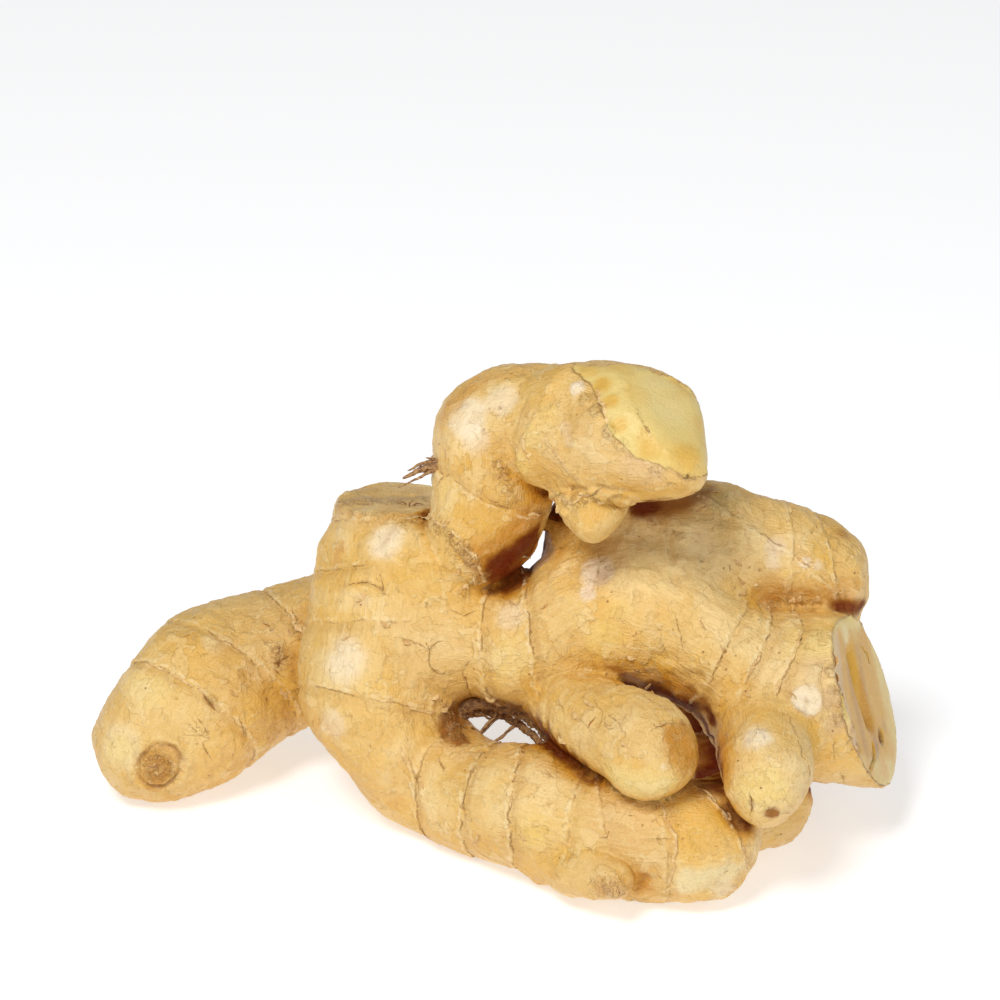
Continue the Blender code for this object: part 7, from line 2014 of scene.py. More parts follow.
# Loose curls of torn skin: place, run direction, length, width, lift.
CURLS = [
    (16.4, -24.7, 38.1, 0.3, -0.94, -0.17, 4.5, 0.8, 0.5),
    (19.3, -29.6, 39.3, 0.55, 0.06, 0.83, 2.8, 0.7, 0.5),
    (22.5, -34.0, 40.7, 0.51, -0.86, 0.02, 3.7, 0.7, 0.5),
    (31.2, -18.9, 40.1, 0.07, -0.93, 0.35, 20.1, 0.7, 0.5),
    (18.9, -24.9, 40.9, 0.4, -0.91, 0.09, 4.2, 0.6, 0.4),
    (25.4, -39.1, 39.3, 0.61, -0.72, -0.33, 2.5, 0.6, 0.4),
    (32.5, -37.4, 42.6, 0.86, 0.49, 0.09, 2.5, 0.7, 0.4),
    (14.0, -22.8, 31.8, 0.49, -0.85, -0.18, 3.2, 0.7, 0.5),
    (-4.0, -25.0, 10.1, 0.35, -0.56, 0.75, 4.7, 0.7, 0.5),
    (5.8, -32.5, 15.1, 0.51, -0.34, -0.79, 2.3, 0.6, 0.4),
    (11.0, -26.2, 25.8, 0.58, -0.77, -0.26, 2.7, 0.7, 0.5),
    (21.9, -37.7, 18.4, 0.84, 0.05, 0.55, 2.3, 0.6, 0.4),
    (-17.7, -2.5, 43.4, 0.89, -0.12, -0.44, 2.3, 0.7, 0.5),
    (-22.1, -0.9, 46.8, 0.78, -0.32, -0.54, 2.6, 0.6, 0.4),
    (-27.8, 2.5, 50.7, 0.89, -0.45, -0.08, 2.3, 0.6, 0.4),
    (-30.3, -0.2, 43.3, 0.84, -0.24, 0.48, 2.5, 0.6, 0.4),
    (-12.0, -3.5, 31.5, 0.77, 0.6, 0.22, 2.6, 0.7, 0.5),
    (0.1, -5.2, 44.2, 0.44, -0.52, -0.73, 2.3, 0.6, 0.4),
    (3.6, -0.4, 51.3, 0.57, -0.82, -0.08, 2.8, 0.6, 0.4),
    (10.1, -4.8, 52.5, 0.76, -0.03, 0.65, 2.1, 0.6, 0.4),
    (27.4, -12.4, 44.9, 0.89, -0.17, -0.41, 2.2, 0.7, 0.5),
    (41.7, -12.5, 52.1, 0.49, -0.59, -0.64, 2.4, 0.6, 0.4),
    (49.4, 1.3, 59.4, 0.76, -0.16, -0.63, 1.9, 0.6, 0.4),
    (59.4, -21.5, 41.0, 0.49, -0.58, -0.66, 2.3, 0.6, 0.4),
    (-53.8, 7.3, 26.9, 0.69, 0.04, -0.72, 2.3, 0.6, 0.4),
    (-64.1, 14.9, 35.9, 0.88, 0.44, 0.19, 2.3, 0.6, 0.4),
    (-47.7, 21.5, 36.2, 0.73, -0.62, -0.29, 2.4, 0.7, 0.5),
    (50.4, -1.2, 54.0, 0.59, 0.81, 0.05, 2.6, 0.8, 0.6),
    (52.7, 0.8, 55.0, 0.7, 0.21, 0.68, 1.4, 0.7, 0.7),
    (42.0, 8.3, 68.5, 0.83, 0.48, 0.28, 2.2, 0.8, 0.6),
    (45.3, 12.8, 70.0, 0.74, 0.67, 0.05, 2.6, 0.7, 0.5),
    (32.7, 6.2, 66.5, 0.8, -0.47, -0.38, 2.3, 0.8, 0.5),
    (37.2, 4.1, 64.6, 0.82, -0.4, -0.42, 2.9, 0.8, 0.5),
    (50.0, 0.2, 56.0, 0.68, -0.01, -0.73, 2.1, 0.7, 0.6),
    (-40.7, 19.5, 36.2, 0.36, -0.7, -0.62, 2.4, 0.8, 0.8),
    (-42.6, 19.2, 35.1, 0.4, -0.64, -0.65, 2.2, 0.7, 0.6),
    (-5.7, 1.1, 54.2, 0.62, 0.02, 0.78, 2.0, 0.8, 0.8),
    (-7.3, 0.2, 58.1, 0.53, -0.38, 0.76, 2.3, 0.7, 0.7),
    (-3.7, 0.7, 56.0, 0.24, 0.49, -0.84, 3.3, 0.8, 0.7),
    (-9.0, 0.1, 68.8, -0.49, 0.47, -0.74, 2.5, 0.7, 0.6),
    (-12.3, 5.6, 67.5, -0.26, 0.72, -0.64, 4.9, 0.7, 0.5),
    (28.5, -12.0, 41.9, -0.89, 0.14, 0.43, 1.8, 0.7, 0.7),
    (45.6, -15.4, 48.3, 0.64, -0.43, -0.63, 1.8, 0.5, 0.5),
    (50.4, -20.6, 40.9, 0.5, -0.74, -0.45, 1.9, 0.5, 0.5),
    (-14.6, -13.1, 16.9, 0.26, -0.64, -0.72, 3.2, 0.7, 0.6),
    (-17.8, -10.8, 21.0, 0.39, -0.18, -0.91, 5.7, 0.8, 0.4),
    (-10.2, -2.6, 28.3, 0.61, 0.79, 0.12, 2.7, 0.8, 0.7),
    (-0.6, -2.9, 31.2, 0.87, 0.02, -0.5, 2.8, 0.7, 0.6),
    (13.1, -14.3, 89.4, 0.68, -0.5, -0.53, 2.8, 0.7, 0.4),
    (2.1, -2.3, 80.1, 0.34, -0.12, -0.93, 1.8, 0.8, 0.7),
    (1.1, -1.9, 82.5, 0.57, -0.13, -0.81, 1.7, 0.7, 0.6),
    (67.8, -15.2, 45.4, 0.21, -0.52, -0.83, 2.7, 0.9, 0.7),
    (69.1, -18.6, 39.4, 0.36, 0.11, -0.92, 3.1, 0.9, 0.7),
    (71.3, -18.8, 33.2, 0.36, 0.11, -0.92, 3.1, 0.9, 0.7),
    (68.3, -17.1, 42.7, 0.25, -0.32, -0.91, 2.5, 0.8, 0.6),
    (60.5, 2.2, 50.8, 0.58, -0.07, 0.81, 2.0, 0.9, 0.7),
    (61.9, 2.3, 51.0, 0.32, -0.12, 0.94, 2.3, 0.8, 0.8),
    (65.5, 2.9, 50.8, 0.27, -0.1, 0.96, 2.0, 0.8, 0.7),
    (12.8, -10.7, 76.8, 0.37, -0.93, -0.07, 3.1, 1.0, 0.7),
]

# Dead roots and torn fibres: points, radius at the foot, radius at the tip, flatness.
ROOTS = [
    ([(-17.1, 19.8, 63.3), (-15.9, 19.1, 64.7), (-14.5, 18.7, 64.5)], 0.25, 0.1, 1.0),
    ([(-17.7, 20.6, 63.2), (-18.5, 20.1, 64.5), (-19.9, 19.8, 64.2)], 0.22, 0.08, 1.0),
    ([(-17.5, 18.8, 63.5), (-17.3, 18.2, 65.2), (-16.6, 17.8, 66.0)], 0.18, 0.08, 1.0),
    ([(-10.7, 4.5, 79.4), (-13.2, 4.4, 79.1), (-15.6, 4.0, 78.3), (-18.4, 3.7, 76.9)], 1.35, 0.3, 0.55),
    ([(-10.7, 4.7, 80.0), (-13.0, 4.0, 80.4), (-15.2, 3.9, 79.8), (-17.4, 4.1, 78.5)], 0.8, 0.18, 0.6),
    ([(-10.5, 4.5, 80.5), (-12.4, 3.8, 81.2), (-13.6, 3.7, 81.5)], 0.5, 0.2, 0.7),
    ([(-10.7, 4.4, 78.8), (-13.6, 3.6, 78.0), (-16.4, 3.2, 76.6), (-19.3, 2.8, 75.3)], 0.55, 0.12, 0.7),
    ([(5.0, 2.3, 60.7), (7.4, 1.5, 60.4)], 0.45, 0.2, 1.0),
    ([(-0.4, 3.0, 26.6), (0.6, 2.5, 24.8), (-1.5, 1.5, 22.5), (-3.7, 0.5, 20.1)], 0.45, 0.3, 0.7),
    ([(2.4, 3.0, 27.1), (1.2, 2.6, 24.1), (-1.1, 1.6, 22.3), (-3.3, 0.6, 20.2)], 0.38, 0.22, 0.8),
    ([(5.7, 3.0, 24.3), (4.5, 2.0, 22.5), (2.2, 1.0, 20.7), (-1.1, -0.5, 18.7)], 0.42, 0.3, 0.8),
    ([(-6.4, 1.0, 21.2), (-5.0, 0.8, 20.8), (-3.5, 0.6, 20.7)], 0.22, 0.2, 1.0),
    ([(-2.9, 3.0, 24.8), (-1.3, 2.4, 23.5), (0.6, 2.2, 23.6)], 0.35, 0.3, 0.8),
    ([(-9.1, 1.5, 22.3), (-7.4, 2.6, 25.0), (-5.0, 3.2, 26.5), (-1.1, 3.0, 27.1), (2.8, 2.0, 26.4), (6.1, 0.8, 25.4), (9.0, -1.5, 24.3), (11.8, -4.5, 22.2)], 1.7, 1.4, 0.8),
    ([(-9.3, 1.0, 19.8), (-8.1, 3.0, 22.0), (-5.8, 4.0, 23.6), (-1.7, 4.4, 24.1), (2.2, 3.8, 23.2), (5.3, 2.4, 22.1), (8.4, 0.4, 20.3), (11.1, -2.5, 18.8)], 1.0, 0.8, 0.7),
    ([(-9.7, 0.0, 18.9), (-8.7, 1.5, 20.9), (-7.5, 2.5, 22.7), (-5.4, 3.4, 24.6)], 1.3, 1.0, 0.7),
    ([(-9.1, 2.0, 18.3), (-7.5, 1.0, 18.2), (-5.8, 1.0, 19.3)], 0.9, 0.5, 0.6),
]

# Base colours (linear). Umber, ochre, amber, brown and deepgold also serve as painted shade, and cream and white as
# painted light, in some patches and folds.
TONES = {
    "skin": (0.81, 0.515, 0.15),
    "cream": (0.92, 0.7, 0.35),
    "white": (0.95, 0.81, 0.6),
    "gold": (0.79, 0.445, 0.065),
    "yellowgold": (0.84, 0.59, 0.155),
    "yellow": (0.88, 0.67, 0.22),
    "deepgold": (0.74, 0.39, 0.045),
    "tan": (0.72, 0.44, 0.14),
    "dry": (0.56, 0.36, 0.155),
    "palend": (0.84, 0.68, 0.36),
    "pinktan": (0.7, 0.45, 0.22),
    "ochre": (0.6, 0.25, 0.018),
    "orange": (0.72, 0.36, 0.06),
    "amber": (0.58, 0.24, 0.014),
    "brown": (0.32, 0.115, 0.018),
    "umber": (0.15, 0.017, 0.002),
    "pink": (0.78, 0.54, 0.3),
    "rose": (0.88, 0.68, 0.47),
    "green": (0.62, 0.5, 0.18),
    "pulp": (0.8, 0.61, 0.215),
    "pulp_gold": (0.72, 0.385, 0.03),
    "pulp_amber": (0.56, 0.25, 0.014),
    "pulp_skin": (0.78, 0.46, 0.12),
    "pulp_pale": (0.85, 0.71, 0.34),
    "pulp_white": (0.9, 0.8, 0.55),
    "pulp_tan": (0.64, 0.38, 0.12),
    "pulp_pink": (0.7, 0.45, 0.24),
    "pulp_brown": (0.32, 0.14, 0.03),
}


# ------------------------------------------------------------------- noise
def hash3(i, j, k, seed):
    n = (i.astype(np.int64) * 73856093) ^ (j.astype(np.int64) * 19349663) ^ (k.astype(np.int64) * 83492791) ^ (seed * 2654435761)
    n = (n ^ (n >> 13)) & 0x7FFFFFFF
    n = (n * 1274126177 + 1013904223) & 0x7FFFFFFF
    n = (n ^ (n >> 15)) & 0x7FFFFFFF
    n = (n * 668265263 + 374761393) & 0x7FFFFFFF
    return ((n >> 7) & 0xFFFF) / 65535.0


def value_noise(p, seed=0):
    """Smooth noise from -1 to 1 at points p (in cells)."""
    i = np.floor(p).astype(np.int64)
    f = p - i
    f = f * f * f * (f * (f * 6 - 15) + 10)
    total = 0
    for dx in (0, 1):
        wx = f[:, 0] if dx else 1 - f[:, 0]
        for dy in (0, 1):
            wy = f[:, 1] if dy else 1 - f[:, 1]
            for dz in (0, 1):
                wz = f[:, 2] if dz else 1 - f[:, 2]
                total = total + wx * wy * wz * hash3(i[:, 0] + dx, i[:, 1] + dy, i[:, 2] + dz, seed)
    return total * 2 - 1


def fractal(p, size, octaves=3, seed=0, gain=0.5):
    total, weight, amp = 0, 0, 1.0
    for o in range(octaves):
        total = total + amp * value_noise(p / (size * 0.5 ** o) + 17.3 * o, seed + o * 101)
        weight += amp
        amp *= gain
    return total / weight


def ridged(p, size, octaves=2, seed=0):
    return 1 - 2 * np.abs(fractal(p, size, octaves, seed))


def smooth(x, lo, hi):
    t = np.clip((x - lo) / (hi - lo), 0, 1)
    return t * t * (3 - 2 * t)


# ------------------------------------------------------------ growth lines
def growth_line(stations):
    p = np.array(stations, float)
    p = np.vstack([2 * p[0] - p[1], p, 2 * p[-1] - p[-2]])
    rows = []
    for i in range(1, len(p) - 2):
        a, b, c, d = p[i - 1:i + 3]
        n = max(2, math.ceil(np.linalg.norm(c[:3] - b[:3]) / STEP))
        for j in range(n):
            t = j / n
            rows.append(0.5 * (2 * b + (c - a) * t + (2 * a - 5 * b + 4 * c - d) * t * t
                               + (3 * b - 3 * c + d - a) * t ** 3))
    rows.append(p[-2])
    return np.array(rows)


LINES = {name: growth_line(stations) for name, (_, stations) in FINGERS.items()}
ORDER = list(FINGERS)


def line_frames(line):
    """Arc length, tangent and a twist-free pair of side directions along a line."""
    seg = np.diff(line[:, :3], axis=0)
    size = np.linalg.norm(seg, axis=1)
    arc = np.concatenate([[0], np.cumsum(size)])
    tan = seg / size[:, None]
    side = []
    e = np.cross(tan[0], (0.3, 0.2, 0.93))
    e /= np.linalg.norm(e)
    for t in tan:
        e = e - (e @ t) * t
        e /= np.linalg.norm(e)
        side.append(e.copy())
    side = np.array(side)
    return arc, tan, side, np.cross(tan, side)


FRAMES = {name: line_frames(line) for name, line in LINES.items()}


def blend(d, g, e, h, k, sign):
    t = np.clip(0.5 + 0.5 * sign * (d - e) / k, 0, 1)
    return (d * (1 - t) + e * t - sign * k * t * (1 - t),
            g * (1 - t)[:, None] + h * t[:, None])


def finger_field(name, points, full=False):
    """Signed distance to one finger and its gradient; with full, also the
    straightened coordinates and how deep in each of its cut faces a point is."""
    line = LINES[name]
    arc, tan, e1, e2 = FRAMES[name]
    best = np.full(len(points), 1e9)
    grad = np.zeros((len(points), 3))
    straight = np.zeros((len(points), 3)) if full else None
    for i, (a, b) in enumerate(zip(line[:-1], line[1:])):
        seg = b[:3] - a[:3]
        rel = points - a[:3]
        t = np.clip(rel @ seg / (seg @ seg), 0, 1)
        rel -= t[:, None] * seg
        length = np.sqrt((rel ** 2).sum(1)) + 1e-9
        dist = length - (a[3] + t * (b[3] - a[3]))
        near = np.nonzero(dist < best)[0]
        best[near] = dist[near]
        u = rel[near] / length[near, None]
        grad[near] = u
        if full:
            r = length[near]
            straight[near, 0] = (u @ e1[i]) * r
            straight[near, 1] = (u @ e2[i]) * r
            straight[near, 2] = arc[i] + t[near] * (arc[i + 1] - arc[i]) + (u @ tan[i]) * r
    depth = np.full(len(points), -9.0)
    for owner, point, normal, soft, face in CUTS:
        if owner == name:
            n = np.array(normal) / np.linalg.norm(normal)
            plane = (points - point) @ n
            if face == "moist":
                depth = np.maximum(depth, plane - best)
            best, grad = blend(best, grad, plane, n[None, :].repeat(len(points), 0), soft, -1)
    return (best, grad, straight, depth) if full else (best, grad)


def inside_reach(name, points, extra):
    line = LINES[name]
    reach = line[:, 3].max() + extra
    return np.nonzero(((points > line[:, :3].min(0) - reach) & (points < line[:, :3].max(0) + reach)).all(1))[0]


def form_field(points, extra=9.0, full=False):
    """Signed distance to the whole hand and its gradient.  With full, also each
    finger's own distance, and the straightened coordinates of the nearest."""
    total = None
    own = {}
    for branch in BRANCHES:
        dist = np.full(len(points), extra)
        grad = np.zeros((len(points), 3))
        grad[:, 2] = 1.0
        for name in branch:
            if full and name in own:
                rows, d, g, _, _ = own[name]
            else:
                rows = inside_reach(name, points, extra)
                if not len(rows):
                    continue
                if full:
                    d, g, s, c = finger_field(name, points[rows], True)
                    own[name] = (rows, d, g, s, c)
                else:
                    d, g = finger_field(name, points[rows])
            if len(rows):
                dist[rows], grad[rows] = blend(dist[rows], grad[rows], d, g, FINGERS[name][0], 1)
        total = (dist, grad) if total is None else blend(*total, dist, grad, FOLD, 1)
    return (*total, own) if full else total


# ---------------------------------------------------------------- mesh help
def coords(mesh):
    co = np.empty(len(mesh.vertices) * 3)
    mesh.vertices.foreach_get("co", co)
    return co.reshape(-1, 3)


def set_coords(mesh, co):
    mesh.vertices.foreach_set("co", np.ascontiguousarray(co, np.float32).ravel())
    mesh.update()


def edge_ends(mesh):
    e = np.empty(len(mesh.edges) * 2, np.int32)
    mesh.edges.foreach_get("vertices", e)
    return e.reshape(-1, 2)


def relax(co, ends, factor=0.5, passes=1):
    n = len(co)
    count = np.bincount(ends.ravel(), minlength=n).astype(float)
    for _ in range(passes):
        mean = np.stack([np.bincount(ends[:, 0], co[ends[:, 1], k], n) + np.bincount(ends[:, 1], co[ends[:, 0], k], n)
                         for k in range(co.shape[1])], 1) / count[:, None]
        co = co + factor * (mean - co)
    return co


def apply_modifier(ob, kind, **settings):
    mod = ob.modifiers.new(kind.lower(), kind)
    for key, value in settings.items():
        setattr(mod, key, value)
    depsgraph = bpy.context.evaluated_depsgraph_get()
    mesh = bpy.data.meshes.new_from_object(ob.evaluated_get(depsgraph))
    ob.modifiers.remove(mod)
    old = ob.data
    ob.data = mesh
    bpy.data.meshes.remove(old)


def store(mesh, name, values):
    values = np.asarray(values, np.float32)
    kind = "FLOAT" if values.ndim == 1 else "FLOAT_VECTOR"
    layer = mesh.attributes.get(name) or mesh.attributes.new(name, kind, "POINT")
    layer.data.foreach_set("value" if kind == "FLOAT" else "vector", np.ascontiguousarray(values).ravel())


def unit(v):
    return v / np.maximum(np.linalg.norm(v, axis=-1, keepdims=True), 1e-9)


def polyline_frame(points, line, normals):
    """Nearest distance, signed side distance and run along a polyline, for points near it."""
    line = np.array(line, float)
    best = np.full(len(points), 1e9)
    side = np.zeros(len(points))
    run = np.zeros(len(points))
    arc = 0.0
    for a, b in zip(line[:-1], line[1:]):
        seg = b - a
        size = np.linalg.norm(seg)
        rel = points - a
        t = np.clip(rel @ seg / (size * size), 0, 1)
        rel = rel - t[:, None] * seg
        d = np.linalg.norm(rel, axis=1)
        near = d < best
        best = np.where(near, d, best)
        across = np.cross(normals, seg / size)
        side = np.where(near, np.sign((rel * across).sum(1)) * d, side)
        run = np.where(near, arc + t * size, run)
        arc += size
    return best, side, run, arc


def near_box(points, lo, hi, reach):
    return np.nonzero(((points > np.array(lo) - reach) & (points < np.array(hi) + reach)).all(1))[0]


# ------------------------------------------------------------------ the skin
def skin_mesh():
    """The CAD solid's own skin, remeshed fine and settled on the exact form."""
    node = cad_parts["rhizome"]
    mesh = node.data.copy()
    mesh.materials.clear()
    ob = bpy.data.objects.new("ginger_skin", mesh)
    bpy.context.scene.collection.objects.link(ob)
    set_coords(ob.data, coords(ob.data) / MM - SHIFT)
    apply_modifier(ob, "REMESH", mode="VOXEL", voxel_size=VOXEL, adaptivity=0.0)
    ends = edge_ends(ob.data)
    co = relax(coords(ob.data), ends, 0.5, 4)
    for k, reach in enumerate((0.8, 0.3)):
        d, g = form_field(co)
        co -= g * (np.clip(d, -reach, reach) / np.maximum((g ** 2).sum(1), 0.3))[:, None]
        co = relax(co, ends, 0.5, 2 if k == 0 else 1)
    d, g, own = form_field(co, 9.0, True)
    co -= g * (np.clip(d, -0.3, 0.3) / np.maximum((g ** 2).sum(1), 0.3))[:, None]
    return ob, co, unit(g), own, ends


def describe(co, nrm, own):
    """Everything the surface knows about itself, at each vertex."""
    n = len(co)
    f = {}
    near = np.full(n, 99.0)
    second = np.full(n, 99.0)
    who = np.zeros(n, int)
    straight = np.zeros((n, 3))
    flesh = np.full(n, -4.0)
    dist = {}
    for index, name in enumerate(ORDER):
        if name not in own:
            continue
        rows, d, _, s, c = own[name]
        full = np.full(n, 99.0)
        full[rows] = d
        dist[name] = full
        closer = d < near[rows]
        second[rows] = np.where(closer, near[rows], np.minimum(second[rows], d))
        near[rows] = np.where(closer, d, near[rows])
        pick = rows[closer]
        who[pick] = index
        straight[pick] = s[closer] + (0, 0, 137.0 * index)
        cut = c > -4
        r = rows[cut]
        good = d[cut] < 0.6
        flesh[r[good]] = np.maximum(flesh[r[good]], c[cut][good])
    f["who"] = who
    f["margin"] = smooth(second - near, 0.0, 1.6)
    f["grow"] = straight
    f["dist"] = dist
    f["flesh"] = np.clip(flesh, -4, 6)
    warp = 0.9 * np.stack([value_noise(co / 2.3, 91 + k) for k in range(3)], 1)
    f["peel"] = fractal(co + warp, 10.0, 4, 95, 0.55)
    f["flake"] = fractal(co + warp, 4.6, 4, 96, 0.6)
    return f


def ring_field(co, f):
    """Signed distance to the nearest growth ring, in two interleaved sets so
    that a value never jumps sign near a line, and how strongly it shows."""
    n = len(co)
    out = {}
    wob = 0.55 * fractal(co, 7.0, 2, 11) + 0.35 * fractal(co, 1.9, 2, 12) + 0.16 * value_noise(co / 0.7, 14)
    for part in (0, 1):
        q = np.full(n, 9.0)
        w = np.zeros(n)
        sharp = np.zeros(n)
        for index, (name, point, normal, strength, kind) in enumerate(RINGS):
            if index % 2 != part or name not in f["dist"]:
                continue
            line = LINES[name]
            point = np.array(point, float)
            k = np.argmin(np.linalg.norm(line[:, :3] - point, axis=1))
            centre, radius = line[k, :3], line[k, 3]
            normal = unit(np.array(normal, float))
            rel = co - centre
            far = np.linalg.norm(rel, axis=1)
            s = (co - point) @ normal + wob
            own_d = f["dist"][name]
            weight = (1 - smooth(far, radius * 1.45, radius * 1.8)) * (1 - smooth(own_d - 0.2, 1.0, 2.6))
            near = (np.abs(s) < 9) & (weight > 0) & (np.abs(s) < np.abs(q))
            q = np.where(near, s, q)
            w = np.where(near, weight, w)
            sharp = np.where(near, strength, sharp)
        out[part] = (q, w * sharp)
    return out


def bumps(co, nrm, f, rings):
    """Height of the real skin over the smooth form, in mm."""
    n = len(co)
    flesh = smooth(f["flesh"] + 0.5 * fractal(co, 2.0, 2, 31), -0.3, 0.5)
    skin = 1 - flesh
    g = f["grow"]
    h = np.zeros(n)
    # slow lumps, and the small dents of a drying skin
    h += skin * (0.62 * fractal(co, 11.0, 2, 1) + 0.34 * fractal(co, 4.6, 2, 2) + 0.10 * fractal(co, 1.6, 2, 3))
    # the outer layers of skin have flaked off here and there, in low crisp steps
    h += skin * (0.13 * smooth(f["peel"], 0.03, 0.08) + 0.10 * smooth(f["peel"], -0.27, -0.22) + 0.11 * smooth(f["flake"], 0.22, 0.28)
                 - 0.10 * smooth(-f["flake"], 0.26, 0.32))
    # flats and low ridges, as where soil pressed on the young skin
    h -= skin * 0.30 * smooth(np.abs(fractal(co, 8.0, 2, 4)), 0.0, 0.22) * smooth(fractal(co, 20.0, 1, 7), -0.4, 0.3)
    # lengthwise wrinkles in the straightened finger
    wrinkle = ridged(g * (1.0, 1.0, 0.16), 2.6, 2, 5)
    h += skin * f["margin"] * 0.09 * wrinkle * smooth(fractal(co, 14.0, 1, 6), -0.5, 0.4)
    # joints swell between rings and step down across each ring
    for q, w in rings.values():
        ledge = 0.46 * np.exp(-((q + 0.55) / 0.60) ** 2) - 0.48 * np.exp(-((q - 0.42) / 0.45) ** 2)
        waist = -0.38 * np.exp(-(q / 2.4) ** 2)
        h += skin * w * (ledge * (0.55 + 0.45 * fractal(co, 3.0, 1, 21)) + waist)
        pleat = ridged(g * (1.0, 1.0, 0.22), 1.5, 1, 9)
        h += skin * w * 0.07 * pleat * np.exp(-((q + 1.3) / 1.2) ** 2)
    # cut faces keep a little of the fibre that tore
    h += flesh * (0.10 * fractal(co, 3.5, 2, 41) + 0.035 * fractal(co, 0.9, 2, 42))
    # scars, cracks, scaly places
    for x, y, z, r, kind in SCARS:
        rows = near_box(co, (x, y, z), (x, y, z), 2.2 * r)
        p = co[rows]
        rr = np.linalg.norm(p - (x, y, z), axis=1) / r
        rr = rr * (1 + (0.24 if kind == "bud" else 0.10) * fractal(p, r * 0.6, 3, 51))
        if kind == "bud":        # concentric rings of a dormant bud
            hh = 0.75 * np.exp(-((rr - 1.0) / 0.15) ** 2) - 0.65 * np.exp(-((rr - 0.80) / 0.10) ** 2) \
                + 0.45 * np.exp(-((rr - 0.60) / 0.10) ** 2) - 0.80 * np.exp(-(rr / 0.40) ** 2) + 0.45 * np.exp(-(rr / 0.16) ** 2)
        elif kind == "root":     # healed root: low rim, sunk middle
            hh = 0.34 * np.exp(-((rr - 0.95) / 0.2) ** 2) - 0.40 * np.exp(-(rr / 0.5) ** 2)
        elif kind == "pit":      # small hole left by a rootlet
            hh = -0.75 * np.exp(-(rr / 0.7) ** 2) + 0.2 * np.exp(-((rr - 1.1) / 0.3) ** 2)
        elif kind == "knob":     # low pale knob
            hh = 0.7 * np.exp(-(rr / 0.75) ** 2)
        elif kind == "dent":
            hh = -0.6 * np.exp(-(rr / 0.7) ** 2)
        else:
            hh = -0.10 * np.exp(-(rr / 0.7) ** 2)
        h[rows] += hh
    for points, radius, amount in LUMPS:
        rows = near_box(co, np.min(points, 0), np.max(points, 0), 2.2 * radius)
        if len(rows):
            line = points if len(points) > 1 else [points[0], np.array(points[0]) + 0.01]
            d, _, _, _ = polyline_frame(co[rows], line, nrm[rows])
            h[rows] += amount * np.exp(-(d / (0.7 * radius)) ** 2)
    for points, width, depth in CRACKS:
        rows = near_box(co, np.min(points, 0), np.max(points, 0), 2.5)
        if not len(rows):
            continue
        d, side, run, total = polyline_frame(co[rows] + 0.22 * np.stack([value_noise(co[rows] / 0.9, 61 + k) for k in range(3)], 1), points, nrm[rows])
        h[rows] -= depth * np.exp(-(d / (0.55 * width)) ** 2)
        h[rows] += 0.35 * depth * np.exp(-((side - 1.1 * width) / (0.7 * width)) ** 2) * (d < 3 * width)
    for x, y, z, r, amount in SCALY:
        rows = near_box(co, (x, y, z), (x, y, z), 1.5 * r)
        p = co[rows]
        rr = np.linalg.norm(p - (x, y, z), axis=1) / r
        m = amount * (1 - smooth(rr + 0.2 * fractal(p, 2.5, 1, 70), 0.7, 1.15))
        h[rows] += m * (0.34 * ridged(p, 2.0, 2, 71) + 0.16 * ridged(p, 0.9, 1, 72))
    for points, width, height in EDGES:
        rows = near_box(co, np.min(points, 0), np.max(points, 0), max(4.0, 2.8 * width))
        if not len(rows):
            continue
        p = co[rows] + 0.45 * np.stack([value_noise(co[rows] / 1.3, 81 + k) for k in range(3)], 1)
        d, side, run, total = polyline_frame(p, points, nrm[rows])
        body = np.where(side > 0, np.exp(-(side / width) ** 2), np.exp(-(side / 0.30) ** 2))
        fade = smooth(run, 0, 1.2) * (1 - smooth(run, total - 1.2, total))
        h[rows] += height * body * (d < max(3.5, 2.5 * width)) * fade
    return h


def hollow_field(co, nrm):
    """How shut in each point is, from 0 in the open to 1 in a tight fold."""
    total = np.zeros(len(co))
    for reach, weight in ((1.5, 0.2), (4.0, 0.4), (8.0, 0.4)):
        d, _ = form_field(co + nrm * reach, 9.0)
        total += weight * np.clip(1 - d / reach, 0, 1)
    return total


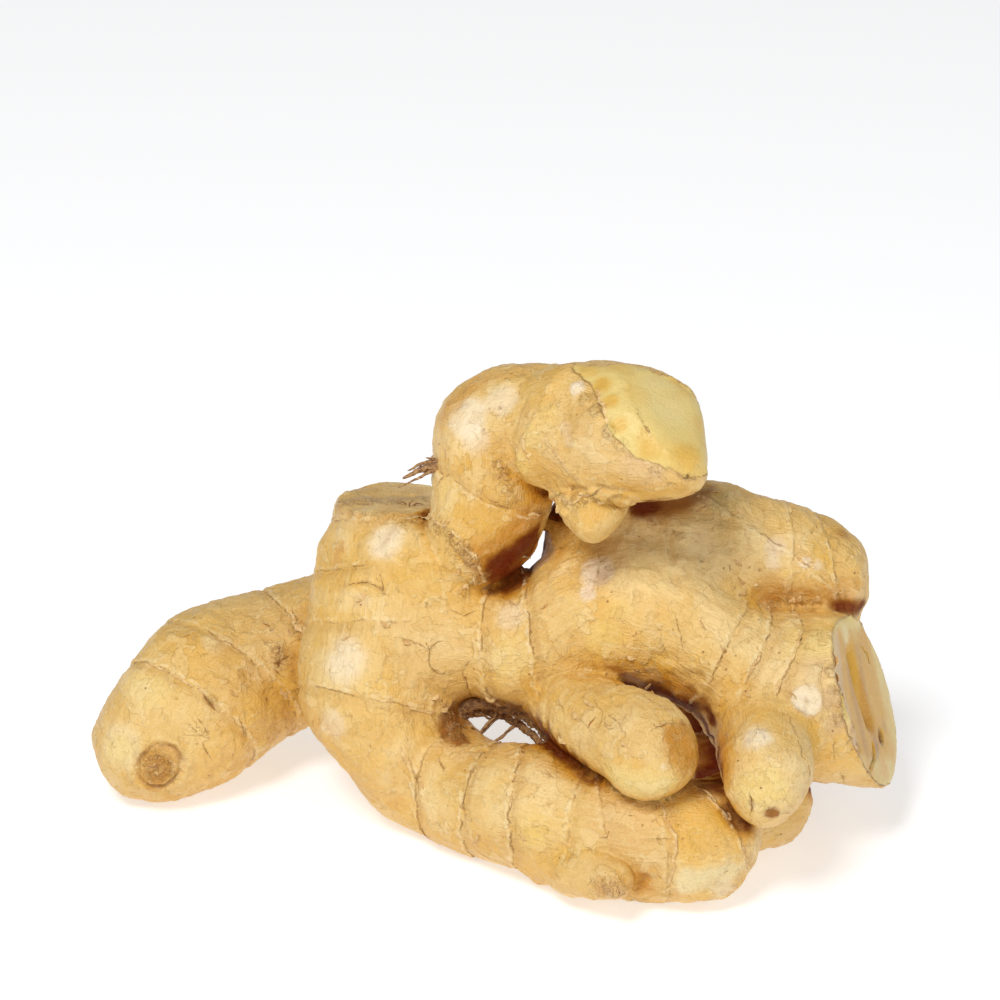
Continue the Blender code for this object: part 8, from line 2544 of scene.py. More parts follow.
def paint(co, nrm, f, rings, hollow):
    """Base colour of the skin: slow changes, the places that differ, and painted shade on down-facing sides and in
    shut-in folds.
    """
    def mix(a, b, t):
        return a + (np.array(b) - a) * t[:, None]
    tone = np.empty((len(co), 3))
    tone[:] = TONES["skin"]
    n1 = fractal(co, 16.0, 2, 201)
    n2 = fractal(co, 6.0, 3, 202)
    n3 = fractal(co, 9.0, 2, 203)
    tone = mix(tone, TONES["cream"], 0.55 * smooth(n1 + 0.5 * n2, 0.0, 0.55))
    tone = mix(tone, TONES["gold"], 0.55 * smooth(n3 - 0.3 * n2, 0.12, 0.6))
    tone = mix(tone, TONES["tan"], 0.45 * smooth(-n1 + 0.6 * n2, 0.15, 0.7))
    # the fold measure is lowered along the listed folds, which lifts the painted fold shade there
    for points, radius, amount in SHADE_LIFTS:
        rows = near_box(co, np.min(points, 0), np.max(points, 0), 2.0 * radius)
        d, _, _, _ = polyline_frame(co[rows], points, nrm[rows])
        hollow[rows] *= 1 - amount * (1 - smooth(d / radius, 0.6, 1.4))
    # painted shade: sides that face down are tinted deep gold
    tone = mix(tone, TONES["deepgold"], 0.55 * smooth(-nrm[:, 2] + 0.30 * n2, -0.45, 0.85))
    # painted shade in shut-in folds: deep gold, then ochre, then umber as the fold tightens
    tone = mix(tone, TONES["deepgold"], 0.80 * smooth(hollow, 0.08, 0.36))
    tone = mix(tone, TONES["ochre"], 0.85 * smooth(hollow + 0.05 * n2, 0.34, 0.64))
    tone = mix(tone, TONES["umber"], 0.92 * smooth(hollow + 0.08 * n2, 0.62, 0.86))
    pulp = np.empty((len(co), 3))
    pulp[:] = TONES["pulp"]
    pulp = mix(pulp, TONES["pulp_gold"], 0.45 * smooth(n2, 0.0, 0.6))
    for x, y, z, r, name, amount, soft in PATCHES:
        rows = near_box(co, (x, y, z), (x, y, z), r * (1.3 + soft) + 1)
        p = co[rows]
        rr = np.linalg.norm(p - (x, y, z), axis=1) / r
        rr = rr + 0.22 * fractal(p, max(2.0, r * 0.6), 3, 210)
        t = amount * (1 - smooth(rr, 1 - 0.5 * soft, 1 + 0.5 * soft + 0.02))
        if name.startswith("pulp"):
            pulp[rows] = mix(pulp[rows], TONES[name], t)
        else:
            tone[rows] = mix(tone[rows], TONES[name], t)
    # a dormant bud shows as brown rings, a healed root as a pale ring round a brown dot
    for x, y, z, r, kind in SCARS:
        rows = near_box(co, (x, y, z), (x, y, z), 1.4 * r)
        p = co[rows]
        rr = np.linalg.norm(p - (x, y, z), axis=1) / r
        rr = rr * (1 + (0.24 if kind == "bud" else 0.10) * fractal(p, r * 0.6, 3, 51))
        if kind == "bud":
            tone[rows] = mix(tone[rows], TONES["amber"], 0.55 * (1 - smooth(rr, 0.55, 1.0)))
            broken = smooth(fractal(p, 2.2, 2, 54), -0.45, 0.25)
            tone[rows] = mix(tone[rows], TONES["brown"], broken * (0.75 * np.exp(-((rr - 0.80) / 0.08) ** 2) + 0.35 * np.exp(-((rr - 0.45) / 0.07) ** 2))
                             + 0.5 * np.exp(-(rr / 0.28) ** 2))
        elif kind == "root":
            tone[rows] = mix(tone[rows], TONES["white"], 0.8 * (1 - smooth(rr, 0.85, 1.0)))
            tone[rows] = mix(tone[rows], TONES["brown"], 0.8 * np.exp(-(rr / 0.16) ** 2) + 0.35 * np.exp(-((rr - 0.98) / 0.07) ** 2))
        elif kind == "pit":
            tone[rows] = mix(tone[rows], TONES["brown"], 0.9 * np.exp(-(rr / 0.7) ** 2))
    return np.clip(tone, 0.0, 1.0), np.clip(pulp, 0.0, 1.0)


# --------------------------------------------------------------- materials
class Web:
    """Short names for building a node tree."""

    def __init__(self, name):
        self.mat = bpy.data.materials.new(name)
        self.mat.use_nodes = True
        self.tree = self.mat.node_tree
        self.shader = self.tree.nodes["Principled BSDF"]
        self.coord = self.tree.nodes.new("ShaderNodeTexCoord").outputs["Object"]
        self.mm = self.vec("SCALE", self.coord, scale=1000.0)

    def put(self, socket, value):
        if isinstance(value, bpy.types.NodeSocket):
            self.tree.links.new(value, socket)
        else:
            socket.default_value = value

    def vec(self, op, a, b=None, scale=None):
        node = self.tree.nodes.new("ShaderNodeVectorMath")
        node.operation = op
        self.put(node.inputs[0], a)
        if b is not None:
            self.put(node.inputs[1], b)
        if scale is not None:
            node.inputs["Scale"].default_value = scale
        return node.outputs["Vector"]

    def math(self, op, a, b=0.0, c=0.0, clamp=False):
        node = self.tree.nodes.new("ShaderNodeMath")
        node.operation = op
        node.use_clamp = clamp
        for socket, value in zip(node.inputs, (a, b, c)):
            self.put(socket, value)
        return node.outputs[0]

    def attribute(self, name):
        node = self.tree.nodes.new("ShaderNodeAttribute")
        node.attribute_name = name
        return node.outputs["Vector"]

    def split(self, vector):
        node = self.tree.nodes.new("ShaderNodeSeparateXYZ")
        self.put(node.inputs[0], vector)
        return node.outputs[0], node.outputs[1], node.outputs[2]

    def noise(self, vector, size, detail=2.0, rough=0.5, distort=0.0):
        node = self.tree.nodes.new("ShaderNodeTexNoise")
        self.put(node.inputs["Vector"], vector)
        node.inputs["Scale"].default_value = 1.0 / size
        node.inputs["Detail"].default_value = detail
        node.inputs["Roughness"].default_value = rough
        node.inputs["Distortion"].default_value = distort
        return node.outputs["Fac"]

    def cells(self, vector, size, feature="F1", random=1.0):
        node = self.tree.nodes.new("ShaderNodeTexVoronoi")
        node.feature = feature
        self.put(node.inputs["Vector"], vector)
        node.inputs["Scale"].default_value = 1.0 / size
        node.inputs["Randomness"].default_value = random
        return node.outputs["Distance"]

    def tree_noise_vector(self, vector, size):
        node = self.tree.nodes.new("ShaderNodeTexNoise")
        self.put(node.inputs["Vector"], vector)
        node.inputs["Scale"].default_value = 1.0 / size
        node.inputs["Detail"].default_value = 1.0
        return self.vec("SUBTRACT", node.outputs["Color"], (0.5, 0.5, 0.5))

    def range(self, x, lo, hi, a=0.0, b=1.0):
        node = self.tree.nodes.new("ShaderNodeMapRange")
        node.interpolation_type = "SMOOTHSTEP"
        self.put(node.inputs["Value"], x)
        node.inputs["From Min"].default_value = lo
        node.inputs["From Max"].default_value = hi
        node.inputs["To Min"].default_value = a
        node.inputs["To Max"].default_value = b
        return node.outputs["Result"]

    def mix(self, factor, a, b, mode="MIX"):
        node = self.tree.nodes.new("ShaderNodeMix")
        node.data_type = "RGBA"
        node.blend_type = mode
        self.put(node.inputs["Factor"], factor)
        for key, value in (("A", a), ("B", b)):
            socket = [s for s in node.inputs if s.name == key and s.type == "RGBA"][0]
            self.put(socket, value if isinstance(value, bpy.types.NodeSocket) else (*value, 1.0))
        return [s for s in node.outputs if s.type == "RGBA"][0]

    def mul(self, *values):
        out = values[0]
        for v in values[1:]:
            out = self.math("MULTIPLY", out, v)
        return out

    def add(self, *values):
        out = values[0]
        for v in values[1:]:
            out = self.math("ADD", out, v)
        return out

    def bump(self, height, distance=0.001, strength=1.0):
        node = self.tree.nodes.new("ShaderNodeBump")
        node.inputs["Strength"].default_value = strength
        node.inputs["Distance"].default_value = distance
        self.put(node.inputs["Height"], height)
        self.put(self.shader.inputs["Normal"], node.outputs["Normal"])


def skin_material():
    w = Web("ginger_skin")
    s = w.shader
    p = w.mm
    grow = w.attribute("grow")
    tone = w.attribute("tone")
    q0, w0, scaly = w.split(w.attribute("ringa"))
    q1, w1, hollow = w.split(w.attribute("ringb"))
    crack, crack_w, flesh = w.split(w.attribute("marks"))
    margin, peel, flake = w.split(w.attribute("layers"))

    wide = w.noise(p, 5.0, 4.0, 0.6)
    mid = w.noise(p, 1.7, 4.0, 0.65)
    fine = w.noise(p, 0.42, 3.0, 0.6)
    grow_fine = w.vec("MULTIPLY", grow, (1.0, 1.0, 0.09))
    streak = w.noise(grow_fine, 0.62, 3.0, 0.6)
    hair = w.noise(w.vec("MULTIPLY", grow, (1.0, 1.0, 0.05)), 0.26, 2.0, 0.5)

    # crisp edges of flaked layers
    pa = w.add(peel, w.math("MULTIPLY", w.math("SUBTRACT", mid, 0.5), 0.20), w.math("MULTIPLY", w.math("SUBTRACT", fine, 0.5), 0.07))
    fl = w.add(flake, w.math("MULTIPLY", w.math("SUBTRACT", mid, 0.5), 0.35), w.math("MULTIPLY", w.math("SUBTRACT", fine, 0.5), 0.12))
    layer1 = w.range(pa, 0.045, 0.075)
    layer2 = w.range(pa, -0.255, -0.225)
    layer3 = w.range(fl, 0.24, 0.27)
    layer4 = w.range(fl, -0.28, -0.31)

    # skin colour: slow tone, flaked layers, lengthwise streaks, grain
    col = w.mix(w.range(wide, 0.50, 0.64, 0.0, 0.20), tone, (0.90, 0.69, 0.31))
    col = w.mix(w.range(wide, 0.50, 0.34, 0.0, 0.20), col, (0.74, 0.43, 0.10))
    col = w.mix(w.mul(layer1, 0.14), col, (0.93, 0.74, 0.38))
    col = w.mix(w.mul(w.math("SUBTRACT", 1.0, layer2), 0.18), col, (0.72, 0.44, 0.13))
    col = w.mix(w.mul(layer3, 0.20), col, (0.96, 0.78, 0.44))
    col = w.mix(w.mul(layer4, 0.16), col, (0.66, 0.38, 0.09))
    col = w.mix(w.range(mid, 0.56, 0.70, 0.0, 0.26), col, (0.94, 0.76, 0.40))
    col = w.mix(w.range(mid, 0.45, 0.30, 0.0, 0.28), col, (0.66, 0.37, 0.085))
    col = w.mix(w.mul(margin, w.range(streak, 0.54, 0.72, 0.0, 0.26)), col, (0.95, 0.78, 0.44))
    col = w.mix(w.mul(margin, w.range(streak, 0.45, 0.28, 0.0, 0.28)), col, (0.62, 0.34, 0.08))
    col = w.mix(w.range(fine, 0.42, 0.26, 0.0, 0.32), col, (0.52, 0.27, 0.06))
    col = w.mix(w.range(fine, 0.56, 0.72, 0.0, 0.25), col, (0.96, 0.82, 0.54))
    rim_gate = w.range(w.noise(p, 2.4, 2.0), 0.50, 0.62)
    layer_rim = w.mul(rim_gate, w.add(w.range(w.math("ABSOLUTE", w.add(pa, -0.050)), 0.018, 0.004),
                                      w.range(w.math("ABSOLUTE", w.add(pa, 0.250)), 0.018, 0.004),
                                      w.range(w.math("ABSOLUTE", w.add(fl, -0.245)), 0.022, 0.006)))
    col = w.mix(w.math("MULTIPLY", layer_rim, 0.20, clamp=True), col, (0.50, 0.24, 0.05))

    # short brown dashes and nicks, along and across the finger
    nick_a = w.cells(w.vec("MULTIPLY", w.vec("ADD", p, w.vec("SCALE", w.tree_noise_vector(p, 3.0), scale=2.2)), (1.0, 0.42, 0.36)), 1.9)
    nick_b = w.cells(w.vec("MULTIPLY", w.vec("ADD", p, w.vec("SCALE", w.tree_noise_vector(w.vec("ADD", p, (9.0, 5.0, 1.0)), 3.0), scale=2.2)), (0.34, 0.5, 1.0)), 2.1)
    gate_a = w.range(w.noise(w.vec("ADD", p, (5.0, 31.0, 2.0)), 4.5, 2.0), 0.52, 0.60)
    gate_b = w.range(w.noise(w.vec("ADD", p, (51.0, 3.0, 22.0)), 4.5, 2.0), 0.54, 0.62)
    nick = w.math("MAXIMUM", w.mul(w.range(nick_a, 0.105, 0.05), gate_a), w.mul(w.range(nick_b, 0.095, 0.045), gate_b))
    col = w.mix(w.mul(nick, 0.62), col, (0.42, 0.18, 0.03))

    # pores and rootlet dots
    dots = w.cells(w.vec("ADD", p, (3.1, 1.7, 9.2)), 3.4)
    dot = w.mul(w.range(dots, 0.10, 0.045), w.range(w.noise(p, 7.0, 1.0), 0.50, 0.60))
    col = w.mix(w.mul(dot, 0.8), col, (0.26, 0.11, 0.03))

    # fine crackle in the dry skin
    bent = w.vec("ADD", p, w.vec("SCALE", w.tree_noise_vector(p, 2.2), scale=1.5))
    net = w.cells(bent, 5.2, "DISTANCE_TO_EDGE")
    net_gate = w.range(w.noise(w.vec("ADD", p, (40.0, 3.0, 7.0)), 9.0, 2.0), 0.53, 0.64)
    net_line = w.mul(w.range(net, 0.030, 0.008), net_gate, w.range(w.noise(p, 1.3, 1.0), 0.40, 0.55))
    col = w.mix(w.mul(net_line, 0.24), col, (0.40, 0.19, 0.05))

    # deep colours stay deep: the grain fades where the tone is dark (brown marks and painted shade) and over painted
    # shade in shut-in folds
    _, tone_g, _ = w.split(tone)
    deep = w.math("MAXIMUM", w.range(hollow, 0.30, 0.62, 0.0, 0.75), w.range(tone_g, 0.38, 0.12, 0.0, 0.92))
    col = w.mix(deep, col, tone)

    # growth rings: brown broken line, pale edge of the dried sheath, warm side
    ring_line = 0.0
    pale = 0.0
    warm = 0.0
    for q, amount in ((q0, w0), (q1, w1)):
        qq = w.add(q, w.math("MULTIPLY", w.math("SUBTRACT", mid, 0.5), 1.1), w.math("MULTIPLY", w.math("SUBTRACT", fine, 0.5), 0.5))
        away = w.math("ABSOLUTE", qq)
        gate = w.range(w.noise(p, 3.2, 2.0), 0.40, 0.56)
        ring_line = w.add(ring_line, w.mul(w.range(away, 0.26, 0.06), amount, gate))
        pale = w.add(pale, w.mul(w.range(w.math("ABSOLUTE", w.add(qq, 0.62)), 0.55, 0.12), amount, w.range(mid, 0.42, 0.58)))
        warm = w.add(warm, w.mul(w.range(w.math("ABSOLUTE", w.add(qq, -1.1)), 1.5, 0.3), amount))
    col = w.mix(w.math("MULTIPLY", warm, 0.36, clamp=True), col, (0.60, 0.33, 0.085))
    col = w.mix(w.math("MULTIPLY", pale, 0.55, clamp=True), col, (0.94, 0.76, 0.44))
    col = w.mix(w.math("MULTIPLY", ring_line, 0.72, clamp=True), col, (0.33, 0.155, 0.045))

    # scaly places: torn fibres with brown between
    rough_n = w.noise(p, 0.8, 3.0, 0.7, 0.6)
    col = w.mix(w.mul(scaly, w.range(rough_n, 0.52, 0.36), 0.85), col, (0.36, 0.17, 0.05))
    col = w.mix(w.mul(scaly, w.range(rough_n, 0.54, 0.70), 0.55), col, (0.92, 0.72, 0.38))

    # painted shade: shut-in folds are darkened to brown
    col = w.mix(w.mul(w.range(hollow, 0.50, 0.85), w.range(mid, 0.60, 0.35), 0.6), col, (0.22, 0.06, 0.012))

    # cracks
    cq = w.math("ABSOLUTE", w.add(crack, w.math("MULTIPLY", w.math("SUBTRACT", fine, 0.5), 0.35)))
    crack_gate = w.range(w.noise(p, 0.9, 2.0), 0.36, 0.52)
    crack_line = w.mul(w.range(cq, 0.17, 0.06), crack_w, crack_gate)
    col = w.mix(w.mul(w.range(cq, 0.55, 0.1), crack_w, 0.25), col, (0.56, 0.30, 0.08))
    col = w.mix(w.mul(crack_line, 0.80), col, (0.33, 0.13, 0.025))

    # moist flesh where the skin was cut, torn or rubbed away
    inside = w.add(flesh, w.math("MULTIPLY", w.math("SUBTRACT", mid, 0.5), 1.3), w.math("MULTIPLY", w.math("SUBTRACT", fine, 0.5), 0.5))
    flesh_f = w.range(inside, -0.05, 0.22)
    pulp = w.attribute("pulp")
    yellow = w.mix(w.range(w.noise(p, 0.75, 2.0, 0.5), 0.52, 0.72, 0.0, 0.16), pulp, (0.90, 0.76, 0.34))
    yellow = w.mix(w.range(mid, 0.46, 0.30, 0.0, 0.28), yellow, (0.62, 0.38, 0.08))
    yellow = w.mix(w.range(w.cells(p, 1.5), 0.14, 0.05, 0.0, 0.22), yellow, (0.62, 0.42, 0.12))
    rim = w.mul(w.range(w.math("ABSOLUTE", inside), 0.42, 0.10), w.range(w.noise(p, 4.0, 1.0), 0.38, 0.55))
    col = w.mix(flesh_f, col, yellow)
    col = w.mix(w.mul(rim, 0.45), col, (0.48, 0.24, 0.07))

    w.put(s.inputs["Base Color"], col)
    dry = w.range(mid, 0.3, 0.7, 0.30, 0.47)
    w.put(s.inputs["Roughness"], w.add(w.mul(dry, w.math("SUBTRACT", 1.0, flesh_f)), w.mul(flesh_f, w.range(fine, 0.3, 0.7, 0.30, 0.42))))
    w.put(s.inputs["Specular IOR Level"], w.mul(w.range(hollow, 0.15, 0.60, 0.50, 0.06), w.range(tone_g, 0.05, 0.30, 0.10, 1.0)))
    s.inputs["Subsurface Weight"].default_value = 0.0
    s.inputs["Subsurface Radius"].default_value = (1.0, 0.45, 0.18)
    s.inputs["Subsurface Scale"].default_value = 0.0015

    skin_only = w.math("SUBTRACT", 1.0, w.mul(flesh_f, 0.75))
    height = w.add(
        w.mul(streak, 0.28, skin_only, margin),
        w.mul(hair, 0.09, skin_only, margin),
        w.mul(mid, 0.50, skin_only),
        w.mul(fine, 0.15),
        w.mul(w.noise(p, 0.16, 2.0, 0.5), 0.035, skin_only),
        w.mul(layer1, 0.07, skin_only),
        w.mul(layer2, 0.07, skin_only),
        w.mul(layer3, 0.08, skin_only),
        w.mul(layer4, -0.06, skin_only),
        w.mul(nick, -0.10, skin_only),
        w.mul(net_line, -0.04),
        w.mul(dot, -0.10),
        w.mul(scaly, rough_n, 0.75),
        w.mul(ring_line, -0.12),
        w.mul(crack_line, -0.14))
    w.bump(height)
    return w.mat


def sheath_material():
    """Dried, papery edges of the scale leaves."""
    w = Web("ginger_sheath")
    p = w.mm
    a = w.noise(p, 1.4, 3.0, 0.6)
    b = w.noise(w.vec("MULTIPLY", p, (1.0, 1.0, 0.5)), 0.35, 2.0, 0.5)
    col = w.mix(w.range(a, 0.40, 0.60), (0.66, 0.40, 0.15), (0.82, 0.58, 0.26))
    col = w.mix(w.range(b, 0.55, 0.75, 0.0, 0.4), col, (0.92, 0.73, 0.42))
    col = w.mix(w.range(b, 0.44, 0.27, 0.0, 0.5), col, (0.40, 0.20, 0.06))
    w.put(w.shader.inputs["Base Color"], col)
    w.put(w.shader.inputs["Roughness"], w.range(a, 0.3, 0.7, 0.5, 0.7))
    w.bump(w.add(w.mul(a, 0.10), w.mul(b, 0.04)))
    return w.mat


def root_material():
    """Dead roots: brown husk, pale torn fibre."""
    w = Web("ginger_root_fibre")
    p = w.mm
    a = w.noise(p, 0.9, 3.0, 0.6)
    b = w.noise(w.vec("MULTIPLY", p, (0.25, 1.0, 1.0)), 0.25, 2.0, 0.6)
    col = w.mix(w.range(a, 0.40, 0.60), (0.20, 0.085, 0.025), (0.46, 0.25, 0.09))
    col = w.mix(w.range(b, 0.56, 0.72, 0.0, 0.6), col, (0.78, 0.60, 0.36))
    w.put(w.shader.inputs["Base Color"], col)
    w.put(w.shader.inputs["Roughness"], w.range(a, 0.3, 0.7, 0.5, 0.72))
    w.bump(w.add(w.mul(a, 0.10), w.mul(b, 0.08)))
    return w.mat


# ------------------------------------------------------------ small pieces
class Soup:
    """Collects many small closed bodies into one mesh."""

    def __init__(self):
        self.verts, self.faces = [], []

    def strip(self, points, normals, dirs, width, lift, thick):
        """A thin closed band along a line: held behind it, free and ragged in front."""
        n = len(points)
        if n < 3:
            return
        base = len(self.verts)
        end = np.minimum(1.0, np.minimum(np.arange(n), n - 1 - np.arange(n)) / 2.0)
        width = width * (0.15 + 0.85 * end)
        lift = lift * end
        thick = thick * (0.4 + 0.6 * end)
        rows = (
            points - dirs * 0.55 - normals * 0.22,
            points + normals * 0.03 + dirs * 0.05,
            points + dirs * (0.55 * width)[:, None] + normals * (0.55 * lift + 0.02)[:, None],
            points + dirs * width[:, None] + normals * lift[:, None],
        )
        for i in range(n):
            top = [r[i] + normals[i] * thick[i] for r in rows]
            low = [r[i] - normals[i] * 0.02 for r in rows]
            self.verts += top + low[::-1]
        m = 8
        for i in range(n - 1):
            a, b = base + i * m, base + (i + 1) * m
            for k in range(m):
                j = (k + 1) % m
                self.faces.append((a + k, a + j, b + j, b + k))
        self.faces.append(tuple(base + k for k in range(m))[::-1])
        self.faces.append(tuple(base + (n - 1) * m + k for k in range(m)))

    def tube(self, points, radii, sides=7, flat=1.0, seed=0):
        points = np.array(points, float)
        n = len(points)
        tan = unit(np.gradient(points, axis=0))
        e = np.cross(tan[0], (0.2, 0.9, 0.35))
        base = len(self.verts)
        for i in range(n):
            e = e - (e @ tan[i]) * tan[i]
            e = e / np.linalg.norm(e)
            o = np.cross(tan[i], e)
            for k in range(sides):
                a = 2 * math.pi * k / sides
                wob = 1 + 0.22 * math.sin(3.1 * k + 1.7 * i + seed) * math.cos(0.9 * i + 2.0 * k)
                self.verts.append(points[i] + radii[i] * wob * (math.cos(a) * e + flat * math.sin(a) * o))
        for i in range(n - 1):
            for k in range(sides):
                a, b = base + i * sides + k, base + i * sides + (k + 1) % sides
                self.faces.append((a, b, b + sides, a + sides))
        self.faces.append(tuple(base + k for k in range(sides))[::-1])
        self.faces.append(tuple(base + (n - 1) * sides + k for k in range(sides)))

    def object(self, name, material):
        mesh = bpy.data.meshes.new(name)
        verts = (np.array(self.verts) + SHIFT) * MM
        verts[:, 2] = np.maximum(verts[:, 2], 0.00005)
        mesh.from_pydata([tuple(v) for v in verts], [], self.faces)
        mesh.update()
        bm = bmesh.new()
        bm.from_mesh(mesh)
        bmesh.ops.recalc_face_normals(bm, faces=bm.faces)
        bmesh.ops.triangulate(bm, faces=bm.faces)
        bm.to_mesh(mesh)
        bm.free()
        mesh.shade_smooth()
        mesh.materials.append(material)
        ob = bpy.data.objects.new(name, mesh)
        bpy.context.scene.collection.objects.link(ob)
        return ob


def wob1(x, seed):
    """Smooth noise along one number."""
    x = np.asarray(x, float)
    return value_noise(np.stack([x, np.full_like(x, seed * 3.7), np.full_like(x, 0.5)], 1), seed)


def ring_strips(soup, bvh):
    """Torn remains of the scale leaves round the growth rings."""
    for index, (name, point, normal, strength, kind) in enumerate(RINGS):
        if kind == 0:
            continue
        line = LINES[name]
        point = np.array(point, float)
        k = np.argmin(np.linalg.norm(line[:, :3] - point, axis=1))
        centre, radius = line[k, :3], line[k, 3]
        normal = unit(np.array(normal, float))
        centre = centre + ((point - centre) @ normal) * normal
        a = unit(np.cross(normal, (0.12, 0.3, 0.95)))
        b = np.cross(normal, a)
        count = int(2 * math.pi * radius / 0.36)
        run = []
        flush = []
        for i in range(count + 1):
            ang = 2 * math.pi * i / count
            direction = math.cos(ang) * a + math.sin(ang) * b
            hit = None
            start = centre
            for _ in range(2):
                loc, nor, _, far = bvh.ray_cast(Vector(start), Vector(direction))
                if loc is None or far > radius * 1.45 or far < radius * 0.5:
                    hit = None
                    break
                hit = np.array(loc)
                shift = 0.55 * fractal(hit[None], 7.0, 2, 11)[0] + 0.35 * fractal(hit[None], 1.9, 2, 12)[0] + 0.16 * value_noise(hit[None] / 0.7, 14)[0]
                start = centre - normal * shift
            if hit is not None and np.array(nor) @ direction > 0.35:
                run.append((hit, np.array(nor), ang * radius))
            else:
                flush.append(run)
                run = []
        flush.append(run)
        for run in flush:
            if len(run) < 8:
                continue
            pts = np.array([r[0] for r in run])
            nrm = unit(relax_line(np.array([r[1] for r in run]), 3))
            arc = np.array([r[2] for r in run])
            show = wob1(arc / 6.0, 300 + index) + 0.7 * wob1(arc / 2.2, 340 + index) > 0.58 - 0.80 * kind
            show &= np.abs(finger_field(name, pts)[0]) < 1.0
            dirs = normal - (nrm @ normal)[:, None] * nrm
            dirs = unit(dirs)
            ragged = np.clip(0.55 + 0.5 * wob1(arc / 1.1, 380 + index) + 0.45 * wob1(arc / 0.45, 420 + index), 0.08, 1.5)
            width = (0.22 + 0.62 * kind) * ragged
            lift = 0.05 + (0.10 + 0.30 * kind) * np.clip(0.5 + 0.6 * wob1(arc / 2.6, 460 + index), 0, 1.2)
            for s, e in spans(show):
                if e - s > 4:
                    soup.strip(pts[s:e], nrm[s:e], dirs[s:e], width[s:e], lift[s:e], np.full(e - s, 0.07))


def relax_line(v, passes):
    for _ in range(passes):
        v[1:-1] = 0.5 * v[1:-1] + 0.25 * (v[:-2] + v[2:])
    return v


def spans(mask):
    out = []
    start = None
    for i, m in enumerate(mask):
        if m and start is None:
            start = i
        if not m and start is not None:
            out.append((start, i))
            start = None
    if start is not None:
        out.append((start, len(mask)))
    return out


def resample(points, step):
    points = np.array(points, float)
    seg = np.linalg.norm(np.diff(points, axis=0), axis=1)
    arc = np.concatenate([[0], np.cumsum(seg)])
    count = max(4, int(arc[-1] / step))
    at = np.linspace(0, arc[-1], count)
    return np.stack([np.interp(at, arc, points[:, k]) for k in range(3)], 1), at


def edge_strips(soup, bvh):
    """Free papery edges along the listed lines."""
    for index, (points, width, height) in enumerate(EDGES):
        pts, arc = resample(points, 0.33)
        hits, nors = [], []
        for q in pts:
            loc, nor, _, _ = bvh.find_nearest(Vector(q))
            hits.append(loc)
            nors.append(nor)
        hits = np.array(hits)
        nrm = unit(relax_line(np.array(nors), 4))
        hits = relax_line(hits, 2)
        tan = unit(np.gradient(hits, axis=0))
        dirs = unit(np.cross(tan, nrm))
        hits = hits + dirs * (0.22 * wob1(arc / 1.3, 500 + index))[:, None]
        ragged = np.clip(0.6 + 0.5 * wob1(arc / 1.2, 540 + index) + 0.4 * wob1(arc / 0.5, 560 + index), 0.12, 1.5)
        lift = 0.10 + 0.5 * min(height, 0.7) * np.clip(0.6 + 0.6 * wob1(arc / 2.2, 580 + index), 0, 1.2)
        show = wob1(arc / 3.0, 600 + index) > -0.62
        for s, e in spans(show):
            if e - s > 4:
                soup.strip(hits[s:e], nrm[s:e], dirs[s:e], 0.9 * ragged[s:e], lift[s:e], np.full(e - s, 0.08))


def curls(soup, bvh):
    """Small loose curls of torn skin: place, run direction, length, width, lift."""
    for index, (x, y, z, dx, dy, dz, length, width, lift) in enumerate(CURLS):
        run = unit(np.array((dx, dy, dz), float))
        count = max(5, int(length / 0.3))
        at = np.linspace(-0.5 * length, 0.5 * length, count)
        hits, nors = [], []
        for s in at:
            loc, nor, _, _ = bvh.find_nearest(Vector(np.array((x, y, z)) + run * s))
            hits.append(loc)
            nors.append(nor)
        hits = np.array(hits)
        nrm = unit(relax_line(np.array(nors), 3))
        tan = unit(np.gradient(hits, axis=0))
        dirs = unit(np.cross(tan, nrm))
        shape = np.sin(np.linspace(0.15, math.pi - 0.15, count))
        ragged = np.clip(0.75 + 0.45 * wob1(at / 0.6, 700 + index), 0.3, 1.3)
        soup.strip(hits, nrm, dirs, width * shape * ragged, lift * shape, np.full(count, 0.07))


def roots(soup, bvh):
    for index, (points, radius, tip, flat) in enumerate(ROOTS):
        pts, arc = resample(points, 0.45)
        total = arc[-1]
        radii = radius + (tip - radius) * (arc / total)
        radii = radii * (1 + 0.15 * wob1(arc / 0.9, 800 + index))
        radii[0] *= 0.7
        radii[-1] *= 0.45
        pts = pts + 0.12 * np.stack([wob1(arc / 1.6, 820 + index * 3 + k) for k in range(3)], 1)
        soup.tube(pts, radii, 7, flat, index)


# ------------------------------------------------------------------- light
def area(name, place, aim, size, power, colour=(1.0, 1.0, 1.0)):
    data = bpy.data.lights.new(name, "AREA")
    data.shape = "DISK"
    data.size = size
    data.energy = power
    data.color = colour
    ob = bpy.data.objects.new(name, data)
    ob.location = place
    ob.rotation_euler = (Vector(aim) - Vector(place)).to_track_quat("-Z", "Y").to_euler()
    bpy.context.scene.collection.objects.link(ob)
    return ob


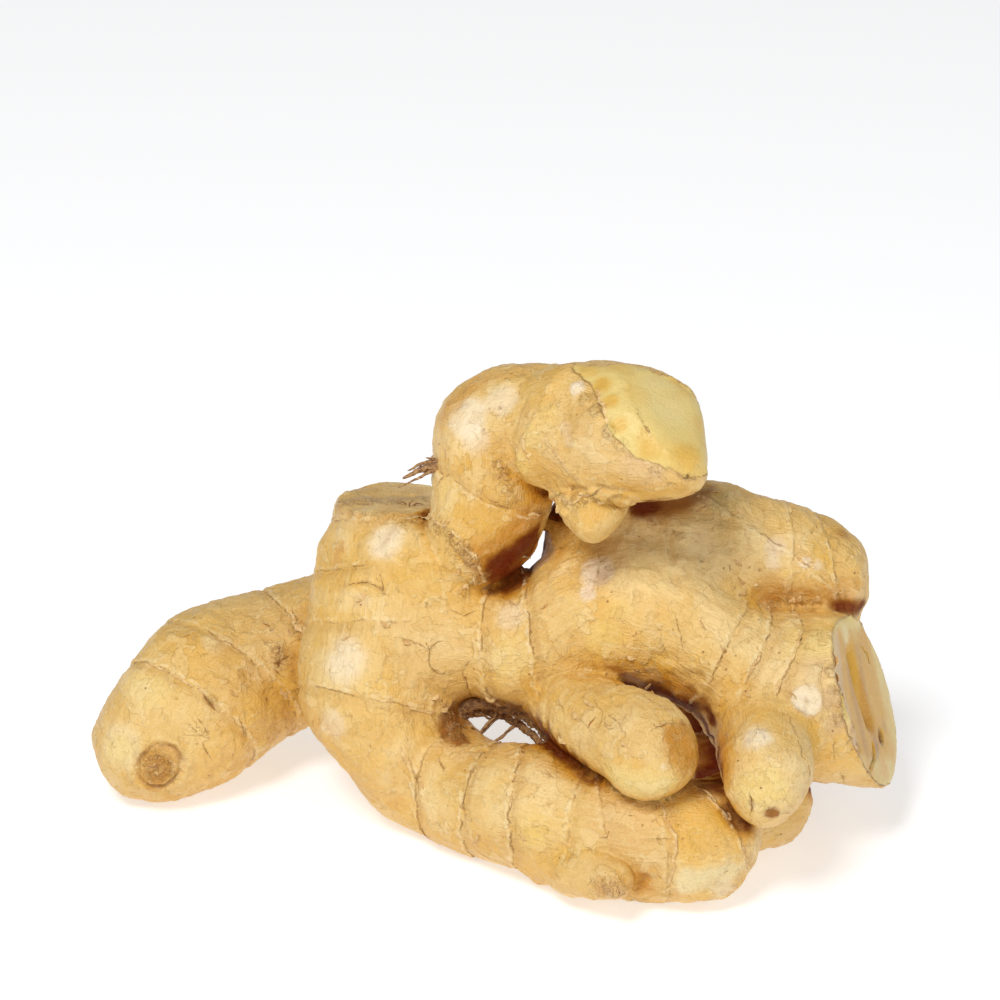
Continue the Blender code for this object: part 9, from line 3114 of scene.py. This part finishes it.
def studio():
    scene = bpy.context.scene
    scene.view_settings.view_transform = "Standard"
    scene.view_settings.look = "None"
    world = bpy.data.worlds.new("studio")
    world.use_nodes = True
    world.node_tree.nodes["Background"].inputs["Color"].default_value = (1.0, 0.99, 0.965, 1.0)
    world.node_tree.nodes["Background"].inputs["Strength"].default_value = WORLD
    scene.world = world
    area("key", (-0.32, -0.66, 1.0), (0, 0, 0.04), 0.42, KEY, (1.0, 0.985, 0.96))
    area("fill", (0.75, -0.70, 0.60), (0, 0, 0.04), 0.7, FILL, (1.0, 0.99, 0.97))

    mesh = bpy.data.meshes.new("floor")
    bm = bmesh.new()
    bmesh.ops.create_grid(bm, x_segments=2, y_segments=2, size=4.0)
    bm.to_mesh(mesh)
    bm.free()
    floor = bpy.data.objects.new("floor", mesh)
    floor.location = (0, 0, -0.0001)
    scene.collection.objects.link(floor)
    w = Web("pale_floor")
    w.shader.inputs["Base Color"].default_value = (0.72, 0.735, 0.77, 1.0)
    w.shader.inputs["Roughness"].default_value = 0.9
    w.shader.inputs["Specular IOR Level"].default_value = 0.1
    w.shader.inputs["Emission Color"].default_value = (1.0, 1.0, 1.0, 1.0)
    w.shader.inputs["Emission Strength"].default_value = FLOOR_GLOW
    mesh.materials.append(w.mat)

    cam = bpy.data.cameras.new("camera")
    cam.lens = 144.0
    cam.sensor_width = 36.0
    cam.clip_start = 0.05
    cam.clip_end = 20.0
    view = bpy.data.objects.new("camera", cam)
    view.location = (0.0016, -0.73209, 0.39889)
    view.rotation_euler = (math.radians(66.0), 0.0, 0.0)
    scene.collection.objects.link(view)
    scene.camera = view


# -------------------------------------------------------------------- main
def build():
    ob, co, nrm, own, ends = skin_mesh()
    facts = describe(co, nrm, own)
    rings = ring_field(co, facts)
    height = bumps(co, nrm, facts, rings)
    hollow = relax(hollow_field(co, nrm)[:, None], ends, 0.5, 3)[:, 0]
    tone, pulp = paint(co, nrm, facts, rings, hollow)
    scaly = np.zeros(len(co))
    for x, y, z, r, amount in SCALY:
        rows = near_box(co, (x, y, z), (x, y, z), 1.5 * r)
        p = co[rows]
        rr = np.linalg.norm(p - (x, y, z), axis=1) / r
        scaly[rows] = np.maximum(scaly[rows], amount * (1 - smooth(rr + 0.25 * fractal(p, 2.5, 2, 70), 0.6, 1.2)))
    crack = np.full(len(co), 3.0)
    crack_w = np.zeros(len(co))
    best = np.full(len(co), 3.0)
    for points, width, depth in CRACKS:
        rows = near_box(co, np.min(points, 0), np.max(points, 0), 2.0)
        if not len(rows):
            continue
        p = co[rows] + 0.22 * np.stack([value_noise(co[rows] / 0.9, 61 + k) for k in range(3)], 1)
        d, side, run, total = polyline_frame(p, points, nrm[rows])
        scaled = d / (width / 0.35)
        closer = scaled < best[rows]
        pick = rows[closer]
        best[pick] = scaled[closer]
        crack[pick] = (side / (width / 0.35))[closer]
        crack_w[pick] = (1 - smooth(d, 0.8, 1.6))[closer] * min(1.0, 0.35 + 1.1 * depth)
    flesh = facts["flesh"]
    for points, radius, inner in FLESH:
        rows = near_box(co, np.min(points, 0), np.max(points, 0), radius + 3)
        if len(rows):
            d, _, _, _ = polyline_frame(co[rows], points if len(points) > 1 else [points[0], np.array(points[0]) + 0.01], nrm[rows])
            flesh[rows] = np.maximum(flesh[rows], np.clip(radius - d, -4, 6) * inner)

    mesh = ob.data
    store(mesh, "tone", tone)
    store(mesh, "pulp", pulp)
    store(mesh, "grow", facts["grow"])
    store(mesh, "ringa", np.stack([rings[0][0], rings[0][1] * facts["margin"], scaly], 1))
    store(mesh, "ringb", np.stack([rings[1][0], rings[1][1] * facts["margin"], hollow], 1))
    store(mesh, "marks", np.stack([crack, crack_w, flesh], 1))
    store(mesh, "layers", np.stack([facts["margin"], facts["peel"], facts["flake"]], 1))
    co = co + nrm * height[:, None]
    co[:, 2] = np.maximum(co[:, 2], 0.72)
    set_coords(mesh, co)
    count = sum(len(p.vertices) - 2 for p in mesh.polygons)
    print("skin before thinning:", count, "triangles")
    if count > SKIN_TRIANGLES:
        apply_modifier(ob, "DECIMATE", decimate_type="COLLAPSE", ratio=SKIN_TRIANGLES / count, use_collapse_triangulate=True)
    mesh = ob.data
    tree = bvh_of(mesh)

    soup = Soup()
    ring_strips(soup, tree)
    edge_strips(soup, tree)
    curls(soup, tree)
    fibre = Soup()
    roots(fibre, tree)

    set_coords(mesh, (coords(mesh) + SHIFT) * MM)
    mesh.materials.clear()
    mesh.materials.append(skin_material())
    mesh.shade_smooth()
    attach(ob, "root")
    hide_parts("rhizome")
    for name, heap, make in (("sheath_edges", soup, sheath_material), ("root_fibres", fibre, root_material)):
        if heap.faces:
            piece = heap.object(name, make())
            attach(piece, "root")
            print(name, len(piece.data.polygons), "triangles")


def bvh_of(mesh):
    mesh.calc_loop_triangles()
    tris = np.empty(len(mesh.loop_triangles) * 3, np.int32)
    mesh.loop_triangles.foreach_get("vertices", tris)
    return BVHTree.FromPolygons([tuple(v) for v in coords(mesh)], [tuple(t) for t in tris.reshape(-1, 3).tolist()], all_triangles=True)


WORLD = 0.33
KEY = 9.0
FILL = 2.1
FLOOR_GLOW = 0.505

build()
studio()

bpy.context.view_layer.update()
